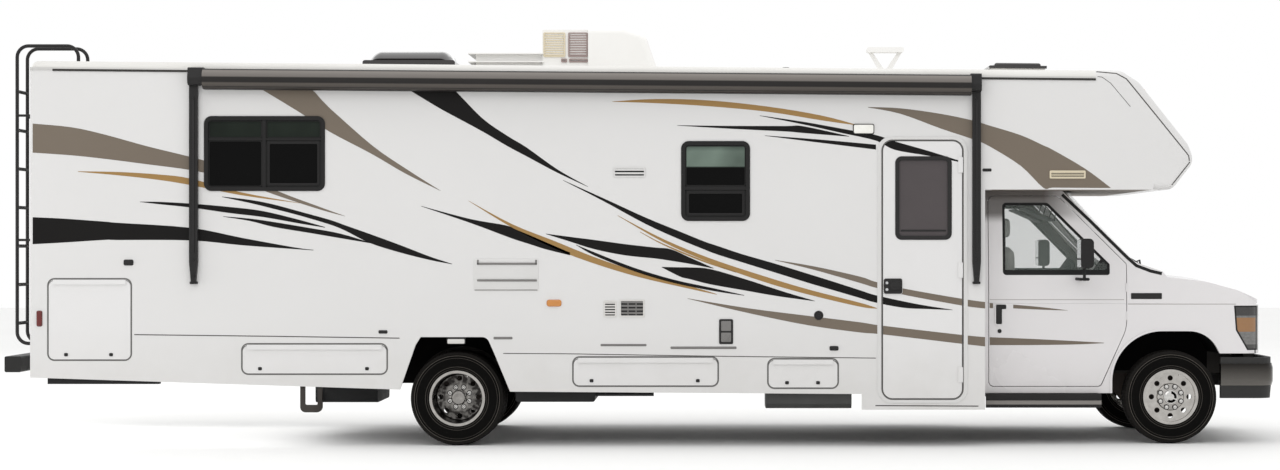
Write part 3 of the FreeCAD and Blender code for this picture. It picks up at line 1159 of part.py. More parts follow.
wheelhouse = slab("Wheelhouse", "XZ_Plane", [arch_line(size.liner_thick / 2)], side_in - 1, rail_out)

doorway = [(size.doorway_in - size.cab_half, size.sill_low),
    (size.doorway_in - size.cab_half, size.shoulder_z),
    (size.doorway_in + lean_in, size.doorway_top, 60)]
frame_edge = [(-size.cab_half, size.sill_low), (-size.cab_half, size.crease_z),
    (size.shoulder_in - size.cab_half, size.shoulder_z), (lean_in, size.over_low)]


def across(points):
    """A half outline and its reflection, joined into one closed outline."""
    return points + [(-measure(spot[0]),) + spot[1:] for spot in reversed(points)]


back_frame = slab("Back_frame", "YZ_Plane", [across(frame_edge) + list(reversed(across(doorway)))],
    size.house_front_x, size.house_front_x + size.cab_back_frame)
floor_part = box("Cab_floor", (size.house_front_x, size.firewall_x), (side_in, -side_in),
    (size.cab_floor_low, size.cab_floor_high))
firewall = box("Firewall", (size.firewall_x, size.firewall_x + size.firewall_thick), (side_in, -side_in),
    (size.cab_floor_low, size.cowl_z - 60))
tub = cut("Cab_tub", join("Floor_and_firewall", [floor_part, firewall]),
    join("Wheelhouses", [wheelhouse, mirrored("Mirror", wheelhouse)]))

# The hood turns on two barrels that rest in pads on the cowl's rear lip.
hood_half = size.cab_half - size.cab_side - size.hood_gap - size.shoulder_in
hinge_share = (size.hood_hinge_y + size.hood_hinge_long / 2) / hood_half
hinge_fall = size.hood_fall * hinge_share * hinge_share
pivot_x = size.hood_rear_x + size.hood_hinge_in
pivot_z = size.hood_rear_z - size.hood_thick - hinge_fall - 4
lip_x, lip_level = pivot_x + 18, pivot_z - size.hood_lip_drop
cowl = slab("Cowl", "XZ_Plane", [[
    (size.cowl_back_x, size.cowl_z - size.cowl_deep), (size.cowl_x, size.cowl_z - size.cowl_deep),
    (size.cowl_x, size.cowl_z),
    (size.cowl_back_x, size.cowl_z)]], side_in, -side_in)
cowl_lip = crowned("Cowl_lip", [
    (size.cowl_x - 10, lip_level - 35), (lip_x, lip_level - 35), (lip_x, lip_level),
    (size.cowl_x - 10, lip_level)],
    hood_half + 4, size.hood_fall * 0.64, lip_level)
pad_top = pivot_z - size.hood_barrel - size.running_gap
hinge_pads = [box("Hinge_pad", (pivot_x - 4, pivot_x + 4), (y + 5, y + size.hood_hinge_long - 5),
    (pad_top - 18, pad_top))
    for y in (-size.hood_hinge_y - size.hood_hinge_long, size.hood_hinge_y)]
header = box("Header", (size.pillar_top_x - 90, size.pillar_top_x - 10), (lean_in + 10, -lean_in - 10),
    (size.over_low - 40, size.over_low))


def clip_outline(inset):
    """Plan of the wrap-around front: a U open to the rear, moved inward by the inset."""
    front, half = front_x - inset, size.cab_half - inset
    corner = size.clip_corner - inset
    tail = lamp_x - size.clip_tail
    return [(tail, -half), (front, -half, corner), (front, half, corner), (tail, half)]


def clip_band(name, inset, low, high):
    outline = clip_outline(measure(inset)) + list(reversed(clip_outline(size.clip_wall)))
    return slab(name, "XY_Plane", [outline], low, high)


def lamp_slab(name, shift):
    """A block with the lamp's outline seen from the side; the shift leaves a shut line at its rear."""
    return slab(name, "XZ_Plane", [[
        (lamp_x + shift, size.lamp_z1), (front_x + 50, size.lamp_z1), (front_x + 50, size.lamp_z0),
        (lamp_x + 105 + shift, size.lamp_z0), (lamp_x + 14 + shift, size.lamp_bend_z)]],
        -size.cab_half - 10, -size.lamp_y0)


clip = clip_band("Front_clip", 0, size.clip_low, size.clip_high)
add_opening(clip, "YZ_Plane", [rectangle((-size.grille_half, size.grille_half),
    (size.grille_z0, size.grille_z1), 20)],
    lamp_x, front_x + 10)
shell = join("Cab_shell", [right_side, mirrored("Left_side", right_side), back_frame, tub, cowl, cowl_lip,
    header, clip]
    + hinge_pads)
lamp_room = lamp_slab("Lamp_room", measure(0))
node(cut("Cab", shell, join("Lamp_rooms", [lamp_room, mirrored("Mirror", lamp_room)])), "cab_body")
lamp = common("Lamp", clip_band("Lamp_band", 2, size.lamp_z0, size.lamp_z1),
    lamp_slab("Lamp_slab", measure(2)))
node(group("Lamps", [lamp, mirrored("Mirror", lamp)]), "headlamps")

border, grille_back = size.grille_border, front_x - size.clip_wall
grille_frame = slab("Grille_frame", "YZ_Plane", [
    rectangle((-size.grille_half, size.grille_half), (size.grille_z0, size.grille_z1), 20),
    rectangle((border - size.grille_half, size.grille_half - border),
    (size.grille_z0 + border, size.grille_z1 - border), 10)],
    grille_back, front_x + 6)
slat_step = (size.grille_z1 - size.grille_z0 - border * 2) / (size.slats + 1)
slats = []
for k in range(1, SIZES["slats"] + 1):
    slat_z = size.grille_z0 + border + slat_step * k - size.slat_high / 2
    slats.append(box("Slat", (front_x - 30, front_x), (20 - size.grille_half, size.grille_half - 20),
        (slat_z, slat_z + size.slat_high)))
bars = [box("Bar", (front_x - 36, front_x - 8), (size.grille_half * share - 6, size.grille_half * share + 6),
    (size.grille_z0 + 20, size.grille_z1 - 20)) for share in (-0.5, 0, 0.5)]
node(join("Grille", [grille_frame] + slats + bars), "grille")

hood_crown = crowned("Hood_crown", [
    (size.hood_rear_x, size.hood_rear_z), (size.hood_rear_x, size.hood_rear_z - size.hood_thick),
    (size.hood_mid_x, size.hood_mid_z - size.hood_thick, 600),
    (brow_x - 14, size.brow_z - size.hood_thick, 220),
    (front_x - 34, size.clip_high + size.hood_fall + 5), (front_x + 20, size.clip_high + size.hood_fall + 5),
    (front_x + 6, size.clip_high + size.hood_fall + 30, 20), (brow_x, size.brow_z, 250),
    (size.hood_mid_x, size.hood_mid_z, 600)], hood_half + 20, size.hood_fall, size.hood_rear_z)
hood_plan = slab("Hood_plan", "XY_Plane", [[
    (size.hood_rear_x - 5, -hood_half), (front_x, -hood_half, size.clip_corner - 20),
    (front_x, hood_half, size.clip_corner - 20), (size.hood_rear_x - 5, hood_half)]], size.clip_high,
    size.cowl_z)
barrels = [rod("Hood_barrel", "y", (pivot_x, y, pivot_z), size.hood_barrel, size.hood_hinge_long)
    for y in (-size.hood_hinge_y - size.hood_hinge_long, size.hood_hinge_y)]
node(join("Hood_panel", [common("Hood_skin", hood_crown, hood_plan)] + barrels), "hood")

pane_outline = [
    (size.cab_glass_x0, size.cab_glass_z0, 30), (size.cab_glass_x1, size.cab_glass_z0, 20),
    (size.cab_glass_x1, size.cab_glass_bend_z, 20), (size.cab_glass_top_x, size.cab_glass_z1, 40),
    (size.cab_glass_x0, size.cab_glass_z1, 30)]
door_slab = slab("Door_slab", "XZ_Plane", [door_outline, pane_outline], -size.cab_half,
    size.cab_side + lean_in)
door_skin = common("Door_skin", door_slab, leaning_band("Door_band", measure(0), size.cab_door_thick))
hinge_x = size.cab_door_x1 + gap - size.running_gap - size.cab_hinge_radius
cab_hinges = [rod("Cab_barrel", "z", (hinge_x, 3 - size.cab_half, z), size.cab_hinge_radius,
    size.cab_hinge_long)
    for z in (size.cab_hinge_low, size.cab_hinge_high)]
handle = slab("Door_handle", "XZ_Plane", [
    rectangle((size.handle_x, size.handle_x + size.handle_wide), (size.handle_z0, size.handle_z1), 20)],
    -size.cab_half - size.handle_proud, 5 - size.cab_half)
pair(join("Cab_door_panel", [door_skin, handle] + cab_hinges), "cab_door")
pane_slab = slab("Pane_slab", "XZ_Plane", [pane_outline], -size.cab_half, size.cab_side + lean_in)
pair(common("Cab_pane", pane_slab, leaning_band("Pane_band", size.cab_glass_in, size.glass_thick)),
    "cab_door_glass")

mirror_in, mirror_out = -size.cab_half - size.mirror_out0, -size.cab_half - size.mirror_out1
arm_start = mirror_in - size.mirror_post
mirror_head = slab("Mirror_head", "XZ_Plane", [
    rectangle((size.mirror_x0, size.mirror_x1), (size.mirror_z0, size.mirror_z1), 36)], mirror_out, mirror_in)
mirror_post = rod("Mirror_post", "z", ((size.mirror_x0 + size.mirror_x1) / 2, arm_start,
    size.mirror_arm_z - 12),
    size.mirror_arm, size.mirror_z0 - size.mirror_arm_z + 20)
mirror_arms = [rod("Mirror_arm", "y", (x, arm_start - 12, size.mirror_arm_z), size.mirror_arm,
    -arm_start + 12 - size.cab_half + size.shoulder_in - 1)
    for x in (size.mirror_x0 + 22, size.mirror_x1 - 22)]
mirror_yoke = box("Mirror_yoke", (size.mirror_x0 + 22, size.mirror_x1 - 22), (arm_start - 10, arm_start + 10),
    (size.mirror_arm_z - 10, size.mirror_arm_z + 10))
pair(join("Mirror_set", [mirror_head, mirror_post, mirror_yoke] + mirror_arms), "mirror")

# ---------------------------------------------------------------- windshield, cab interior, front bumper


def bowed(body, z, side_x, mid_x, half):
    """Plan of the curved windshield at one height: two equal arcs joined at their ends."""
    sketch = sketch_on(body, "XY_Plane", z)
    bow = mid_x - side_x
    radius = (half * half + bow * bow) / (2 * bow)
    angle = math.asin(half.value / radius.value)
    arcs = []
    for shift in (measure(0), size.shield_thick):
        centre = Vec(mid_x.value - radius.value - shift.value, 0, 0)
        circle = Part.Circle(centre, Vec(0, 0, 1), radius.value)
        number = sketch.addGeometry(Part.ArcOfCircle(circle, -angle, angle), False)
        for end, edge in ((1, -half), (2, half)):
            datum(sketch, "DistanceX", number, end, side_x - shift)
            datum(sketch, "DistanceY", number, end, edge)
        limit = sketch.addConstraint(Sketcher.Constraint("Radius", number, radius.value))
        sketch.setExpression("Constraints[%d]" % limit, radius.formula)
        arcs.append(number)
    for end, edge in ((1, -half), (2, half)):
        first = Vec(side_x.value, edge.value, 0)
        line = sketch.addGeometry(Part.LineSegment(first, first - Vec(SIZES["shield_thick"], 0, 0)), False)
        sketch.addConstraint(Sketcher.Constraint("Coincident", line, 1, arcs[0], end))
        sketch.addConstraint(Sketcher.Constraint("Coincident", line, 2, arcs[1], end))
    return sketch


shield_half = size.cab_half - size.shield_inset
shield_top_half = size.cab_half - size.shield_top_inset
shield = new_body("Windshield")
low_edge = bowed(shield, size.cowl_z, size.shield_side_x, size.shield_mid_x, shield_half)
high_edge = bowed(shield, size.over_low, size.shield_top_side_x, size.shield_top_mid_x, shield_top_half)
loft = shield.newObject("PartDesign::AdditiveLoft", "Loft")
loft.Profile = low_edge
loft.Sections = [high_edge]
node(shield, "windshield")

dash_side, dash_top = side_in + size.shoulder_in + 2, size.cowl_z - size.cowl_deep
dash = slab("Dash", "XZ_Plane", [[
    (size.dash_x0 + 20, size.dash_low, 30), (size.firewall_x, size.dash_low), (size.firewall_x, dash_top),
    (size.dash_x0 + 70, dash_top, 50), (size.dash_x0, size.dash_low + 130, 40)]], dash_side, -dash_side)
wheel_at = (size.wheel_x, size.wheel_y, size.wheel_z)
rake = FreeCAD.Placement(Vec(), FreeCAD.Rotation(Vec(0, 1, 0), 180 - SIZES["wheel_rake"]))
steering_wheel = doc.addObject("Part::Torus", "Steering_wheel")
tie(steering_wheel, "Radius1", size.wheel_radius)
tie(steering_wheel, "Radius2", size.wheel_rim)
column = doc.addObject("Part::Cylinder", "Column")
tie(column, "Radius", size.column_radius)
tie(column, "Height", size.wheel_radius * 1.6)
hub = doc.addObject("Part::Cylinder", "Horn_pad")
tie(hub, "Radius", size.column_radius * 2.2)
tie(hub, "Height", size.column_radius)
for thing in (steering_wheel, column, hub):
    thing.Placement = rake
    place(thing, *wheel_at)
spoke = rod("Spoke", "y", (size.wheel_x, size.wheel_y - size.wheel_radius, size.wheel_z), 9,
    size.wheel_radius * 2)
node(join("Dashboard", [dash, steering_wheel, column, hub, spoke]), "dashboard")
seat = slab("Seat", "XZ_Plane", [[
    (size.seat_x0 + 30, size.cab_floor_high), (size.seat_x1 - 20, size.cab_floor_high),
    (size.seat_x1, size.seat_high, 50),
    (size.seat_x0 + 190, size.seat_high + 10, 40), (size.seat_x0 + 130, size.seat_top, 50),
    (size.seat_x0, size.seat_top, 50)]], -size.seat_y1, -size.seat_y0)
node(group("Seats", [seat, mirrored("Mirror", seat)]), "cab_seats")

board_out, plate = -size.cab_half - size.board_over, size.board_plate
board = slab("Board", "YZ_Plane", [[
    (board_out, size.board_low, 8), (board_out + plate, size.board_low, 8),
    (board_out + plate, size.sill_low - plate),
    (-size.board_in, size.sill_low - plate), (-size.board_in, size.sill_low),
    (board_out, size.sill_low, 14)]],
    size.board_x0, size.board_x1)
node(group("Boards", [board, mirrored("Mirror", board)]), "running_boards")

bumper_out = -size.cab_half - size.front_bumper_over
bumper_route = [(size.half_length - size.front_bumper_wrap, bumper_out),
    (size.half_length, bumper_out, size.front_bumper_corner),
    (size.half_length, -bumper_out, size.front_bumper_corner),
    (size.half_length - size.front_bumper_wrap, -bumper_out)]
bulge, bumper_in = size.chrome_bulge, bumper_out + size.front_bumper_deep
bumper_section = [
    (bumper_in, size.front_bumper_z0), (bumper_out + 24, size.front_bumper_z0),
    (bumper_out + 15, size.chrome_z0),
    (bumper_out + bulge, size.chrome_z0), (bumper_out, size.chrome_z0 + 35, 30),
    (bumper_out, size.chrome_z1 - 35, 30),
    (bumper_out + bulge, size.chrome_z1), (bumper_out + 18, size.chrome_z1),
    (bumper_out + 18, size.front_bumper_z1),
    (bumper_in, size.front_bumper_z1)]
node(swept("Front_bumper", "XY_Plane", bumper_route, size.chrome_z0, "YZ_Plane", bumper_route[0][0],
    lambda sketch: draw(sketch, bumper_section)), "front_bumper")

# ---------------------------------------------------------------- check and write

doc.recompute()
faulty = [thing for thing in doc.Objects if "Invalid" in thing.State or "Error" in thing.State]
for thing in faulty:
    owner = thing.getParentGeoFeatureGroup()
    print("did not build:", thing.Label, thing.TypeId, "in", owner.Label if owner else "the document")
if faulty:
    raise RuntimeError("%d objects did not build" % len(faulty))
os.makedirs("parts", exist_ok=True)
for thing in nodes:
    shape = thing.Shape
    if shape.isNull() or not shape.isValid() or not shape.Solids:
        raise RuntimeError("%s has no valid solid" % thing.Label)
    shape.exportStep("parts/%s.step" % thing.Label)
    print(thing.Label, len(shape.Solids), "solids", round(shape.Volume / 1e6, 2), "litres")
print(len(nodes), "nodes")
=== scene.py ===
"""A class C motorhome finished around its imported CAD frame: paint, vinyl stripes, trims, lamps, glass and cab fittings.

Everything is in metres in the CAD frame: +X forward, +Y to the driver's left, +Z up, with the origin on the ground.
"""

import math
import random
from types import SimpleNamespace

import bmesh
import bpy
from mathutils import Matrix, Vector
from mathutils.bvhtree import BVHTree


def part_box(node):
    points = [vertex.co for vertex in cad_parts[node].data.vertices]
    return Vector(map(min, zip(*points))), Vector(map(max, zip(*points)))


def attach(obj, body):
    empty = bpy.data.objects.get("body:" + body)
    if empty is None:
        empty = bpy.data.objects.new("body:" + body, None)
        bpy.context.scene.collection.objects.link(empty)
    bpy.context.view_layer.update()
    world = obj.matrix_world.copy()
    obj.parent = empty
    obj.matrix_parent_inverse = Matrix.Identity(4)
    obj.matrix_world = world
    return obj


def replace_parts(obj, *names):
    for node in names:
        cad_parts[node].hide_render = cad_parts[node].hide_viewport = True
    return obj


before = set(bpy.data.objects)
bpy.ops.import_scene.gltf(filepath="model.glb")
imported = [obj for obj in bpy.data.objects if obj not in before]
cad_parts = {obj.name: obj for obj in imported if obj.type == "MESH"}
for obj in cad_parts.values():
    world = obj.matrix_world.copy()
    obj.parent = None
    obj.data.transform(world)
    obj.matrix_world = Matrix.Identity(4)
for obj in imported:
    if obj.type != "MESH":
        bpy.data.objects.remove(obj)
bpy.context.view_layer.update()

# ---------------------------------------------------------------- studio
# A plain pale floor under a bright, even surround, with one broad soft lamp over the camera's shoulder and one above.
# The camera stands square to the right-hand side, as far off as the long side needs, and is shifted, not turned.


def linear(code):
    """An sRGB hex colour as linear red, green and blue, with full alpha."""
    channels = [int(code[start:start + 2], 16) / 255 for start in (0, 2, 4)]
    return tuple(c / 12.92 if c <= 0.04045 else ((c + 0.055) / 1.055) ** 2.4 for c in channels) + (1.0,)


def add(tree, kind, inputs=(), **settings):
    """Adds a shader node; inputs gives each socket a value or links another node's output to it."""
    node = tree.nodes.new(kind)
    for setting, value in settings.items():
        setattr(node, setting, value)
    for socket, value in dict(inputs).items():
        if isinstance(value, bpy.types.NodeSocket):
            tree.links.new(value, node.inputs[socket])
        else:
            node.inputs[socket].default_value = value
    return node


def surface(name, first, second, patch, roughness, grain, relief, **constants):
    """A material whose colour drifts between two shades over patches of a given size, with a grain in its relief.

    Sizes are in metres. Constants go on the shader's own sockets, with underscores for spaces.
    """
    material = bpy.data.materials.new(name)
    material.use_nodes = True
    tree = material.node_tree
    shader = tree.nodes["Principled BSDF"]
    place = add(tree, "ShaderNodeTexCoord").outputs["Object"]
    drift = add(tree, "ShaderNodeTexNoise", {"Vector": place, "Scale": 1 / patch, "Detail": 5.0})
    shades = add(tree, "ShaderNodeMix", {0: drift.outputs[0], 6: linear(first), 7: linear(second)}, data_type="RGBA")
    gloss = add(tree, "ShaderNodeMapRange", {0: drift.outputs[0], 3: roughness * 0.8, 4: roughness * 1.2})
    pits = add(tree, "ShaderNodeTexNoise", {"Vector": place, "Scale": 1 / grain, "Detail": 3.0})
    bump = add(tree, "ShaderNodeBump", {"Strength": 1.0, "Distance": relief, "Height": pits.outputs[0]})
    tree.links.new(shades.outputs[2], shader.inputs["Base Color"])
    tree.links.new(gloss.outputs[0], shader.inputs["Roughness"])
    tree.links.new(bump.outputs[0], shader.inputs["Normal"])
    for socket, value in constants.items():
        shader.inputs[socket.replace("_", " ")].default_value = value
    return SimpleNamespace(material=material, tree=tree, shader=shader, place=place, colour=shades.outputs[2],
                           gloss=gloss.outputs[0], bump=bump)


FLOOR_HALF = 45.0
shape = bmesh.new()
bmesh.ops.create_grid(shape, x_segments=2, y_segments=2, size=FLOOR_HALF)
mesh = bpy.data.meshes.new("studio_floor")
shape.to_mesh(mesh)
shape.free()
# Matt painted boards, rolled on: nearly white, with no reflection to speak of.
mesh.materials.append(surface("painted_board", "f7f7f6", "f3f3f2", 3.0, 0.85, 0.02, 0.0001).material)
studio_floor = bpy.data.objects.new("studio_floor", mesh)
bpy.context.scene.collection.objects.link(studio_floor)

surround = bpy.data.worlds.new("studio_surround")
surround.use_nodes = True
surround.node_tree.nodes["Background"].inputs["Color"].default_value = linear("ffffff")
surround.node_tree.nodes["Background"].inputs["Strength"].default_value = 1.0
bpy.context.scene.world = surround

# name, place, the point it faces, watts, width and height of each soft lamp
SOFT_LAMPS = (
    ("lamp_front", (-3.0, -15.0, 10.5), (0.0, 0.0, 1.5), 330, 16.0, 7.0),
    ("lamp_over", (1.5, -2.0, 12.0), (0.0, 0.0, 1.5), 300, 14.0, 7.0),
    ("lamp_back", (-4.0, 15.0, 9.0), (0.0, 0.0, 1.5), 300, 14.0, 7.0),
    ("lamp_low", (-9.5, -1.5, 1.1), (0.0, 0.0, 1.5), 90, 4.0, 1.6),
    ("lamp_under", (-4.05, -0.1, 0.41), (-4.05, -0.1, 0.0), 22, 2.9, 2.3),
)
for name, at, aim, watts, wide, high in SOFT_LAMPS:
    lamp = bpy.data.lights.new(name, "AREA")
    lamp.shape, lamp.size, lamp.size_y, lamp.energy = "RECTANGLE", wide, high, watts
    holder = bpy.data.objects.new(name, lamp)
    holder.location = at
    holder.rotation_euler = (Vector(aim) - Vector(at)).to_track_quat("-Z", "Y").to_euler()
    bpy.context.scene.collection.objects.link(holder)

lens = bpy.data.cameras.new("camera")
lens.sensor_width, lens.lens = 36.0, 71.37
lens.shift_x, lens.shift_y = -0.0555, 0.0102
lens.clip_end = 200.0
camera = bpy.data.objects.new("camera", lens)
camera.location = (0.543, -21.19, 1.558)
camera.rotation_euler = (math.radians(90), 0.0, 0.0)
bpy.context.scene.collection.objects.link(camera)
bpy.context.scene.camera = camera
bpy.context.scene.view_settings.view_transform = "Standard"

# ---------------------------------------------------------------- coach shell
# Walls, skirts, rear wall and cap are glass-fibre laminate with a white gelcoat face, rolled flat for the walls and
# laid up in a mould for the cap. The face is glossy, a little wavy over the studs, and dusty low on the skirts.
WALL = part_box("skirts")[1].y
SKIRT_LOW, DUST_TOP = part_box("skirts")[0].z, 0.95
STUD_SPACING, WAVE_DEEP = 0.41, 0.0006


def dress(finish, *names):
    """Gives CAD nodes their material."""
    for name in names:
        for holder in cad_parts[name].material_slots:
            holder.material = finish.material


def dusted(finish, dust, low, high, most):
    """Lays road dust over a finish, thick at one height and gone at another."""
    tree = finish.tree
    height = add(tree, "ShaderNodeSeparateXYZ", {0: finish.place})
    fall = add(tree, "ShaderNodeMapRange", {0: height.outputs[2], 1: low, 2: high, 3: most, 4: 0.0})
    patches = add(tree, "ShaderNodeTexNoise", {"Vector": finish.place, "Scale": 5.0, "Detail": 6.0})
    share = add(tree, "ShaderNodeMath", {0: fall.outputs[0], 1: patches.outputs[0]}, operation="MULTIPLY")
    mixed = add(tree, "ShaderNodeMix", {0: share.outputs[0], 6: finish.colour, 7: linear(dust)}, data_type="RGBA")
    tree.links.new(mixed.outputs[2], finish.shader.inputs["Base Color"])
    finish.colour = mixed.outputs[2]


# White gelcoat: polished polyester resin, so a sharp highlight over an even, slightly warm white.
gelcoat = surface("white_gelcoat", "d5d4d3", "d0cfce", 1.4, 0.30, STUD_SPACING, WAVE_DEEP,
                  Coat_Weight=0.35, Coat_Roughness=0.08, IOR=1.50)
dusted(gelcoat, "a9a49a", SKIRT_LOW, DUST_TOP, 0.30)
dress(gelcoat, "right_side_wall", "left_side_wall", "skirts", "rear_wall", "front_cap")


def put(name, shape, finish, body="coach", sharp=32.0, loose=False):
    """Makes a finished bmesh a named piece that rides on a body; edges over the sharp angle stay crisp."""
    bmesh.ops.remove_doubles(shape, verts=shape.verts, dist=0.00005)
    if not loose:
        bmesh.ops.recalc_face_normals(shape, faces=shape.faces)
    mesh = bpy.data.meshes.new(name)
    shape.to_mesh(mesh)
    shape.free()
    mesh.shade_smooth()
    mesh.set_sharp_from_angle(angle=math.radians(sharp))
    for material in (finish if isinstance(finish, (list, tuple)) else [finish]):
        mesh.materials.append(material.material)
    piece = bpy.data.objects.new(name, mesh)
    bpy.context.scene.collection.objects.link(piece)
    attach(piece, body)
    return piece


def new_faces(shape, before):
    """The faces made since a step began."""
    return [face for face in shape.faces if face not in before]


def add_block(shape, low, high, rounding=0.0, segments=2):
    """A block between two corners, with its edges rounded."""
    low, high = Vector(low), Vector(high)
    spread = Matrix.Translation((low + high) / 2) @ Matrix.Diagonal((*(high - low), 1.0))
    made = bmesh.ops.create_cube(shape, size=1.0, matrix=spread)
    if rounding:
        edges = list({edge for vertex in made["verts"] for edge in vertex.link_edges})
        bmesh.ops.bevel(shape, geom=edges, offset=rounding, offset_type="OFFSET", segments=segments, profile=0.5,
                        affect="EDGES", material=-1)


def add_bar(shape, start, end, radius, sides=12, tip=None):
    """A round bar between two points, tapered when its tip has another radius."""
    start, end = Vector(start), Vector(end)
    turn = (end - start).to_track_quat("Z", "Y").to_matrix().to_4x4()
    bmesh.ops.create_cone(shape, cap_ends=True, segments=sides, radius1=radius, radius2=radius if tip is None else tip,
                          depth=(end - start).length, matrix=Matrix.Translation((start + end) / 2) @ turn)


def rounded(x, z, corner, steps=5):
    """The outline of a rounded rectangle as (x, z) points."""
    points = []
    for mid_x, mid_z, first in ((x[1] - corner, z[1] - corner, 0), (x[0] + corner, z[1] - corner, 90),
                                (x[0] + corner, z[0] + corner, 180), (x[1] - corner, z[0] + corner, 270)):
        for step in range(steps + 1):
            turn = math.radians(first + 90 * step / steps)
            points.append((mid_x + corner * math.cos(turn), mid_z + corner * math.sin(turn)))
    return points


def add_plate(shape, outline, side, face, proud, edge=0.0):
    """A flat outline on a side of the vehicle, standing proud of a face at a given distance from the middle."""
    before = set(shape.faces)
    flat = shape.faces.new([shape.verts.new((x, side * face, z)) for x, z in outline])
    raised = bmesh.ops.extrude_face_region(shape, geom=[flat])
    top = [vertex for vertex in raised["geom"] if isinstance(vertex, bmesh.types.BMVert)]
    bmesh.ops.translate(shape, verts=top, vec=(0.0, side * proud, 0.0))
    if edge:
        caps = [part for part in raised["geom"] if isinstance(part, bmesh.types.BMFace)]
        rim = list({line for cap in caps for line in cap.edges})
        bmesh.ops.bevel(shape, geom=rim, offset=edge, offset_type="OFFSET", segments=2, profile=0.5, affect="EDGES",
                        material=-1)
    return new_faces(shape, before)


def add_ring(shape, outer, inner, side, face, proud, edge=0.0):
    """A flat frame between two outlines with as many points each, standing proud of a face."""
    loops = []
    for outline in (outer, inner):
        spots = [shape.verts.new((x, side * face, z)) for x, z in outline]
        loops += [shape.edges.new((spots[k - 1], spots[k])) for k in range(len(spots))]
    joined = bmesh.ops.bridge_loops(shape, edges=loops)
    raised = bmesh.ops.extrude_face_region(shape, geom=joined["faces"])
    top = [vertex for vertex in raised["geom"] if isinstance(vertex, bmesh.types.BMVert)]
    bmesh.ops.translate(shape, verts=top, vec=(0.0, side * proud, 0.0))
    if edge:
        caps = {part for part in raised["geom"] if isinstance(part, bmesh.types.BMFace)}
        rim = list({line for cap in caps for line in cap.edges if sum(near in caps for near in line.link_faces) == 1})
        bmesh.ops.bevel(shape, geom=rim, offset=edge, offset_type="OFFSET", segments=2, profile=0.5, affect="EDGES",
                        material=-1)


# Drip rails: drawn aluminium channels along both wall tops, in dull grey, with a black butyl line under them, drawn
# wide enough to be also the painted shade under the rail.
drip_metal = surface("drawn_aluminium", "c9c8c6", "bdbcb9", 0.3, 0.42, 0.004, 0.0001, Metallic=0.6)
rail_butyl_and_shade = surface("butyl_bead_and_painted_shade", "34322f", "2a2826", 0.15, 0.6, 0.004, 0.0003, Specular_IOR_Level=0.3)
wall_high, wall_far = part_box("right_side_wall")[1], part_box("roof")[1].x
roof_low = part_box("roof")[0]
RAIL_HIGH, RAIL_PROUD = 0.022, 0.007
for side, hand in ((-1, "right"), (1, "left")):
    shape = bmesh.new()
    add_plate(shape, [(roof_low.x, wall_high.z - RAIL_HIGH / 2), (wall_far, roof_low.z - RAIL_HIGH / 2),
                      (wall_far, roof_low.z + RAIL_HIGH / 2), (roof_low.x, wall_high.z + RAIL_HIGH / 2)],
              side, WALL, RAIL_PROUD, 0.002)
    put(hand + "_drip_rail", shape, drip_metal)
    shape = bmesh.new()
    slope = (roof_low.z - wall_high.z) / (wall_far - roof_low.x)
    line = [(x, wall_high.z + slope * (x - roof_low.x) - RAIL_HIGH / 2 + 0.002) for x in (-4.620, wall_far)]
    add_plate(shape, [(x, z - 0.0085) for x, z in line] + [(x, z + 0.0085) for x, z in reversed(line)], side, WALL, 0.0075)
    put(hand + "_drip_rail_joint_and_shade", shape, rail_butyl_and_shade)

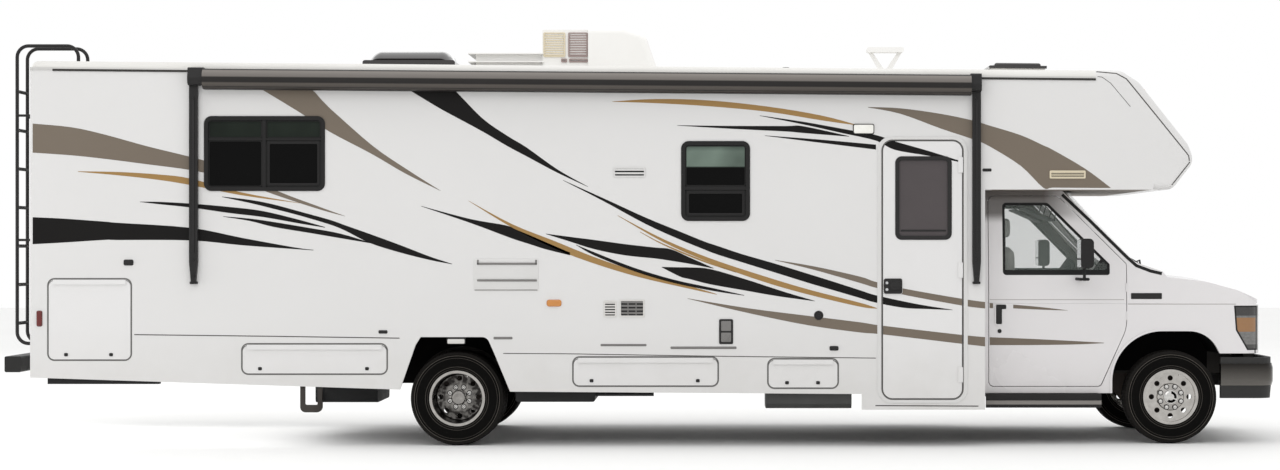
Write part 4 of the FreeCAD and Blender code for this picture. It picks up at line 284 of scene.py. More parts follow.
# ---------------------------------------------------------------- vinyl stripes
# Cut vinyl film, laid on the walls and doors by hand: a taupe, a gold and a black, each with a satin face.
# Each stripe is a run of (x, low z, high z) stations; the film is cut at the doors' edges and at the windows.
FILM, STEPS, CAB_SIDE = 0.0007, 4, 1.0
taupe_film = surface("taupe_vinyl_film", "73695d", "6b6156", 0.8, 0.45, 0.05, 0.0001, Specular_IOR_Level=0.25)
gold_film = surface("gold_vinyl_film", "9b7b4b", "927242", 0.8, 0.45, 0.05, 0.0001, Specular_IOR_Level=0.25)
black_film = surface("black_vinyl_film", "161514", "110f0f", 0.8, 0.50, 0.05, 0.0001, Specular_IOR_Level=0.12)
FILMS = {"taupe": taupe_film, "gold": gold_film, "black": black_film}
WALL_STRIPES = (
    ("rear_taupe", "taupe", ((-4.777, 2.306, 2.534), (-4.471, 2.285, 2.505), (-4.208, 2.257, 2.447),
        (-3.878, 2.215, 2.356), (-3.539, 2.170, 2.273), (-3.347, 2.127, 2.217), (-3.112, 2.060, 2.123),
        (-2.837, 1.962, 1.997), (-2.523, 1.860, 1.880), (-2.327, 1.807, 1.809))),
    ("rear_gold", "gold", ((-4.421, 2.156, 2.160), (-4.092, 2.127, 2.154), (-3.778, 2.091, 2.134),
        (-3.539, 2.052, 2.103), (-3.151, 1.974, 1.997), (-2.680, 1.909, 1.911))),
    ("rear_black", "black", ((-4.777, 1.588, 1.800), (-4.538, 1.601, 1.789), (-4.208, 1.622, 1.765),
        (-4.108, 1.621, 1.756), (-3.539, 1.618, 1.717), (-3.135, 1.580, 1.638), (-2.722, 1.550, 1.563),
        (-2.574, 1.540, 1.544))),
    ("spear_upper", "black", ((-3.292, 1.958, 1.962), (-3.072, 1.911, 1.936), (-2.900, 1.869, 1.903),
        (-2.680, 1.812, 1.844), (-2.445, 1.742, 1.779), (-2.327, 1.695, 1.737), (-2.131, 1.597, 1.668),
        (-1.896, 1.523, 1.582), (-1.661, 1.464, 1.491), (-1.488, 1.431, 1.435))),
    ("spear_middle", "black", ((-3.935, 1.919, 1.922), (-3.778, 1.901, 1.920), (-3.539, 1.876, 1.907),
        (-3.229, 1.832, 1.880), (-2.970, 1.801, 1.848), (-2.680, 1.750, 1.778), (-2.484, 1.718, 1.723))),
    ("spear_lower", "black", ((-3.284, 1.804, 1.807), (-3.072, 1.770, 1.789), (-2.884, 1.723, 1.762),
        (-2.602, 1.676, 1.715), (-2.367, 1.636, 1.672), (-2.116, 1.594, 1.597))),
    ("high_taupe", "taupe", ((-3.077, 2.860, 2.860), (-2.680, 2.620, 2.860), (-2.445, 2.468, 2.653),
        (-2.116, 2.295, 2.364), (-1.857, 2.144, 2.185), (-1.578, 2.006, 2.008))),
    ("high_black", "black", ((-1.881, 2.832, 2.828), (-1.620, 2.674, 2.828), (-1.506, 2.610, 2.828),
        (-1.253, 2.474, 2.578), (-1.052, 2.356, 2.437), (-0.905, 2.278, 2.348), (-0.657, 2.146, 2.172),
        (-0.423, 2.038, 2.041))),
    ("long_black", "black", ((-0.618, 2.088, 2.091), (-0.299, 1.925, 1.948), (0.031, 1.746, 1.797),
        (0.300, 1.624, 1.687), (0.492, 1.546, 1.609), (0.588, 1.509, 1.577), (0.778, 1.449, 1.513),
        (0.948, 1.396, 1.464), (1.068, 1.359, 1.429), (1.308, 1.284, 1.355), (1.476, 1.235, 1.303),
        (1.712, 1.166, 1.227), (1.827, 1.132, 1.190), (2.048, 1.090, 1.141), (2.237, 1.080, 1.105),
        (2.436, 1.072, 1.075))),
    ("long_gold", "gold", ((-0.189, 1.811, 1.815), (0.168, 1.605, 1.629), (0.540, 1.442, 1.476),
        (0.948, 1.296, 1.341), (1.308, 1.193, 1.233), (1.712, 1.098, 1.129), (1.845, 1.083, 1.087))),
    ("fine_gold", "gold", ((-0.014, 1.682, 1.687), (0.168, 1.582, 1.593), (0.457, 1.459, 1.473),
        (0.739, 1.365, 1.370))),
    ("door_taupe", "taupe", ((1.045, 1.462, 1.465), (1.359, 1.385, 1.413), (1.712, 1.284, 1.334),
        (1.827, 1.249, 1.295), (2.068, 1.189, 1.238), (2.519, 1.106, 1.159), (2.692, 1.084, 1.135))),
    ("low_taupe", "taupe", ((0.359, 1.161, 1.164), (0.828, 1.050, 1.087), (1.308, 0.952, 1.026),
        (1.712, 0.896, 0.976), (1.890, 0.881, 0.949), (2.519, 0.806, 0.876), (2.692, 0.787, 0.860))),
    ("mid_black", "black", ((-1.730, 1.885, 1.888), (-1.345, 1.755, 1.786), (-1.069, 1.652, 1.737),
        (-0.986, 1.622, 1.703), (-0.853, 1.580, 1.648), (-0.759, 1.550, 1.607), (-0.563, 1.501, 1.523))),
    ("mid_gold", "gold", ((-1.359, 1.927, 1.930), (-1.018, 1.719, 1.746), (-0.684, 1.554, 1.613),
        (-0.372, 1.436, 1.487), (-0.014, 1.328, 1.366), (0.378, 1.238, 1.258), (0.492, 1.213, 1.227),
        (0.588, 1.193, 1.197))),
    ("wedge_black", "black", ((-0.753, 1.668, 1.671), (-0.564, 1.609, 1.646), (-0.372, 1.549, 1.622),
        (-0.132, 1.501, 1.589), (0.108, 1.476, 1.562), (0.228, 1.458, 1.549), (0.378, 1.434, 1.483),
        (0.563, 1.397, 1.401))),
    ("thin_black", "black", ((-0.516, 1.582, 1.585), (-0.372, 1.500, 1.525), (-0.061, 1.376, 1.404),
        (0.252, 1.284, 1.310), (0.563, 1.221, 1.243), (0.803, 1.185, 1.189))),
    ("leaf_black", "black", ((0.156, 1.407, 1.410), (0.300, 1.334, 1.407), (0.378, 1.314, 1.406),
        (0.540, 1.273, 1.393), (0.828, 1.222, 1.309), (0.948, 1.200, 1.270), (1.123, 1.172, 1.213),
        (1.356, 1.141, 1.144))),
    ("top_gold", "gold", ((-0.230, 2.705, 2.708), (0.113, 2.694, 2.727), (0.526, 2.670, 2.716),
        (0.993, 2.626, 2.667), (1.406, 2.560, 2.598), (1.681, 2.521, 2.526))),
    ("top_black_one", "black", ((0.278, 2.518, 2.521), (0.691, 2.494, 2.516), (1.131, 2.472, 2.515),
        (1.268, 2.460, 2.513), (1.625, 2.432, 2.436))),
    ("top_black_two", "black", ((0.925, 2.595, 2.598), (1.268, 2.527, 2.548), (1.570, 2.460, 2.494),
        (1.837, 2.400, 2.444), (1.984, 2.328, 2.395), (2.257, 2.280, 2.317), (2.526, 2.225, 2.232))),
    ("top_black_three", "black", ((0.966, 2.438, 2.441), (1.406, 2.383, 2.408), (1.837, 2.330, 2.369))),
    ("swoosh_taupe", "taupe", ((1.774, 2.660, 2.664), (2.027, 2.611, 2.654), (2.342, 2.496, 2.611),
        (2.594, 2.412, 2.559), (2.720, 2.359, 2.521), (2.972, 2.202, 2.443), (3.147, 2.032, 2.364),
        (3.224, 2.032, 2.328), (3.476, 2.030, 2.181), (3.676, 2.029, 2.032))),
)
CAB_STRIPES = (
    ("cab_upper", "taupe", ((2.947, 1.078, 1.108), (3.161, 1.068, 1.089), (3.380, 1.061, 1.063))),
    ("cab_rear", "taupe", ((2.760, 1.081, 1.121), (2.787, 1.079, 1.119))),
    ("cab_lower", "taupe", ((2.760, 0.786, 0.849), (3.081, 0.786, 0.836), (3.439, 0.791, 0.818),
        (3.668, 0.801, 0.805))),
)


def through(stations, steps):
    """Stations on a smooth curve through the given ones, with so many steps between each pair."""
    ends = [stations[0]] + list(stations) + [stations[-1]]
    made = []
    for before, here, there, after in zip(ends, ends[1:], ends[2:], ends[3:]):
        for step in range(steps):
            t = step / steps
            made.append([here[k] * (1 + t * t * (2 * t - 3)) + there[k] * t * t * (3 - 2 * t)
                         + (there[k] - before[k]) * t * (t - 1) ** 2 * 0.5
                         + (after[k] - here[k]) * t * t * (t - 1) * 0.5 for k in range(3)])
    return made + [list(stations[-1])]


def add_stripe(shape, stations, side, face):
    """One stripe: its lower edge, drawn out upwards to its upper edge."""
    spots = [shape.verts.new((x, side * face, low)) for x, low, high in stations]
    lower = [shape.edges.new(pair) for pair in zip(spots, spots[1:])]
    raised = bmesh.ops.extrude_edge_only(shape, edges=lower)
    upper = sorted((part for part in raised["geom"] if isinstance(part, bmesh.types.BMVert)), key=lambda v: v.co.x)
    for vertex, (x, low, high) in zip(upper, sorted(stations)):
        vertex.co.z = max(high, low + 0.0002)


def cut_out(shape, x, z, keep_inside=False):
    """Cuts the film along a rectangle and keeps what is outside it, or what is inside."""
    for at, across in ((x[0], (1, 0, 0)), (x[1], (1, 0, 0)), (z[0], (0, 0, 1)), (z[1], (0, 0, 1))):
        where = (at, 0, 0) if across[0] else (0, 0, at)
        bmesh.ops.bisect_plane(shape, geom=shape.verts[:] + shape.edges[:] + shape.faces[:], plane_co=where,
                               plane_no=across, dist=0.00001)
    inside = {face for face in shape.faces if x[0] < face.calc_center_median().x < x[1]
              and z[0] < face.calc_center_median().z < z[1]}
    unwanted = [face for face in shape.faces if (face in inside) != keep_inside]
    bmesh.ops.delete(shape, geom=unwanted, context="FACES")


def opening_of(node, grow=0.0):
    """A node's (x, z) ranges, grown all round."""
    low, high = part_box(node)
    return (low.x - grow, high.x + grow), (low.z - grow, high.z + grow)


FRAME_COVER = 0.012
window_low, window_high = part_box("window_glass")
BED_GLASS_END, GALLEY_GLASS_START = -2.516, 0.340
window_holes = (
    ((window_low.x - FRAME_COVER, BED_GLASS_END + FRAME_COVER), (2.037 - FRAME_COVER, window_high.z + FRAME_COVER)),
    ((GALLEY_GLASS_START - FRAME_COVER, window_high.x + FRAME_COVER), (window_low.z - FRAME_COVER, 2.365 + FRAME_COVER)),
)
SHUT_GAP = 0.005
entry_low, entry_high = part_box("entry_door")
entry_x = (entry_low.x, entry_high.x - 0.008)
entry_z = (entry_low.z, entry_high.z)
for side, hand in ((-1, "right"), (1, "left")):
    for film, finish in FILMS.items():
        shape = bmesh.new()
        for name, colour, stations in WALL_STRIPES:
            if colour == film:
                add_stripe(shape, through(stations, STEPS), side, WALL + FILM)
        for x, z in window_holes:
            cut_out(shape, x, z)
        if side < 0:
            on_door = shape.copy()
            cut_out(shape, (entry_x[0] - SHUT_GAP, entry_x[1] + SHUT_GAP), (entry_z[0] - SHUT_GAP, entry_z[1] + SHUT_GAP))
            cut_out(on_door, entry_x, entry_z, keep_inside=True)
            cut_out(on_door, *opening_of("entry_door_glass"))
            if on_door.faces:
                put("entry_door_" + film + "_stripes", on_door, finish, "entry_door")
        put(hand + "_wall_" + film + "_stripes", shape, finish)
    shape = bmesh.new()
    for name, colour, stations in CAB_STRIPES:
        add_stripe(shape, through(stations, STEPS), side, CAB_SIDE + FILM)
    put(hand + "_cab_stripes", shape, taupe_film, hand + "_cab_door")

# ---------------------------------------------------------------- coach windows
# Sliding windows in black-painted aluminium frames, clamped to the wall, with tinted safety glass and a roller shade
# pulled a little way down inside. Each frame has an inner sash with weep slots, and a rubber glazing bead.
frame_black = surface("painted_aluminium_black", "141313", "191818", 0.2, 0.45, 0.003, 0.0001,
                 Specular_IOR_Level=0.25)
dress(frame_black, "window_frames")
glazing = surface("glazing_rubber", "141414", "1b1b1a", 0.1, 0.62, 0.002, 0.0002,
                 Specular_IOR_Level=0.25)
# Tinted glass: grey float glass, which mirrors the sky at its face and shows a grey-green shade behind its top third.
tinted = surface("tinted_safety_glass", "070707", "0b0b0b", 0.7, 0.06, 0.6, 0.0004, Specular_IOR_Level=0.06)


def shade_behind(finish, bands):
    """Shows drawn shades through dark glass, with the soft edge that depth gives them.

    Each band has its low and high edge, its strength, where it starts and ends along the coach, and its cloth's colour.
    """
    tree = finish.tree
    axes = add(tree, "ShaderNodeSeparateXYZ", {0: finish.place})
    height = axes.outputs[2]
    wave = add(tree, "ShaderNodeTexNoise", {"Vector": finish.place, "Scale": 3.0, "Detail": 2.0})
    for low, high, strength, rear, front, cloth in bands:
        foot = add(tree, "ShaderNodeMapRange", {0: height, 1: low - 0.006, 2: low + 0.006, 3: 0.0, 4: strength})
        top = add(tree, "ShaderNodeMapRange", {0: height, 1: high - 0.03, 2: high + 0.03, 3: 1.0, 4: 0.35})
        share = add(tree, "ShaderNodeMath", {0: foot.outputs[0], 1: top.outputs[0]}, operation="MULTIPLY")
        past = add(tree, "ShaderNodeMath", {0: axes.outputs[0], 1: rear}, operation="GREATER_THAN")
        short = add(tree, "ShaderNodeMath", {0: axes.outputs[0], 1: front}, operation="LESS_THAN")
        along = add(tree, "ShaderNodeMath", {0: past.outputs[0], 1: short.outputs[0]}, operation="MULTIPLY")
        there = add(tree, "ShaderNodeMath", {0: share.outputs[0], 1: along.outputs[0]}, operation="MULTIPLY")
        soft = add(tree, "ShaderNodeMath", {0: there.outputs[0], 1: wave.outputs[0]}, operation="MULTIPLY")
        mixed = add(tree, "ShaderNodeMix", {0: soft.outputs[0], 6: finish.colour, 7: linear(cloth)}, data_type="RGBA")
        finish.colour = mixed.outputs[2]
    tree.links.new(finish.colour, finish.shader.inputs["Base Color"])


shade_behind(tinted, ((2.418, 2.56, 1.0, -9.0, 0.0, "2b322c"), (2.196, 2.346, 1.0, 0.0, 9.0, "8a9c90")))
dress(tinted, "window_glass")

BEAD, SASH = 0.010, 0.020
BED_SASHES = (((-3.401, -2.976), (2.037, 2.404)), ((-2.948, -2.516), (2.037, 2.404)), ((-3.401, -2.976), (2.420, 2.561)),
              ((-2.948, -2.516), (2.420, 2.561)))
GALLEY_SASHES = (((0.340, 0.817), (1.802, 2.014)), ((0.340, 0.817), (2.042, 2.365)))
sash_face = WALL - 0.0075
for side, hand in ((-1, "right"), (1, "left")):
    beads, sashes = bmesh.new(), bmesh.new()
    for x, z in BED_SASHES + GALLEY_SASHES:
        inner = (x[0] + BEAD, x[1] - BEAD), (z[0] + BEAD, z[1] - BEAD)
        add_ring(beads, rounded(x, z, 0.020), rounded(*inner, 0.014), side, sash_face, 0.004, 0.001)
    for x, z in (BED_SASHES[1], GALLEY_SASHES[0]):
        outer = (x[0] + BEAD, x[1] - BEAD), (z[0] + BEAD, z[1] - BEAD)
        inner = (outer[0][0] + SASH, outer[0][1] - SASH), (outer[1][0] + SASH, outer[1][1] - SASH)
        add_ring(sashes, rounded(*outer, 0.012), rounded(*inner, 0.008), side, sash_face, 0.005, 0.0015)
        add_block(sashes, (x[0] + 0.05, side * (WALL - 0.006) - 0.004, z[0] + 0.014),
                  (x[0] + 0.11, side * (WALL - 0.006) + 0.006, z[0] + 0.026), 0.002)
    for x, z in ((-3.28, 2.012), (-2.64, 2.012), (0.42, 1.777), (0.70, 1.777)):
        add_plate(sashes, rounded((x, x + 0.035), (z, z + 0.010), 0.004), side, WALL + 0.0075, 0.0012, 0.0004)
    put(hand + "_glazing_beads", beads, glazing)
    put(hand + "_window_sashes", sashes, frame_black)

# ---------------------------------------------------------------- entry door
# A radiused door of bonded laminate in a white-painted aluminium frame, with a bulb seal in the shut gap, a black
# paddle latch with a keyed bolt, a framed dark window with a slide for its shade, and three lift-off hinges.
door_paint = surface("white_gelcoat_door", "d9d8d8", "d4d3d2", 1.1, 0.30, STUD_SPACING, WAVE_DEEP,
                     Coat_Weight=0.35, Coat_Roughness=0.08, IOR=1.50)
dusted(door_paint, "a9a49a", SKIRT_LOW, DUST_TOP, 0.30)
dress(door_paint, "entry_door")
white_metal = surface("painted_aluminium_white", "cfcecd", "c9c8c6", 0.3, 0.34, 0.01, 0.0001, Coat_Weight=0.2)
seal_rubber = surface("sponge_rubber", "5a5957", "646361", 0.08, 0.75, 0.002, 0.0003)
smoked = surface("smoked_acrylic", "413c3d", "504a4b", 0.45, 0.12, 0.5, 0.0004, Specular_IOR_Level=0.3)
dress(smoked, "entry_door_glass")
moulded = surface("moulded_abs_black", "1d1c1c", "252424", 0.1, 0.48, 0.0015, 0.0002,
                 Specular_IOR_Level=0.25)

OPENING_X, OPENING_Z, OPENING_CORNER = (1.887, 2.516), (0.375, 2.400), 0.080
FRAME_IN, FRAME_OUT, FRAME_PROUD, THRESHOLD = 0.009, 0.040, 0.006, 0.033


def grown(spans, by):
    return (spans[0] - by, spans[1] + by)


shape = bmesh.new()
add_ring(shape, rounded(grown(OPENING_X, FRAME_OUT), grown(OPENING_Z, THRESHOLD), OPENING_CORNER + FRAME_OUT * 0.7, 8),
         rounded(grown(OPENING_X, FRAME_IN), grown(OPENING_Z, FRAME_IN), OPENING_CORNER + FRAME_IN, 8), -1, WALL,
         FRAME_PROUD, 0.002)
put("entry_frame", shape, white_metal)
shape = bmesh.new()
add_ring(shape, rounded(grown(OPENING_X, FRAME_IN - 0.001), grown(OPENING_Z, FRAME_IN - 0.001), OPENING_CORNER + 0.008, 8),
         rounded(grown(OPENING_X, -0.0005), grown(OPENING_Z, -0.0005), OPENING_CORNER, 8), -1, WALL, 0.0015, 0.0005)
put("entry_seal", shape, seal_rubber)

glass_x, glass_z = opening_of("entry_door_glass")
shape = bmesh.new()
add_ring(shape, rounded(grown(glass_x, 0.014), grown(glass_z, 0.014), 0.052, 8),
         rounded(grown(glass_x, -0.018), grown(glass_z, -0.018), 0.026, 8), -1, WALL, 0.006, 0.002)
add_ring(shape, rounded(grown(glass_x, -0.0005), grown(glass_z, -0.0005), 0.040, 8),
         rounded(grown(glass_x, -0.016), grown(glass_z, -0.016), 0.026, 8), -1, WALL - 0.012, 0.013)
add_plate(shape, rounded((glass_x[0] + 0.03, glass_x[1] - 0.03), (glass_z[0] + 0.052, glass_z[0] + 0.066), 0.006), -1,
          WALL - 0.0095, 0.005, 0.0015)
put("entry_window_frame", shape, moulded, "entry_door")

latch_x, latch_z = (1.894, 2.044), (1.197, 1.322)
shape = bmesh.new()
bezel_face = WALL + 0.014
add_plate(shape, rounded(grown(latch_x, -0.002), grown(latch_z, -0.002), 0.017), -1, bezel_face - 0.002, 0.0035, 0.0015)
add_plate(shape, rounded((latch_x[0] + 0.052, latch_x[1] - 0.012), (latch_z[0] + 0.028, latch_z[1] - 0.026), 0.012), -1,
          bezel_face + 0.0015, 0.011, 0.004)
add_plate(shape, rounded((latch_x[0] + 0.062, latch_x[1] - 0.02), (latch_z[0] + 0.036, latch_z[0] + 0.052), 0.007), -1,
          bezel_face + 0.0125, 0.005, 0.002)
put("entry_latch", shape, moulded, "entry_door")
plated = surface("chrome_plate", "c9cacb", "bfc0c1", 0.2, 0.10, 0.05, 0.00005, Metallic=1.0)
shape = bmesh.new()
for height in (0.036, 0.088):
    middle = (latch_x[0] + 0.027, -bezel_face, latch_z[0] + height)
    add_bar(shape, middle, (middle[0], middle[1] - 0.007, middle[2]), 0.0125, 24, 0.011)
    add_bar(shape, (middle[0], middle[1] - 0.007, middle[2]), (middle[0], middle[1] - 0.009, middle[2]), 0.007, 20)
put("entry_lock_cylinders", shape, plated, "entry_door")

# ---------------------------------------------------------------- baggage doors
# Laminate-faced lids in gelcoat, hung from aluminium piano hinges along their tops, with a sponge seal round each
# opening and two black slam latches near the lower edge.
dress(door_paint, "right_trunk_door", "left_trunk_door", "right_long_door", "left_long_door", "middle_door",
      "generator_door")
LATCH_WIDE, LATCH_HIGH, LATCH_UP = 0.030, 0.026, 0.024
# node, side, latch places along x
BAGGAGE_DOORS = (
    ("right_trunk_door", -1, (-4.515, -4.162)), ("left_trunk_door", 1, (-4.515, -4.162)),
    ("right_long_door", -1, (-2.994, -2.155)), ("left_long_door", 1, (-2.994, -2.155)),
    ("middle_door", -1, (-0.394, 0.439)), ("generator_door", -1, (1.139, 1.382)),
)
for node, side, latches in BAGGAGE_DOORS:
    low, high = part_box(node)
    x, z = (low.x, high.x), (low.z, high.z)
    shape = bmesh.new()
    add_ring(shape, rounded(grown(x, SHUT_GAP + 0.0075), grown(z, SHUT_GAP + 0.0075), 0.0575, 7),
             rounded(grown(x, 0.0012), grown(z, 0.0012), 0.0462, 7), side, WALL, 0.0012, 0.0004)
    put(node + "_seal", shape, seal_rubber)
    shape = bmesh.new()
    for at in latches:
        foot = low.z + LATCH_UP
        spans = (at - LATCH_WIDE / 2, at + LATCH_WIDE / 2), (foot, foot + LATCH_HIGH)
        add_plate(shape, rounded(*spans, 0.008), side, WALL, 0.004, 0.0015)
        add_plate(shape, rounded(grown(spans[0], -0.004), grown(spans[1], -0.004), 0.006), side, WALL + 0.004, 0.004, 0.0015)
        middle = (at, side * (WALL + 0.008), foot + LATCH_HIGH / 2)
        add_bar(shape, middle, (middle[0], side * (WALL + 0.0100), middle[2]), 0.0055, 14)
    put(node + "_latches", shape, moulded, node)

# ---------------------------------------------------------------- wall fittings
# Small moulded and pressed fittings, screwed on over butyl: vents, lamps, catches, an outlet box and the water inlet.
white_abs = surface("moulded_abs_white", "cfcdca", "c8c6c2", 0.25, 0.40, 0.004, 0.0002)
grey_abs = surface("moulded_abs_grey", "757371", "6c6a68", 0.15, 0.45, 0.003, 0.0002)
cream_abs = surface("moulded_abs_cream", "d8cdb4", "cfc3a8", 0.2, 0.42, 0.003, 0.0002)
amber_lens = surface("acrylic_lens_amber", "c8853a", "b8752c", 0.06, 0.18, 0.004, 0.0005, Coat_Weight=0.5, IOR=1.49)
red_lens = surface("acrylic_lens_red", "64130f", "540f0c", 0.06, 0.22, 0.004, 0.0005, Coat_Weight=0.2, IOR=1.49)
frosted = surface("acrylic_lens_frosted", "f2f1ec", "e8e6df", 0.05, 0.32, 0.004, 0.0006, Coat_Weight=0.3, IOR=1.49)

# name, finish, (x range), (z range), corner, proud, and whether the left side has one too
PLATES = (
    ("trunk_catch", moulded, (-4.060, -3.990), (1.425, 1.464), 0.010, 0.012, True),
    ("rear_side_marker", red_lens, (-4.743, -4.704), (0.946, 1.064), 0.012, 0.014, True),
    ("long_door_catch", moulded, (-2.061, -1.998), (0.891, 0.910), 0.006, 0.012, True),
    ("middle_side_marker", amber_lens, (-0.743, -0.633), (1.103, 1.150), 0.018, 0.014, True),
    ("generator_catch", moulded, (1.476, 1.539), (0.758, 0.786), 0.008, 0.012, False),
    ("awning_arm_clip", moulded, (2.676, 2.739), (2.162, 2.178), 0.005, 0.010, False),
    ("arch_reflector", white_abs, (-1.520, -1.394), (0.812, 0.840), 0.006, 0.004, True),
    ("arch_drip_cap", grey_abs, (-1.159, -1.018), (0.846, 0.858), 0.004, 0.006, True),
    ("heater_drip_cap", grey_abs, (-0.320, 0.033), (0.792, 0.802), 0.004, 0.006, True),
    ("step_drip_cap", grey_abs, (0.229, 0.739), (0.770, 0.782), 0.004, 0.006, False),
)
for name, finish, x, z, corner, proud, both in PLATES:
    for side, hand in ((-1, "right"), (1, "left"))[:2 if both else 1]:
        shape = bmesh.new()
        add_plate(shape, rounded(grown(x, 0.004), grown(z, 0.004), corner + 0.003), side, WALL - 0.0005, 0.0025, 0.001)
        add_plate(shape, rounded(x, z, corner), side, WALL + 0.002, proud - 0.002, min(0.004, proud / 3))
        put(hand + "_" + name, shape, finish)

# The arch reflector is held by a black tab that hangs from the top of the wheel house.
TAB_X, TAB_Z, TAB_IN = (-1.530, -1.384), (0.806, 0.8605), 1.256
for side, hand in ((-1, "right"), (1, "left")):
    shape = bmesh.new()
    low, high = sorted((side * TAB_IN, side * (WALL - 0.0003)))
    add_block(shape, (TAB_X[0], low, TAB_Z[0]), (TAB_X[1], high, TAB_Z[1]), 0.002)
    put(hand + "_reflector_tab", shape, moulded)

# A refrigerator vent: a white moulded panel with two long slots, its upper one turned up at the ends.
VENT_X, VENT_Z, SLOT_X = (-1.318, -0.810), (1.222, 1.476), (-1.292, -0.822)
for side, hand in ((-1, "right"), (1, "left")):
    panel, slots = bmesh.new(), bmesh.new()
    add_plate(panel, rounded(VENT_X, VENT_Z, 0.018), side, WALL - 0.0005, 0.004, 0.0015)
    add_plate(slots, rounded(grown(VENT_X, -0.008), (1.226, 1.232), 0.002), side, WALL + 0.003, 0.003, 0.001)
    for z, ends in (((1.296, 1.312), False), ((1.427, 1.442), True)):
        add_plate(slots, rounded(SLOT_X, z, 0.005), side, WALL + 0.003, 0.006, 0.002)
        add_plate(panel, rounded(grown(SLOT_X, -0.006), (z[1] + 0.004, z[1] + 0.010), 0.002), side, WALL + 0.003, 0.004, 0.001)
        if ends:
            for x in ((SLOT_X[0], SLOT_X[0] + 0.014), (SLOT_X[1] - 0.014, SLOT_X[1])):
                add_plate(slots, rounded(x, (z[0], 1.466), 0.005), side, WALL + 0.003, 0.006, 0.002)
    put(hand + "_fridge_vent", panel, white_metal)
    put(hand + "_fridge_vent_slots", slots, grey_abs)

# Louvres: a raised surround with evenly spaced blades, dark behind.
# name, x, z, rows, surround finish, blade finish, side
LOUVRES = (
    ("furnace_intake", (-0.296, -0.202), (1.021, 1.142), 5, white_abs, white_abs, -1),
    ("furnace_exhaust", (-0.171, 0.018), (1.021, 1.150), 4, white_abs, grey_abs, -1),
    ("range_hood_vent", (-0.218, 0.025), (2.118, 2.188), 2, white_metal, white_metal, -1),
    ("bunk_vent", (3.202, 3.476), (2.107, 2.162), 3, cream_abs, cream_abs, -1),
    ("bunk_vent_left", (3.202, 3.476), (2.107, 2.162), 3, cream_abs, cream_abs, 1),
    ("bath_vent_left", (-0.171, 0.018), (1.021, 1.150), 4, white_abs, grey_abs, 1),
)
for name, x, z, rows, rim, blade, side in LOUVRES:
    surround_ring, back, blades = bmesh.new(), bmesh.new(), bmesh.new()
    add_ring(surround_ring, rounded(grown(x, 0.004), grown(z, 0.004), 0.009), rounded(grown(x, -0.008), grown(z, -0.008), 0.005),
             side, WALL - 0.0005, 0.008, 0.002)
    add_plate(back, rounded(grown(x, -0.006), grown(z, -0.006), 0.004), side, WALL - 0.0005, 0.0015)
    pitch = (z[1] - z[0] - 0.016) / rows
    for row in range(rows):
        foot = z[0] + 0.008 + pitch * row
        add_block(blades, (x[0] + 0.007, min(side * WALL, side * (WALL + 0.006)), foot + pitch * 0.42),
                  (x[1] - 0.007, max(side * WALL, side * (WALL + 0.006)), foot + pitch * 0.95), 0.0015)
    if name == "furnace_exhaust":
        for share in (1 / 3, 2 / 3):
            at = x[0] + (x[1] - x[0]) * share
            add_block(blades, (at - 0.004, side * (WALL + 0.007), z[0] + 0.007), (at + 0.004, side * WALL, z[1] - 0.007), 0.001)
    put(name + "_surround", surround_ring, rim)
    put(name + "_back", back, moulded)
    put(name + "_blades", blades, blade)

# The outlet box: a black surround, a grey spring lid above and a socket cover below.
OUTLET_X, OUTLET_Z = (0.606, 0.716), (0.805, 1.001)
shape, lids = bmesh.new(), bmesh.new()
add_plate(shape, rounded(OUTLET_X, OUTLET_Z, 0.012), -1, WALL - 0.0005, 0.008, 0.002)
for z in ((0.908, 0.986), (0.822, 0.895)):
    add_plate(lids, rounded(grown(OUTLET_X, -0.016), z, 0.008), -1, WALL + 0.007, 0.005, 0.002)
add_bar(lids, (0.661, -WALL - 0.012, 0.858), (0.661, -WALL - 0.018, 0.858), 0.024, 28, 0.022)
put("outlet_box", shape, moulded)
put("outlet_lids", lids, grey_abs)

# The city water inlet: a black round dish with a screwed cap.
INLET_X, INLET_Z = 1.387, 1.030
shape = bmesh.new()
for near, far, first, last in ((0.0, 0.005, 0.037, 0.035), (0.005, 0.009, 0.030, 0.028), (0.009, 0.016, 0.019, 0.0175)):
    add_bar(shape, (INLET_X, -WALL - near, INLET_Z), (INLET_X, -WALL - far, INLET_Z), first, 36, last)
for step in range(6):
    turn = math.radians(60 * step)
    grip = Vector((INLET_X + 0.018 * math.cos(turn), -WALL - 0.012, INLET_Z + 0.018 * math.sin(turn)))
    add_bar(shape, grip + Vector((0, 0.003, 0)), grip - Vector((0, 0.004, 0)), 0.003, 8)
put("water_inlet", shape, moulded)

# The porch lamp beside the door: a white moulded base with a frosted, ribbed lens in a black gasket.
PORCH_X, PORCH_Z = (1.659, 1.819), (2.454, 2.528)
gasket, lens_shape = bmesh.new(), bmesh.new()
add_plate(gasket, rounded(grown(PORCH_X, 0.004), grown(PORCH_Z, 0.004), 0.016), -1, WALL - 0.0005, 0.005, 0.001)
add_plate(lens_shape, rounded(grown(PORCH_X, -0.003), grown(PORCH_Z, -0.003), 0.013), -1, WALL + 0.004, 0.022, 0.007)
for step in range(9):
    at = PORCH_X[0] + 0.02 + 0.015 * step
    add_block(lens_shape, (at - 0.003, -WALL - 0.0275, PORCH_Z[0] + 0.012), (at + 0.003, -WALL - 0.02, PORCH_Z[1] - 0.012), 0.0014)
put("porch_lamp_gasket", gasket, moulded)
put("porch_lamp_lens", lens_shape, frosted)

# ---------------------------------------------------------------- rear wall
# Tail lamps in chrome-lined housings at the corners, clearance lamps along the top, and a plain plate under its lamp.
REAR = -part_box("rear_wall")[0].x


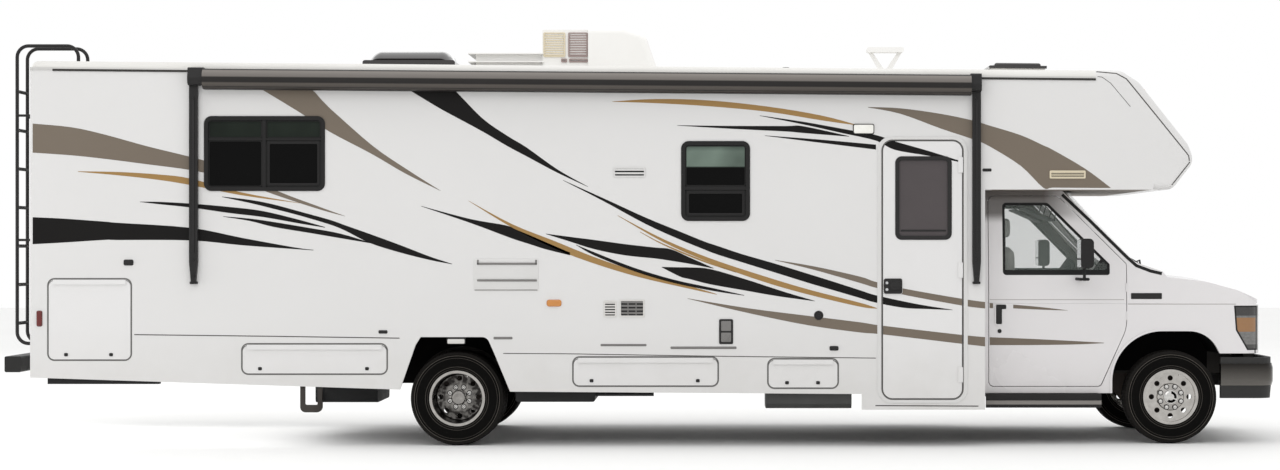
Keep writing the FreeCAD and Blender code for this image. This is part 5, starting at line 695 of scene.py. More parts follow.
def turn_to_rear(shape):
    """Turns plates made on the left-hand side to face backwards; their x becomes y."""
    swap = Matrix(((0, -1, 0, 0), (1, 0, 0, 0), (0, 0, 1, 0), (0, 0, 0, 1)))
    bmesh.ops.transform(shape, matrix=swap, verts=shape.verts)


LAMP_Y, LAMP_Z = (1.140, 1.226), (1.160, 1.530)
for sign, hand in ((-1, "right"), (1, "left")):
    span = (LAMP_Y[0], LAMP_Y[1]) if sign > 0 else (-LAMP_Y[1], -LAMP_Y[0])
    housing, red, amber, clear = (bmesh.new() for part in range(4))
    add_ring(housing, rounded(grown(span, 0.006), grown(LAMP_Z, 0.006), 0.022), rounded(grown(span, -0.004), grown(LAMP_Z, -0.004), 0.014),
             1, REAR, 0.012, 0.003)
    for part, z in ((red, (1.295, 1.524)), (clear, (1.231, 1.291)), (amber, (1.166, 1.227))):
        add_plate(part, rounded(grown(span, -0.004), z, 0.008), 1, REAR - 0.0005, 0.016, 0.004)
    for name, part, finish in (("housing", housing, plated), ("red_lens", red, red_lens), ("amber_lens", amber, amber_lens),
                               ("clear_lens", clear, frosted)):
        turn_to_rear(part)
        put("%s_tail_lamp_%s" % (hand, name), part, finish)
shape, bases = bmesh.new(), bmesh.new()
for at in (-1.16, -0.18, 0.0, 0.18, 1.16):
    add_plate(bases, rounded((at - 0.047, at + 0.047), (2.836, 2.874), 0.015), 1, REAR - 0.0005, 0.006, 0.002)
    add_plate(shape, rounded((at - 0.040, at + 0.040), (2.842, 2.868), 0.012), 1, REAR + 0.005, 0.014, 0.006)
for part, name, finish in ((shape, "rear_clearance_lenses", red_lens), (bases, "rear_clearance_bases", white_abs)):
    turn_to_rear(part)
    put(name, part, finish)
shape, plate = bmesh.new(), bmesh.new()
add_ring(shape, rounded((-0.170, 0.170), (0.905, 1.075), 0.012), rounded((-0.148, 0.148), (0.922, 1.058), 0.006), 1, REAR - 0.0005, 0.008, 0.002)
add_plate(shape, rounded((-0.060, 0.060), (1.085, 1.112), 0.008), 1, REAR - 0.0005, 0.030, 0.006)
add_plate(plate, rounded((-0.1525, 0.1525), (0.914, 1.066), 0.010), 1, REAR + 0.0005, 0.002, 0.0005)
turn_to_rear(shape)
turn_to_rear(plate)
put("plate_holder", shape, moulded)
put("blank_plate", plate, white_metal)

# ---------------------------------------------------------------- roof
# A white rubber membrane glued over the roof deck, lapped at its sides, with beads of sealant round what comes
# through it and caps over the drain vents. It chalks and gathers dust in flat places.
membrane = surface("roofing_membrane", "dfdedb", "d2d0cb", 0.7, 0.62, 0.01, 0.0004)
dress(membrane, "roof")
sealant = surface("lap_sealant", "e6e5e0", "dbd9d2", 0.05, 0.5, 0.012, 0.002)


def tree_of(node):
    """A CAD node's mesh, ready for finding points on its surface."""
    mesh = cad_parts[node].data
    return BVHTree.FromPolygons([vertex.co for vertex in mesh.vertices], [face.vertices for face in mesh.polygons])


roof_tree = tree_of("roof")


def roof_at(x, y):
    return roof_tree.ray_cast(Vector((x, y, 5.0)), Vector((0, 0, -1)))[0].z


# The (x, y) footprints of what stands on the roof: the cooler's shroud, the skylight and the vent's flange.
FOOTPRINTS = [((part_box(node)[0].x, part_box(node)[1].x), (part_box(node)[0].y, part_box(node)[1].y))
              for node in ("air_conditioner", "skylight")] + [((2.855, 3.306), (-0.223, 0.223))]
shape = bmesh.new()
for x, y in FOOTPRINTS:
    before = set(shape.verts)
    add_ring(shape, rounded(grown(x, 0.028), grown(y, 0.028), 0.05), rounded(grown(x, 0.001), grown(y, 0.001), 0.03), 1,
             0.0, 0.006, 0.0025)
    for vertex in shape.verts:
        if vertex not in before:
            proud, across = vertex.co.y, vertex.co.z
            vertex.co.y, vertex.co.z = across, roof_at(vertex.co.x, across) - 0.001 + proud
put("roof_sealant", shape, sealant)

shape = bmesh.new()
for x, y in ((-2.355, -0.50), (-3.30, 0.72), (1.15, -0.62)):
    foot = roof_at(x, y)
    add_bar(shape, (x, y, foot - 0.002), (x, y, foot + 0.008), 0.060, 28, 0.054)
    add_bar(shape, (x, y, foot + 0.008), (x, y, foot + 0.034), 0.030, 24, 0.028)
    add_bar(shape, (x, y, foot + 0.034), (x, y, foot + 0.046), 0.038, 28, 0.026)
put("drain_vent_caps", shape, moulded)

# ---------------------------------------------------------------- roof gear
# The air conditioner under its moulded shroud, with louvred side panels over the coil; a smoked skylight dome; a white
# folding aerial; and the smoked lid of the roof vent.
shroud_abs = surface("moulded_abs_shroud", "efeeec", "e6e5e2", 0.5, 0.42, 0.006, 0.0003)
dress(shroud_abs, "air_conditioner", "tv_antenna")
# Smoked acrylic, blown into a dome: near black, glossy, a little brown where the light comes through.
smoked_dome = surface("smoked_acrylic_dome", "191819", "2b2625", 0.5, 0.14, 0.4, 0.0005, IOR=1.49, Coat_Weight=0.4)
dress(smoked_dome, "skylight", "vent_lid")
mauve_coat = surface("epoxy_coated_fins", "a1908c", "8e7d7a", 0.08, 0.5, 0.004, 0.0004)
cooler_low, cooler_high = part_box("air_conditioner")
COIL_Y = 0.325
# x range, z range, fin rows and finish of each panel on the coil block, between the plates and the shroud
COIL_PANELS = (
    ((-0.835, -0.655), (3.128, 3.330), 9, cream_abs),
    ((-0.632, -0.470), (3.128, 3.330), 9, mauve_coat),
    ((-0.690, -0.640), (3.084, 3.116), 1, mauve_coat),
    ((-0.625, -0.470), (3.084, 3.116), 1, mauve_coat),
)
for number, (x, z, rows, finish) in enumerate(COIL_PANELS, 1):
    shape = bmesh.new()
    for side in (-1, 1):
        add_ring(shape, rounded(x, z, 0.010), rounded(grown(x, -0.012), grown(z, -0.010), 0.005), side, COIL_Y - 0.001, 0.012,
                 0.002)
        pitch = (z[1] - z[0] - 0.022) / rows
        for row in range(rows):
            foot = z[0] + 0.011 + pitch * row
            add_plate(shape, rounded(grown(x, -0.010), (foot, foot + pitch * 0.55), 0.003), side, COIL_Y - 0.001, 0.008, 0.002)
    put("coil_panel_%d" % number, shape, finish)

# ---------------------------------------------------------------- awning
# A box awning: a dark wrap of coated cloth round its roller under an aluminium shield, a lead rail along its lower
# edge, and black-painted arms hooked to feet on the wall.
AWNING_SLOPE, CASE_LOW, CASE_HIGH = 0.0080, 2.7726, 2.9326
case = surface("shield_and_wrap_with_painted_highlights", "3b3634", "322e2c", 0.4, 0.55, 0.004, 0.0003, Specular_IOR_Level=0.25)
axes = add(case.tree, "ShaderNodeSeparateXYZ", {0: case.place})
level = add(case.tree, "ShaderNodeMath", {0: axes.outputs[0], 1: AWNING_SLOPE, 2: axes.outputs[2]}, operation="MULTIPLY_ADD")
share = add(case.tree, "ShaderNodeMapRange", {0: level.outputs[0], 1: CASE_LOW, 2: CASE_HIGH})
bands = add(case.tree, "ShaderNodeValToRGB", {0: share.outputs[0]})
# height up the case and shade: dark lower lip, paler band, dark wrap, pale shield, dark top edge; the paler band and
# the pale shield are painted highlights where the rounded case catches the light
AWNING_BANDS_AND_HIGHLIGHTS = ((0.0, "1d1a19"), (0.10, "4a4541"), (0.28, "524d48"), (0.36, "171514"), (0.56, "1b1918"), (0.64, "736e6a"),
                (0.90, "7f7a75"), (0.96, "1e1b1a"))
bands.color_ramp.interpolation = "EASE"
while len(bands.color_ramp.elements) < len(AWNING_BANDS_AND_HIGHLIGHTS):
    bands.color_ramp.elements.new(0.5)
for stop, (at, shade) in zip(bands.color_ramp.elements, AWNING_BANDS_AND_HIGHLIGHTS):
    stop.position, stop.color = at, linear(shade)
worn = add(case.tree, "ShaderNodeMix", {0: 0.12, 6: bands.outputs[0], 7: case.colour}, data_type="RGBA")
case.tree.links.new(worn.outputs[2], case.shader.inputs["Base Color"])
dress(case, "awning_roller")
arm_paint = surface("powder_coat_black", "1b1a1a", "232222", 0.2, 0.42, 0.002, 0.0002,
                 Specular_IOR_Level=0.25)
dress(arm_paint, "awning_arms", "ladder")
case_low, case_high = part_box("awning_roller")
shape = bmesh.new()
for y, up, radius in ((-1.401, 0.024, 0.009), (-1.4185, 0.100, 0.005), (-1.330, 0.156, 0.007)):
    add_bar(shape, (case_low.x + 0.002, y, CASE_LOW + up - AWNING_SLOPE * case_low.x),
            (case_high.x - 0.002, y, CASE_LOW + up - AWNING_SLOPE * case_high.x), radius, 14)
put("awning_lead_rail", shape, arm_paint)
ARM_MIDDLES = (-3.510, 2.623)
shape = bmesh.new()
for at in ARM_MIDDLES:
    add_plate(shape, rounded((at - 0.011, at + 0.011), (1.52, 2.72), 0.008), -1, WALL + 0.039, 0.008, 0.003)
    for height in (1.34, 1.47, 2.735, 2.84):
        add_bar(shape, (at, -WALL - 0.039, height), (at, -WALL - 0.048, height), 0.011, 6)
        add_bar(shape, (at, -WALL - 0.048, height), (at, -WALL - 0.052, height), 0.006, 12)
    add_plate(shape, rounded((at - 0.030, at + 0.030), (1.276, 1.296), 0.006), -1, WALL, 0.036, 0.004)
put("awning_arm_fittings", shape, arm_paint)

# ---------------------------------------------------------------- ladder
# Bent aluminium tube, powder coated. The rungs carry ribbed grip sleeves, and the wall feet are held by screws.
ladder_low, ladder_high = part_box("ladder")
RUNG_X, RUNG_Y, RUNG_FIRST, RUNG_STEP, RUNGS = ladder_low.x + 0.014, (-1.070, -0.830), 0.962, 0.306, 7
shape = bmesh.new()
for rung in range(RUNGS):
    z = RUNG_FIRST + RUNG_STEP * rung
    for rib in range(9):
        at = RUNG_Y[0] + (RUNG_Y[1] - RUNG_Y[0]) * (rib + 0.5) / 9
        add_bar(shape, (RUNG_X, at - 0.009, z), (RUNG_X, at + 0.009, z), 0.0136, 14)
put("ladder_rung_grips", shape, glazing)

# ---------------------------------------------------------------- tyres
# Moulded light-truck radials. The tread is five ribs of separate blocks with their grooves cut askew, and the side
# walls carry a rim rib, fine rings and a scuffed shoulder. They replace the plain CAD tyres: two in front, four behind.
TYRE_AXLE_UP, TREAD_STEPS, BLOCK_DEEP, GROOVE_HALF = 0.372, 80, 0.0065, 0.0028
TREAD_EDGES = (0.0985, 0.0580, 0.0195, -0.0195, -0.0580, -0.0985)
TREAD_RADII = (0.3560, 0.3636, 0.3652, 0.3652, 0.3636, 0.3560)
TREAD_SKEW = (0.010, -0.014, 0.012, -0.012, 0.014, -0.010)
# (half width, radius) from the tread edge in to the bead, then round the inside of the carcass
WALL_LINE = ((0.1030, 0.3480), (0.1060, 0.3385), (0.1072, 0.3360), (0.1062, 0.3335), (0.1090, 0.3200), (0.1104, 0.3178),
             (0.1098, 0.3150), (0.1112, 0.2960), (0.1115, 0.2850), (0.1098, 0.2680), (0.1060, 0.2530), (0.1066, 0.2490),
             (0.1040, 0.2410), (0.0985, 0.2340), (0.0925, 0.2290), (0.0885, 0.2210), (0.0880, 0.2065))
LINER_LINE = ((0.0780, 0.2060), (0.0850, 0.2350), (0.0990, 0.2750), (0.0950, 0.3200), (0.0700, 0.3460), (0.0250, 0.3530))


def tyre_rubber(name, axle_x):
    """Black rubber, greyer and dustier out towards the tread, with painted highlights on its moulded rings; radii are
    taken from the axle's own line.
    """
    finish = surface(name, "0a0a09", "0f0e0d", 0.05, 0.80, 0.004, 0.0004, Specular_IOR_Level=0.05)
    tree = finish.tree
    centred = add(tree, "ShaderNodeVectorMath", {0: finish.place, 1: (axle_x, 0.0, TYRE_AXLE_UP)}, operation="SUBTRACT")
    flat = add(tree, "ShaderNodeVectorMath", {0: centred.outputs[0], 1: (1.0, 0.0, 1.0)}, operation="MULTIPLY")
    radius = add(tree, "ShaderNodeVectorMath", {0: flat.outputs[0]}, operation="LENGTH")
    dusty = add(tree, "ShaderNodeMapRange", {0: radius.outputs[1], 1: 0.330, 2: 0.352, 3: 0.0, 4: 0.5})
    mixed = add(tree, "ShaderNodeMix", {0: dusty.outputs[0], 6: finish.colour, 7: linear("2b2927")}, data_type="RGBA")
    # the moulded rings are painted lighter, as highlights where they catch the light: radius, half width and strength
    # of each
    shown = mixed.outputs[2]
    for at, half, strength in ((0.3360, 0.0018, 0.7), (0.3180, 0.0014, 0.45), (0.2490, 0.0016, 0.5), (0.2330, 0.0020, 0.3)):
        off = add(tree, "ShaderNodeMath", {0: radius.outputs[1], 1: at, 2: half}, operation="COMPARE")
        share = add(tree, "ShaderNodeMath", {0: off.outputs[0], 1: strength}, operation="MULTIPLY")
        shown = add(tree, "ShaderNodeMix", {0: share.outputs[0], 6: shown, 7: linear("6a655f")}, data_type="RGBA").outputs[2]
    tree.links.new(shown, finish.shader.inputs["Base Color"])
    rings = add(tree, "ShaderNodeMath", {0: radius.outputs[1], 1: 900.0}, operation="MULTIPLY")
    wave = add(tree, "ShaderNodeMath", {0: rings.outputs[0]}, operation="SINE")
    ribbed = add(tree, "ShaderNodeBump", {"Strength": 0.6, "Distance": 0.0006, "Height": wave.outputs[0],
                                          "Normal": finish.bump.outputs[0]})
    tree.links.new(ribbed.outputs[0], finish.shader.inputs["Normal"])
    return finish


def add_tyre(shape, axle_x, middle_y):
    """One tyre: half a profile drawn all round, spun, then its tread blocks raised out of the base."""
    half = list(zip(TREAD_EDGES, TREAD_RADII))
    wall = list(WALL_LINE)
    liner = list(LINER_LINE)
    loop = (half + [(-w, r) for w, r in wall] + [(-w, r) for w, r in liner] + [(w, r) for w, r in reversed(liner)]
            + [(w, r) for w, r in reversed(wall)])
    before = set(shape.verts)
    spots = [shape.verts.new((axle_x, middle_y + w, TYRE_AXLE_UP + r)) for w, r in loop]
    lines = [shape.edges.new((spots[k - 1], spots[k])) for k in range(len(spots))]
    bmesh.ops.spin(shape, geom=spots + lines, cent=(axle_x, middle_y, TYRE_AXLE_UP), axis=(0, 1, 0),
                   angle=math.tau, steps=TREAD_STEPS, use_merge=True)
    fresh = [vertex for vertex in shape.verts if vertex not in before]
    bmesh.ops.remove_doubles(shape, verts=fresh, dist=0.0001)
    fresh = {vertex for vertex in shape.verts if vertex not in before}
    faces = [face for face in shape.faces if all(vertex in fresh for vertex in face.verts)]
    bmesh.ops.recalc_face_normals(shape, faces=faces)
    centre = Vector((axle_x, middle_y, TYRE_AXLE_UP))
    outer = min(TREAD_RADII) - 0.002
    treads = []
    for face in faces:
        middle = face.calc_center_median() - centre
        if math.hypot(middle.x, middle.z) > outer:
            treads.append(face)
    for vertex in {vertex for face in treads for vertex in face.verts}:
        offset = vertex.co - centre
        skew = min(zip(TREAD_EDGES, TREAD_SKEW), key=lambda pair: abs(pair[0] - offset.y))[1]
        vertex.co = centre + Matrix.Rotation(skew * 2.0, 3, "Y") @ offset
    bmesh.ops.inset_individual(shape, faces=treads, thickness=GROOVE_HALF, depth=BLOCK_DEEP, use_even_offset=True)


# name, body, axle x, middles of its tyres across the vehicle, the node it takes the place of
TYRES = (
    ("right_front_tyre_tread", "right_front_wheel", 4.205, (-0.881,), "right_front_tyre"),
    ("left_front_tyre_tread", "left_front_wheel", 4.205, (0.881,), "left_front_tyre"),
    ("right_rear_tyre_treads", "right_rear_wheels", -1.459, (-0.843, -1.088), "right_rear_tyres"),
    ("left_rear_tyre_treads", "left_rear_wheels", -1.459, (0.843, 1.088), "left_rear_tyres"),
)
rubbers = {axle: tyre_rubber("tyre_rubber_" + name, axle) for axle, name in ((4.205, "front"), (-1.459, "rear"))}
for name, body, axle, middles, node in TYRES:
    shape = bmesh.new()
    for middle in middles:
        add_tyre(shape, axle, middle)
    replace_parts(put(name, shape, rubbers[axle], body, sharp=28.0), node)

# ---------------------------------------------------------------- wheels
# Stamped steel wheels under polished stainless liners. The front pair has a dished hub cover ringed with acorn nuts;
# the rear pair is dished inwards, with nut caps round its hub, and each wheel has a rubber valve with a metal cap.
# Polished stainless whose colour drifts between a light and a much darker grey in small patches: a painted reflection
# of dark surroundings.
liner_steel_painted_reflections = surface("polished_stainless", "c3c0bc", "918e8a", 0.05, 0.12, 0.03, 0.0003, Metallic=1.0)
dress(liner_steel_painted_reflections, "right_front_rim", "left_front_rim")
# The rear dishes are painted darker towards the holes and left bright at the lip and hub, broken into patches: painted
# shade for the depth of the dish. Their two shades also drift in small patches, as a painted reflection.
dish_shaded_steel = surface("polished_stainless_dish_shaded", "b9b6b2", "8d8a86", 0.05, 0.18, 0.03, 0.0003, Metallic=1.0)
centred = add(dish_shaded_steel.tree, "ShaderNodeVectorMath", {0: dish_shaded_steel.place, 1: (-1.459, 0.0, TYRE_AXLE_UP)},
              operation="SUBTRACT")
flat = add(dish_shaded_steel.tree, "ShaderNodeVectorMath", {0: centred.outputs[0], 1: (1.0, 0.0, 1.0)}, operation="MULTIPLY")
radius = add(dish_shaded_steel.tree, "ShaderNodeVectorMath", {0: flat.outputs[0]}, operation="LENGTH")
dish = add(dish_shaded_steel.tree, "ShaderNodeValToRGB", {0: radius.outputs[1]})
dish.color_ramp.interpolation = "EASE"
DISH_STOPS = ((0.060, 0.35), (0.105, 0.75), (0.130, 0.97), (0.180, 0.97), (0.1955, 0.85), (0.201, 0.0))
while len(dish.color_ramp.elements) < len(DISH_STOPS):
    dish.color_ramp.elements.new(0.5)
for stop, (at, share) in zip(dish.color_ramp.elements, DISH_STOPS):
    stop.position, stop.color = at, (share, share, share, 1.0)
shade_patches = add(dish_shaded_steel.tree, "ShaderNodeTexNoise", {"Vector": dish_shaded_steel.place, "Scale": 34.0, "Detail": 3.0})
broken = add(dish_shaded_steel.tree, "ShaderNodeMapRange", {0: shade_patches.outputs[0], 1: 0.42, 2: 0.56, 3: 0.72, 4: 1.0})
cover = add(dish_shaded_steel.tree, "ShaderNodeMath", {0: dish.outputs[0], 1: broken.outputs[0]}, operation="MULTIPLY")
dish_shade_mix = add(dish_shaded_steel.tree, "ShaderNodeMix", {0: cover.outputs[0], 6: dish_shaded_steel.colour, 7: linear("1d1b1a")},
                   data_type="RGBA")
dish_shaded_steel.tree.links.new(dish_shade_mix.outputs[2], dish_shaded_steel.shader.inputs["Base Color"])
dress(dish_shaded_steel, "right_rear_rims", "left_rear_rims")
nut_chrome = surface("chromed_nut_cover", "d2d1cf", "b6b4b1", 0.02, 0.12, 0.01, 0.0001, Metallic=1.0)
# side, body, axle x, the hub face's distance from the middle, radius of the nut ring, how many, valve place, its length
WHEELS = (
    (-1, "right_front_wheel", 4.205, 0.9755, 0.088, 8, (0.186, 0.936), 0.030),
    (1, "left_front_wheel", 4.205, 0.9755, 0.088, 8, (0.186, 0.936), 0.030),
    (-1, "right_rear_wheels", -1.459, 0.9765, 0.083, 8, (0.178, 0.975), 0.060),
    (1, "left_rear_wheels", -1.459, 0.9765, 0.083, 8, (0.178, 0.975), 0.060),
)
for side, body, axle, face, ring, count, valve, reach in WHEELS:
    nuts, rubber = bmesh.new(), bmesh.new()
    for step in range(count):
        turn = math.radians(360 * (step + 0.5) / count)
        x, z = axle + ring * math.cos(turn), TYRE_AXLE_UP + ring * math.sin(turn)
        add_bar(rubber, (x, side * (face - 0.010), z), (x, side * (face + 0.0015), z), 0.0215, 20)
        for near, far, first, last, sides in ((-0.002, 0.003, 0.0160, 0.0150, 20), (0.003, 0.011, 0.0115, 0.0110, 6),
                                              (0.011, 0.0145, 0.0105, 0.0040, 16)):
            add_bar(nuts, (x, side * (face + near), z), (x, side * (face + far), z), first, sides, last)
    turn = math.radians(68)
    x, z = axle + valve[0] * math.cos(turn), TYRE_AXLE_UP + valve[0] * math.sin(turn)
    add_bar(rubber, (x, side * valve[1], z), (x, side * (valve[1] + reach * 0.5), z), 0.0070, 14, 0.0050)
    add_bar(nuts, (x, side * (valve[1] + reach * 0.5), z), (x, side * (valve[1] + reach), z), 0.0044, 14, 0.0040)
    if reach < 0.05:
        for near, far, first, last in ((-0.001, 0.004, 0.058, 0.055), (0.004, 0.009, 0.050, 0.040), (0.009, 0.0115, 0.040, 0.012)):
            add_bar(nuts, (axle, side * (face + near), TYRE_AXLE_UP), (axle, side * (face + far), TYRE_AXLE_UP), first, 48, last)
    put(body + "_nuts", nuts, nut_chrome, body)
    put(body + "_valves", rubber, glazing, body)

# ---------------------------------------------------------------- seams and wheel houses
# Black butyl shows where the skirts meet the walls, under the entry door, and along the cap's seam, and a dark line
# along the cap's rounded front edge is painted shade. Black moulded tubs close the rear wheel houses over the tyres.
butyl = surface("butyl_tape", "4f4d4b", "444240", 0.1, 0.55, 0.004, 0.0003, Specular_IOR_Level=0.3)
# x and z of each seam's middle
SEAMS = (
    ("rear_skirt_seam", 0.0038, ((-3.980, 0.879), (-2.900, 0.866), (-1.900, 0.8515)), (-1, 1)),
    ("front_skirt_seam", 0.0032, ((-1.086, 0.7315), (-0.600, 0.7290), (0.570, 0.7100), (1.835, 0.6950)), (-1, 1)),
    ("threshold_seam", 0.0042, ((1.832, 0.3225), (2.640, 0.3185)), (-1,)),
)
for name, half, line, sides in SEAMS:
    for side in sides:
        shape = bmesh.new()
        add_plate(shape, [(x, z - half) for x, z in line] + [(x, z + half) for x, z in reversed(line)], side, WALL - 0.0005,
                  0.0018, 0.0005)
        put(("right_" if side < 0 else "left_") + name, shape, butyl)


def trace(shape, tree, line, half, side, proud, pitch=0.02):
    """A narrow strip laid along a line of (x, z) points, pressed on to whatever surface the tree holds."""
    last = None
    for start, end in zip(line, line[1:]):
        way = Vector((end[0] - start[0], end[1] - start[1]))
        across = Vector((-way.y, way.x)).normalized() * half
        count = max(1, round(way.length / pitch))
        for step in range(count + 1):
            at = Vector(start) + way * step / count
            pair = []
            for spot in (at - across, at + across):
                hit = tree.ray_cast(Vector((spot.x, side * 3.0, spot.y)), Vector((0, -side, 0)))[0]
                pair.append(None if hit is None else shape.verts.new((spot.x, hit.y + side * proud, spot.y)))
            if None not in pair and last and None not in last:
                shape.faces.new((last[0], pair[0], pair[1], last[1]))
            last = pair


CAP_SEAM = ((3.539, 2.907), (3.609, 2.899), (3.676, 2.852), (3.870, 2.621), (4.064, 2.389))
# The dark line along the cap's rounded front edge is painted shade, where the corner turns away from the light.
CAP_EDGE_SHADE_LINE = ((3.545, 2.945), (3.722, 2.928), (3.801, 2.885), (4.040, 2.591), (4.289, 2.283), (4.297, 2.229), (4.148, 2.040))
cap_tree = tree_of("front_cap")
for side, hand in ((-1, "right"), (1, "left")):
    shape = bmesh.new()
    trace(shape, cap_tree, CAP_SEAM, 0.0022, side, FILM)
    trace(shape, cap_tree, CAP_EDGE_SHADE_LINE, 0.0045, side, FILM)
    put(hand + "_cap_seam_and_edge_shade", shape, butyl)

# The cap's clearance lamps: five amber lenses on white bases across its brow.
shape, bases = bmesh.new(), bmesh.new()
BROW_Z = 2.800
for y in (-1.12, -0.20, 0.0, 0.20, 1.12):
    hit, normal = cap_tree.ray_cast(Vector((6.0, y, BROW_Z)), Vector((-1, 0, 0)))[:2]
    for part, wide, tall, near, far in ((bases, 0.047, 0.019, -0.002, 0.004), (shape, 0.041, 0.014, 0.003, 0.015)):
        along = Vector((0, 1, 0)).cross(normal).normalized()
        spots = []
        for across, up in rounded((-wide, wide), (-tall, tall), tall * 0.8):
            spots.append(part.verts.new(hit + Vector((0, across, 0)) + along * up + normal * near))
        raised = bmesh.ops.extrude_face_region(part, geom=[part.faces.new(spots)])
        top = [vertex for vertex in raised["geom"] if isinstance(vertex, bmesh.types.BMVert)]
        bmesh.ops.translate(part, verts=top, vec=normal * (far - near))
        caps = [made for made in raised["geom"] if isinstance(made, bmesh.types.BMFace)]
        bmesh.ops.bevel(part, geom=list({edge for cap in caps for edge in cap.edges}), offset=0.0025, offset_type="OFFSET",
                        segments=2, profile=0.5, affect="EDGES", material=-1)
put("cap_clearance_lenses", shape, amber_lens)
put("cap_clearance_bases", bases, white_abs)

# Wheel-house tubs: the outline follows the opening, and the inner wall is cut clear of the turning tyres.
tub_plastic = surface("moulded_liner_black", "0b0a0a", "131212", 0.3, 0.8, 0.004, 0.0006, Specular_IOR_Level=0.05)
TUB_LINE = ((-2.030, 0.470), (-1.893, 0.857), (-1.068, 0.857), (-0.895, 0.470))
TUB_OUT, TUB_IN, TUB_THICK, TYRE_CLEAR = 1.2605, 0.742, 0.005, 0.395
for side, hand in ((-1, "right"), (1, "left")):
    shape = bmesh.new()
    rows = [[shape.verts.new((x, side * y, z)) for x, z in TUB_LINE] for y in (TUB_OUT, TUB_IN)]
    for k in range(len(TUB_LINE) - 1):
        shape.faces.new((rows[0][k], rows[0][k + 1], rows[1][k + 1], rows[1][k]))
    low = math.asin((TUB_LINE[0][1] - TYRE_AXLE_UP) / TYRE_CLEAR)
    turns = [low + (math.pi - 2 * low) * step / 24 for step in range(25)]
    arc = [shape.verts.new((-1.459 + TYRE_CLEAR * math.cos(turn), side * TUB_IN, TYRE_AXLE_UP + TYRE_CLEAR * math.sin(turn)))
           for turn in turns]
    shape.faces.new(rows[1] + arc)
    bmesh.ops.triangulate(shape, faces=[face for face in shape.faces if len(face.verts) > 4])
    bmesh.ops.recalc_face_normals(shape, faces=shape.faces)
    bmesh.ops.solidify(shape, geom=shape.faces[:], thickness=-TUB_THICK)
    put(hand + "_wheel_house_tub", shape, tub_plastic)

# ---------------------------------------------------------------- cab body
# Pressed steel panels in a white factory enamel, with a clear gloss. Up under the overhang the enamel is darkened to
# brown: painted shade from the overhang. Inside, the cab is lined in grey cloth and board, and its wheel houses are
# black.
CAB_TILT, CAB_TILT_FROM, SCREEN_SLOPE, SCREEN_CURVE = 0.090, 1.34, 0.955, 0.225


def math_node(tree, operation, first, second=0.0, third=0.0):
    """One arithmetic node's result."""
    return add(tree, "ShaderNodeMath", {0: first, 1: second, 2: third}, operation=operation).outputs[0]


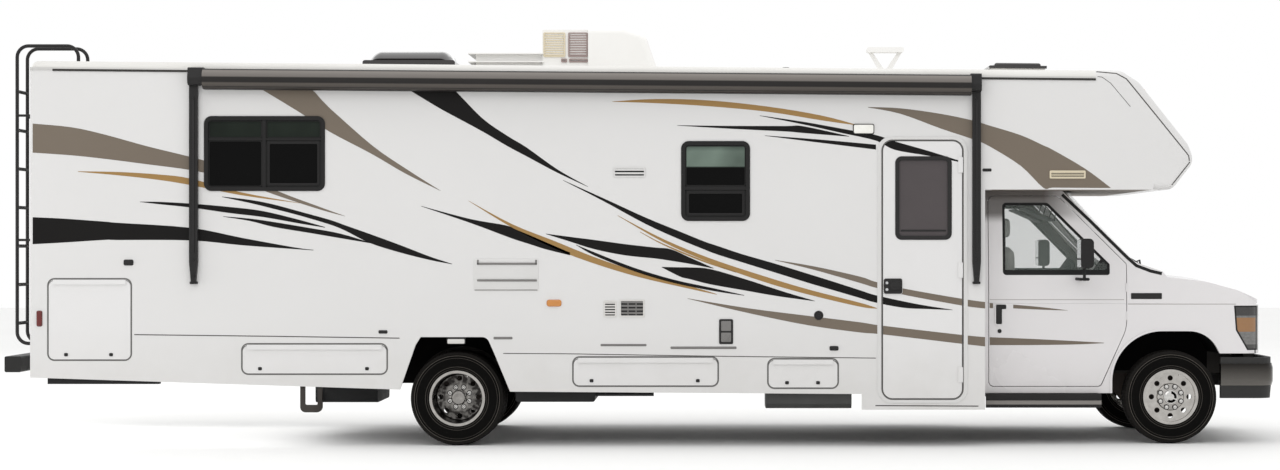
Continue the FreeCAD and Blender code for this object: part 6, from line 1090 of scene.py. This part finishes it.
def cab_enamel(name, lining_from):
    """Cab enamel with painted shade under the overhang and along its creases, that turns to grey lining inside a given
    distance from the middle, and to black in the wheel houses.
    """
    finish = surface(name, "d9d7d7", "d5d2d3", 1.2, 0.26, 0.6, 0.0003, Coat_Weight=0.6, Coat_Roughness=0.05, IOR=1.5)
    dusted(finish, "a79f97", 0.40, 0.75, 0.25)
    tree = finish.tree
    axes = add(tree, "ShaderNodeSeparateXYZ", {0: finish.place})
    x, y, z = axes.outputs
    # Painted shade: the enamel darkens to brown up under the overhang and fades out forwards along the cab.
    overhang_shade_rise = add(tree, "ShaderNodeMapRange", {0: z, 1: 1.745, 2: 1.845, 3: 0.0, 4: 0.92}, interpolation_type="SMOOTHSTEP")
    overhang_shade_reach = add(tree, "ShaderNodeMapRange", {0: x, 1: 3.20, 2: 3.55, 3: 1.0, 4: 0.0})
    film = math_node(tree, "MULTIPLY", overhang_shade_rise.outputs[0], overhang_shade_reach.outputs[0])
    overhang_shaded = add(tree, "ShaderNodeMix", {0: film, 6: finish.colour, 7: linear("453e39")}, data_type="RGBA")
    # The pressed crease along door and wing carries a painted shade line: height, half height, and where it lies along
    # the cab.
    shown = overhang_shaded.outputs[2]
    for at, half, rear, front in ((1.1475, 0.0035, 2.76, 3.83), (1.1120, 0.0040, 3.86, 4.72)):
        along = math_node(tree, "MULTIPLY", math_node(tree, "GREATER_THAN", x, rear), math_node(tree, "LESS_THAN", x, front))
        near = math_node(tree, "MULTIPLY", along, math_node(tree, "COMPARE", z, at, half))
        shown = add(tree, "ShaderNodeMix", {0: math_node(tree, "MULTIPLY", near, 0.60), 6: shown, 7: linear("7a736e")},
                    data_type="RGBA").outputs[2]
    out = math_node(tree, "ABSOLUTE", y)
    rise = math_node(tree, "MAXIMUM", math_node(tree, "SUBTRACT", z, CAB_TILT_FROM), 0.0)
    reach = math_node(tree, "MULTIPLY_ADD", rise, CAB_TILT, out)
    within = math_node(tree, "LESS_THAN", reach, lining_from)
    screen = math_node(tree, "MULTIPLY_ADD", math_node(tree, "SUBTRACT", z, 1.4), SCREEN_SLOPE, x)
    screen = math_node(tree, "MULTIPLY_ADD", math_node(tree, "MULTIPLY", y, y), SCREEN_CURVE, screen)
    behind = math_node(tree, "LESS_THAN", screen, 4.030)
    below = math_node(tree, "LESS_THAN", z, 1.985)
    lining = math_node(tree, "MULTIPLY", math_node(tree, "MULTIPLY", within, behind), below)
    lined = add(tree, "ShaderNodeMix", {0: lining, 6: shown, 7: linear("5d5a57")}, data_type="RGBA")
    house = math_node(tree, "MULTIPLY", math_node(tree, "LESS_THAN", z, 0.955), math_node(tree, "GREATER_THAN", x, 3.60))
    house = math_node(tree, "MULTIPLY", house, math_node(tree, "LESS_THAN", out, 0.968))
    house = math_node(tree, "MULTIPLY", house, math_node(tree, "LESS_THAN", x, 4.885))
    dark = add(tree, "ShaderNodeMix", {0: house, 6: lined.outputs[2], 7: linear("090808")}, data_type="RGBA")
    tree.links.new(dark.outputs[2], finish.shader.inputs["Base Color"])
    dull = math_node(tree, "MAXIMUM", lining, house)
    rough = add(tree, "ShaderNodeMix", {0: dull, 2: finish.gloss, 3: 0.8})
    tree.links.new(rough.outputs[0], finish.shader.inputs["Roughness"])
    tree.links.new(math_node(tree, "MULTIPLY_ADD", dull, -0.42, 0.5), finish.shader.inputs["Specular IOR Level"])
    coat = math_node(tree, "MULTIPLY_ADD", dull, -0.6, 0.6)
    tree.links.new(coat, finish.shader.inputs["Coat Weight"])
    return finish


dress(cab_enamel("cab_enamel", 0.955), "cab_body", "hood")
dress(cab_enamel("cab_enamel_doors", 0.972), "right_cab_door", "left_cab_door")


def pane_border(node, facing, width, start, proud):
    """A rubber seal just inside the edge of a pane's outer face, from one height off the face to another."""
    shape = bmesh.new()
    shape.from_mesh(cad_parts[node].data)
    bmesh.ops.remove_doubles(shape, verts=shape.verts, dist=0.0001)
    facing = Vector(facing).normalized()
    bmesh.ops.delete(shape, geom=[face for face in shape.faces if face.normal.dot(facing) < 0.6], context="FACES")
    made = set(bmesh.ops.inset_region(shape, faces=shape.faces[:], thickness=width, use_boundary=True,
                                      use_even_offset=True)["faces"])
    bmesh.ops.delete(shape, geom=[face for face in shape.faces if face not in made], context="FACES")
    bmesh.ops.translate(shape, verts=shape.verts, vec=facing * start)
    raised = bmesh.ops.extrude_face_region(shape, geom=shape.faces[:])
    top = [vertex for vertex in raised["geom"] if isinstance(vertex, bmesh.types.BMVert)]
    bmesh.ops.translate(shape, verts=top, vec=facing * (proud - start))
    return shape


cab_tree = tree_of("cab_body")
PILLAR_LINE = ((3.345, 1.985), (3.552, 1.788), (3.745, 1.595), (3.850, 1.490), (3.930, 1.418), (4.040, 1.376), (4.150, 1.350))
put("windshield_seal", pane_border("windshield", (0.69, 0, 0.72), 0.030, 0.0, 0.004), glazing)
for side, hand in ((-1, "right"), (1, "left")):
    door = hand + "_cab_door"
    put(hand + "_door_glass_seal", pane_border(door + "_glass", (0, side, 0), 0.021, 0.0, 0.005), glazing, door)
    # The belt moulding wipes the glass along its foot, and a sail patch fills the corner behind the mirror's stay.
    shape = bmesh.new()
    add_plate(shape, rounded((2.880, 3.705), (1.346, 1.384), 0.004), side, 0.9700, 0.0045, 0.002)
    add_plate(shape, [(3.585, 1.384), (3.708, 1.384), (3.708, 1.452), (3.664, 1.492)], side, 0.9600, 0.0060, 0.002)
    put(hand + "_belt_moulding", shape, glazing, door)
    # The door pull is a black paddle in a black escutcheon, with a keyed lock below it.
    shape = bmesh.new()
    add_plate(shape, rounded((2.808, 2.892), (1.072, 1.108), 0.010), side, 0.9985, 0.005, 0.002)
    add_plate(shape, rounded((2.808, 2.857), (0.952, 1.108), 0.012), side, 0.9985, 0.013, 0.004)
    add_plate(shape, rounded((2.815, 2.850), (0.962, 1.060), 0.008), side, 1.0105, 0.004, 0.002)
    put(hand + "_door_pull", shape, moulded, door)
    shape = bmesh.new()
    for near, far, first in ((-0.001, 0.003, 0.0165), (0.003, 0.0045, 0.0125)):
        add_bar(shape, (2.8385, side * (1.0 + near), 0.8975), (2.8385, side * (1.0 + far), 0.8975), first, 28)
    put(hand + "_door_lock", shape, moulded, door)
    # A black moulding covers the pillar's joint with the windshield, down to the wing.
    shape = bmesh.new()
    trace(shape, cab_tree, PILLAR_LINE, 0.0125, side, 0.0012)
    put(hand + "_pillar_moulding", shape, glazing)
    # A plain dark strip marks the wing, with nothing on it.
    shape = bmesh.new()
    add_plate(shape, rounded((3.885, 4.131), (1.152, 1.200), 0.006), side, 0.9935, 0.0045, 0.0015)
    put(hand + "_wing_strip", shape, moulded)
    # The mirror's glass is silvered, set in the back of its head over a shallower wide-angle glass.
    shape = bmesh.new()
    for span, high, edge in (((1.190, 1.388), (1.478, 1.622), 0.012), ((1.190, 1.388), (1.408, 1.466), 0.012)):
        spots = [shape.verts.new((3.4302, side * y, z)) for y, z in rounded(span, high, edge)]
        raised = bmesh.ops.extrude_face_region(shape, geom=[shape.faces.new(spots)])
        top = [vertex for vertex in raised["geom"] if isinstance(vertex, bmesh.types.BMVert)]
        bmesh.ops.translate(shape, verts=top, vec=(-0.0015, 0, 0))
    put(hand + "_mirror_glass", shape, plated, door)

arm_black = surface("textured_black_plastic", "171616", "201f1f", 0.05, 0.6, 0.0015, 0.0002, Specular_IOR_Level=0.25)
radiator_black = surface("radiator_core", "1c1b1a", "2a2927", 0.04, 0.55, 0.003, 0.0004, Specular_IOR_Level=0.25)
dress(arm_black, "right_mirror", "left_mirror", "grille")

# ---------------------------------------------------------------- windshield and wipers
# Laminated glass, faintly green, in a rubber seal; a louvred black cowl panel below it; and two pressed wiper arms
# that lie low across it, each with a jointed blade.
clear = surface("laminated_glass", "9aa39d", "909a94", 0.8, 0.03, 0.6, 0.0002, Alpha=0.16, Specular_IOR_Level=0.4)
dress(clear, "windshield", "right_cab_door_glass", "left_cab_door_glass")


def on_screen(y, z, off):
    """A point on the windshield's curve, so far off its face."""
    spot = Vector((4.0910 - SCREEN_SLOPE * (z - 1.4) - SCREEN_CURVE * y * y, y, z))
    return spot + Vector((1.0, 2 * SCREEN_CURVE * y, SCREEN_SLOPE)).normalized() * off


shape = bmesh.new()
for pivot, tip in (((0.62, 1.383), (-0.02, 1.492)), ((-0.13, 1.383), (-0.775, 1.470))):
    hub = on_screen(*pivot, 0.004)
    elbow = on_screen(pivot[0] * 0.55 + tip[0] * 0.45, pivot[1] * 0.45 + tip[1] * 0.55, 0.040)
    add_bar(shape, on_screen(*pivot, -0.006), on_screen(*pivot, 0.020), 0.017, 20, 0.014)
    add_bar(shape, hub + Vector((0, 0, 0.012)), elbow, 0.0100, 10, 0.0065)
    blade = [on_screen(pivot[0] + (tip[0] - pivot[0]) * (0.10 + 0.09 * step), pivot[1] + 0.008 + (tip[1] - pivot[1])
                       * (0.10 + 0.09 * step), 0.010) for step in range(11)]
    for start, end in zip(blade, blade[1:]):
        add_bar(shape, start, end, 0.0075, 8)
    add_bar(shape, elbow, blade[5], 0.0060, 8)
put("wipers", shape, arm_black)

COWL_FRONT, COWL_REAR = Vector((4.160, 0, 1.3590)), Vector((4.122, 0, 1.3690))
shape = bmesh.new()
cowl_up = (COWL_FRONT - COWL_REAR).cross(Vector((0, 1, 0))).normalized()
cowl_up *= -1 if cowl_up.z < 0 else 1
for step in range(46):
    y = -0.86 + 1.72 * step / 45
    drop = Vector((-0.012 * abs(y) ** 2, y, -0.004 * abs(y)))
    for share in (0.12, 0.58):
        start = COWL_REAR.lerp(COWL_FRONT, share) + drop
        end = COWL_REAR.lerp(COWL_FRONT, share + 0.32) + drop
        add_bar(shape, start + cowl_up * 0.002, end + cowl_up * 0.002, 0.0052, 8)
# A rubber strip along the panel's front edge seals against the hood.
strip = [COWL_FRONT + Vector((-0.012 * abs(y) ** 2, y, -0.004 * abs(y))) + cowl_up * 0.004 for y in
         (-0.86 + 1.72 * step / 45 for step in range(46))]
for start, end in zip(strip, strip[1:]):
    add_bar(shape, start, end, 0.0080, 10)
put("cowl_louvres", shape, arm_black)

# ---------------------------------------------------------------- headlamps and nose
# Wrap-round composite lamps: a clear moulded lens over a bright reflector, an amber marker at the outer corner, and a
# smoked brow. The grille is moulded in black, with a bare oval boss where a badge would sit.
lamp = surface("composite_lamp", "8d8c8a", "5b5957", 0.02, 0.12, 0.008, 0.0008, Coat_Weight=0.6, Coat_Roughness=0.03)
axes = add(lamp.tree, "ShaderNodeSeparateXYZ", {0: lamp.place})
flutes = add(lamp.tree, "ShaderNodeTexWave", {"Vector": lamp.place, "Scale": 28.0, "Distortion": 0.6}, bands_direction="Z")
fluted = add(lamp.tree, "ShaderNodeMix", {0: math_node(lamp.tree, "MULTIPLY", flutes.outputs[1], 0.55), 6: lamp.colour,
                                          7: linear("3a3937")}, data_type="RGBA")
LAMP_BANDS = ((1.020, 1.110, "1d1b1a", 0.0, 9.0), (0.892, 1.004, "94683a", 0.0, 4.884), (0.745, 0.790, "33322f", 0.0, 9.0))
shown = fluted.outputs[2]
for low, high, shade, rear, front in LAMP_BANDS:
    inside = math_node(lamp.tree, "MULTIPLY", math_node(lamp.tree, "GREATER_THAN", axes.outputs[2], low),
                       math_node(lamp.tree, "LESS_THAN", axes.outputs[2], high))
    inside = math_node(lamp.tree, "MULTIPLY", inside, math_node(lamp.tree, "LESS_THAN", axes.outputs[0], front))
    shown = add(lamp.tree, "ShaderNodeMix", {0: math_node(lamp.tree, "MULTIPLY", inside, 0.88), 6: shown, 7: linear(shade)},
                data_type="RGBA").outputs[2]
lamp.tree.links.new(shown, lamp.shader.inputs["Base Color"])
lamp.shader.inputs["Metallic"].default_value = 0.25
dress(lamp, "headlamps")
shape = bmesh.new()
for sign in (-1, 1):
    inner, outer = sorted((sign * 0.652, sign * 0.868))
    for z in (1.018, 0.888, 0.796):
        add_block(shape, (4.9215, inner, z - 0.003), (4.9255, outer, z + 0.003), 0.001)
put("lamp_divisions", shape, arm_black)
for side, hand in ((-1, "right"), (1, "left")):
    put(hand + "_lamp_gasket", pane_border("headlamps", (0, side, 0), 0.011, -0.001, 0.0025), glazing)
shape = bmesh.new()
bmesh.ops.create_cone(shape, cap_ends=True, segments=48, radius1=0.062, radius2=0.058, depth=0.010,
                      matrix=Matrix.Translation((4.933, 0.0, 0.915)) @ Matrix.Rotation(math.radians(90), 4, "Y")
                      @ Matrix.Diagonal((0.5, 1.0, 1.0, 1.0)))
put("grille_boss", shape, arm_black)
# Behind the grille the radiator stands between the frame rails, with a dark splash panel at each side of it.
shape = bmesh.new()
for sign in (-1, 1):
    for inner, outer, low, high in ((0.392, 0.900, 0.724, 1.100), (0.472, 0.900, 0.480, 0.724)):
        near, far = sorted((sign * inner, sign * outer))
        add_block(shape, (4.796, near, low), (4.804, far, high), 0.002)
put("splash_panels", shape, arm_black)
shape = bmesh.new()
add_block(shape, (4.782, -0.392, 0.560), (4.812, 0.392, 1.100), 0.003)
for sign in (-1, 1):
    near, far = sorted((sign * 0.345, sign * 0.392))
    add_block(shape, (4.774, near, 0.556), (4.822, far, 1.104), 0.006)
for row in range(24):
    z = 0.575 + 0.0222 * row
    add_bar(shape, Vector((4.8155, -0.340, z)), Vector((4.8155, 0.340, z)), 0.0045, 6)
put("radiator", shape, radiator_black)

# ---------------------------------------------------------------- bumper and steps
# The front bumper is pressed steel, plated on its face, between a rubber top pad and a black air dam; its plated face
# carries a painted reflection, darker towards the top. The cab steps are black boards with a ribbed tread, and a grey
# band painted along them as a highlight.
chrome = surface("bumper_chrome", "8f8d8a", "7b7976", 0.35, 0.14, 0.05, 0.0004, Metallic=1.0)
axes = add(chrome.tree, "ShaderNodeSeparateXYZ", {0: chrome.place})
face = math_node(chrome.tree, "MULTIPLY", math_node(chrome.tree, "GREATER_THAN", axes.outputs[2], 0.4655),
                 math_node(chrome.tree, "LESS_THAN", axes.outputs[2], 0.6385))
# Painted reflection: the plated face grades from mid grey at its foot to near black at its top.
reflection_grade = add(chrome.tree, "ShaderNodeMapRange", {0: axes.outputs[2], 1: 0.47, 2: 0.63, 3: 0.15, 4: 1.0})
painted_reflection = add(chrome.tree, "ShaderNodeMix", {0: reflection_grade.outputs[0], 6: linear("6e6b67"), 7: linear("2d2b29")}, data_type="RGBA")
steel = add(chrome.tree, "ShaderNodeMix", {0: face, 6: linear("171615"), 7: painted_reflection.outputs[2]}, data_type="RGBA")
chrome.tree.links.new(steel.outputs[2], chrome.shader.inputs["Base Color"])
chrome.tree.links.new(face, chrome.shader.inputs["Metallic"])
chrome.tree.links.new(math_node(chrome.tree, "MULTIPLY_ADD", face, -0.45, 0.60), chrome.shader.inputs["Roughness"])
dress(chrome, "front_bumper")
shape = bmesh.new()
for sign in (-1, 1):
    for y in (0.42, 0.50):
        add_bar(shape, (5.012, sign * y, 0.6645), (5.0215, sign * y, 0.6645), 0.010, 16, 0.008)
put("bumper_pad_buttons", shape, arm_black)

board = surface("step_board", "181717", "211f1f", 0.1, 0.55, 0.003, 0.0003, Specular_IOR_Level=0.25)
# A grey band along the board's edge is a painted highlight, where the edge would catch the light.
axes = add(board.tree, "ShaderNodeSeparateXYZ", {0: board.place})
highlight_band = math_node(board.tree, "MULTIPLY", math_node(board.tree, "GREATER_THAN", axes.outputs[2], 0.318),
                 math_node(board.tree, "LESS_THAN", axes.outputs[2], 0.352))
highlighted_board = add(board.tree, "ShaderNodeMix", {0: highlight_band, 6: board.colour, 7: linear("7f7b77")}, data_type="RGBA")
board.tree.links.new(highlighted_board.outputs[2], board.shader.inputs["Base Color"])
dress(board, "running_boards")
shape = bmesh.new()
for side in (-1, 1):
    for row in range(4):
        y = side * (1.018 + 0.014 * row)
        add_bar(shape, (2.745, y, 0.4030), (3.615, y, 0.4030), 0.0030, 8)
    add_block(shape, (2.7255, min(side * 1.0735, side * 1.0775), 0.3500), (3.6355, max(side * 1.0735, side * 1.0775), 0.3560),
              0.001)
put("step_treads", shape, arm_black)

# ---------------------------------------------------------------- cab interior
# Two captain's chairs in woven cloth, sewn in three channels over foam, on black pedestals; grey sun visors on wire
# stays; and a soft moulded dash with its wheel.
dash = surface("soft_dash_vinyl", "3b3a3a", "323131", 0.2, 0.65, 0.002, 0.0003, Specular_IOR_Level=0.3)
dress(dash, "dashboard")
seat_cloth = surface("woven_seat_cloth", "b3b1ad", "a5a39f", 0.4, 0.88, 0.0016, 0.0004, Sheen_Weight=0.3)
SWELL_CAP, FOAM_VOXEL = 0.022, 0.010


def swollen(name, blocks, channels, along, seed):
    """A foam cushion: blocks joined by a remesh, filled by cloth pressure, then sewn down along its channels."""
    shape = bmesh.new()
    for low, high, rounding in blocks:
        add_block(shape, low, high, rounding, 3)
    mesh = bpy.data.meshes.new(name)
    shape.to_mesh(mesh)
    shape.free()
    foam = bpy.data.objects.new(name, mesh)
    bpy.context.scene.collection.objects.link(foam)
    join = foam.modifiers.new("join", "REMESH")
    join.mode, join.voxel_size, join.use_smooth_shade = "VOXEL", FOAM_VOXEL, True
    bpy.context.view_layer.update()
    skin = bpy.data.meshes.new_from_object(foam.evaluated_get(bpy.context.evaluated_depsgraph_get()))
    foam.modifiers.clear()
    foam.data = skin
    start = [vertex.co.copy() for vertex in skin.vertices]
    random.seed(seed)
    cloth = foam.modifiers.new("fill", "CLOTH")
    cloth.settings.use_pressure, cloth.settings.uniform_pressure_force = True, 4.0
    cloth.settings.effector_weights.gravity = 0.0
    for step in range(1, 21):
        bpy.context.scene.frame_set(step)
    filled = foam.evaluated_get(bpy.context.evaluated_depsgraph_get()).data
    ends = [vertex.co.copy() for vertex in filled.vertices]
    foam.modifiers.clear()
    bpy.context.scene.frame_set(1)
    for vertex, before, after in zip(skin.vertices, start, ends):
        move = after - before
        vertex.co = before + move * min(1.0, SWELL_CAP / max(move.length, 1e-6))
    middle = sum((vertex.co for vertex in skin.vertices), Vector()) / len(skin.vertices)
    for vertex in skin.vertices:
        out = vertex.co[along] - middle[along]
        for at in channels:
            share = math.exp(-((vertex.co.y - at) / 0.009) ** 2) * (1.0 if out > 0.02 else 0.0)
            vertex.co[along] -= 0.010 * share
    skin.materials.clear()
    skin.materials.append(seat_cloth.material)
    skin.shade_smooth()
    fine = foam.modifiers.new("smooth", "SUBSURF")
    fine.levels = fine.render_levels = 1
    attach(foam, "coach")
    return foam


seat_parts = []
for side, hand in ((-1, "right"), (1, "left")):
    near, far = sorted((side * 0.262, side * 0.698))
    middle = side * 0.480
    seat_parts.append(swollen(hand + "_seat_cushion", [((2.945, near, 0.962), (3.368, far, 1.098), 0.035)],
                              (middle - 0.095, middle + 0.095), 2, 11))
    seat_parts.append(swollen(hand + "_seat_back", [((2.892, near, 1.130), (2.982, far, 1.560), 0.035),
                                                    ((2.892, near + 0.05, 1.500), (2.978, far - 0.05, 1.590), 0.035)],
                              (middle - 0.090, middle + 0.090), 0, 12))
    seat_parts.append(swollen(hand + "_head_rest", [((2.894, middle - 0.110, 1.645), (2.974, middle + 0.110, 1.798), 0.030)],
                              (), 0, 13))
    shape = bmesh.new()
    add_block(shape, (2.935, near + 0.05, 0.762), (3.345, far - 0.05, 0.930), 0.012)
    add_block(shape, (2.905, near + 0.02, 0.925), (3.360, far - 0.02, 0.950), 0.008)
    for y in (middle - 0.06, middle + 0.06):
        add_bar(shape, (2.934, y, 1.570), (2.934, y, 1.670), 0.006, 12)
    for y in (near + 0.004, far - 0.004):
        add_block(shape, (2.905, y - 0.006, 0.935), (2.965, y + 0.006, 1.190), 0.004)
    seat_parts.append(put(hand + "_seat_pedestal", shape, arm_black))
    shape = bmesh.new()
    add_block(shape, (3.090, min(side * 0.16, side * 0.62), -0.007), (3.345, max(side * 0.16, side * 0.62), 0.007), 0.005)
    turn = Matrix.Translation((3.2175, 0, 1.832)) @ Matrix.Rotation(math.radians(24), 4, "Y") @ Matrix.Translation((-3.2175, 0, 0))
    bmesh.ops.transform(shape, matrix=turn, verts=shape.verts)
    for y in (0.22, 0.56):
        add_bar(shape, (3.330, side * y, 1.786), (3.395, side * y, 1.990), 0.0045, 8)
    put(hand + "_sun_visor", shape, dash)
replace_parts(seat_parts[0], "cab_seats")

# ---------------------------------------------------------------- running gear
# Welded and cast steel under black chassis wax, greyed with road dust: the ladder frame, axles, engine, exhaust, rear
# bumper and hitch; moulded tanks; the generator in its steel case; and the boxes that hang inside the skirts.
chassis_wax = surface("waxed_steel", "1c1b1a", "2a2725", 0.25, 0.62, 0.006, 0.0006, Specular_IOR_Level=0.3)
dusted(chassis_wax, "6f675e", 0.20, 0.90, 0.35)
dress(chassis_wax, "chassis_frame")
bumper_paint = surface("textured_bumper_paint", "171716", "222120", 0.1, 0.55, 0.002, 0.0003, Specular_IOR_Level=0.3)
dress(bumper_paint, "rear_bumper")
cast_iron = surface("cast_iron", "3a3431", "4c3f37", 0.06, 0.72, 0.004, 0.0008)
dress(cast_iron, "right_steering_knuckle", "left_steering_knuckle", "front_axle", "rear_axle", "engine_block")
pipe_steel = surface("aluminised_steel", "77726c", "5f564e", 0.12, 0.45, 0.01, 0.0004, Metallic=0.8)
dress(pipe_steel, "exhaust_pipe")
tank_plastic = surface("rotomoulded_plastic", "19191a", "222223", 0.2, 0.58, 0.004, 0.0004, Specular_IOR_Level=0.3)
dress(tank_plastic, "tanks")
case_steel = surface("generator_case", "3c3c3b", "2f2f2e", 0.15, 0.5, 0.004, 0.0003)
dress(case_steel, "generator")
box_plastic = surface("thermoformed_box", "5c5b59", "4f4e4c", 0.4, 0.6, 0.004, 0.0004)
dress(box_plastic, "storage_boxes")
ply = surface("sealed_plywood", "2a2521", "352e28", 0.5, 0.7, 0.01, 0.0006, Specular_IOR_Level=0.3)
dress(ply, "house_floor")
bunk_board = surface("vinyl_faced_board", "8f857b", "857b71", 0.6, 0.6, 0.004, 0.0004)
# The return beside the cab is faced with the walls' own white laminate.
axes = add(bunk_board.tree, "ShaderNodeSeparateXYZ", {0: bunk_board.place})
beside = math_node(bunk_board.tree, "GREATER_THAN", math_node(bunk_board.tree, "ABSOLUTE", axes.outputs[1]), 1.005)
beside = math_node(bunk_board.tree, "MULTIPLY", beside, math_node(bunk_board.tree, "LESS_THAN", axes.outputs[0], 2.760))
faced = add(bunk_board.tree, "ShaderNodeMix", {0: beside, 6: bunk_board.colour, 7: linear("d6d5d4")}, data_type="RGBA")
bunk_board.tree.links.new(faced.outputs[2], bunk_board.shader.inputs["Base Color"])
dress(bunk_board, "bunk_and_bulkhead")
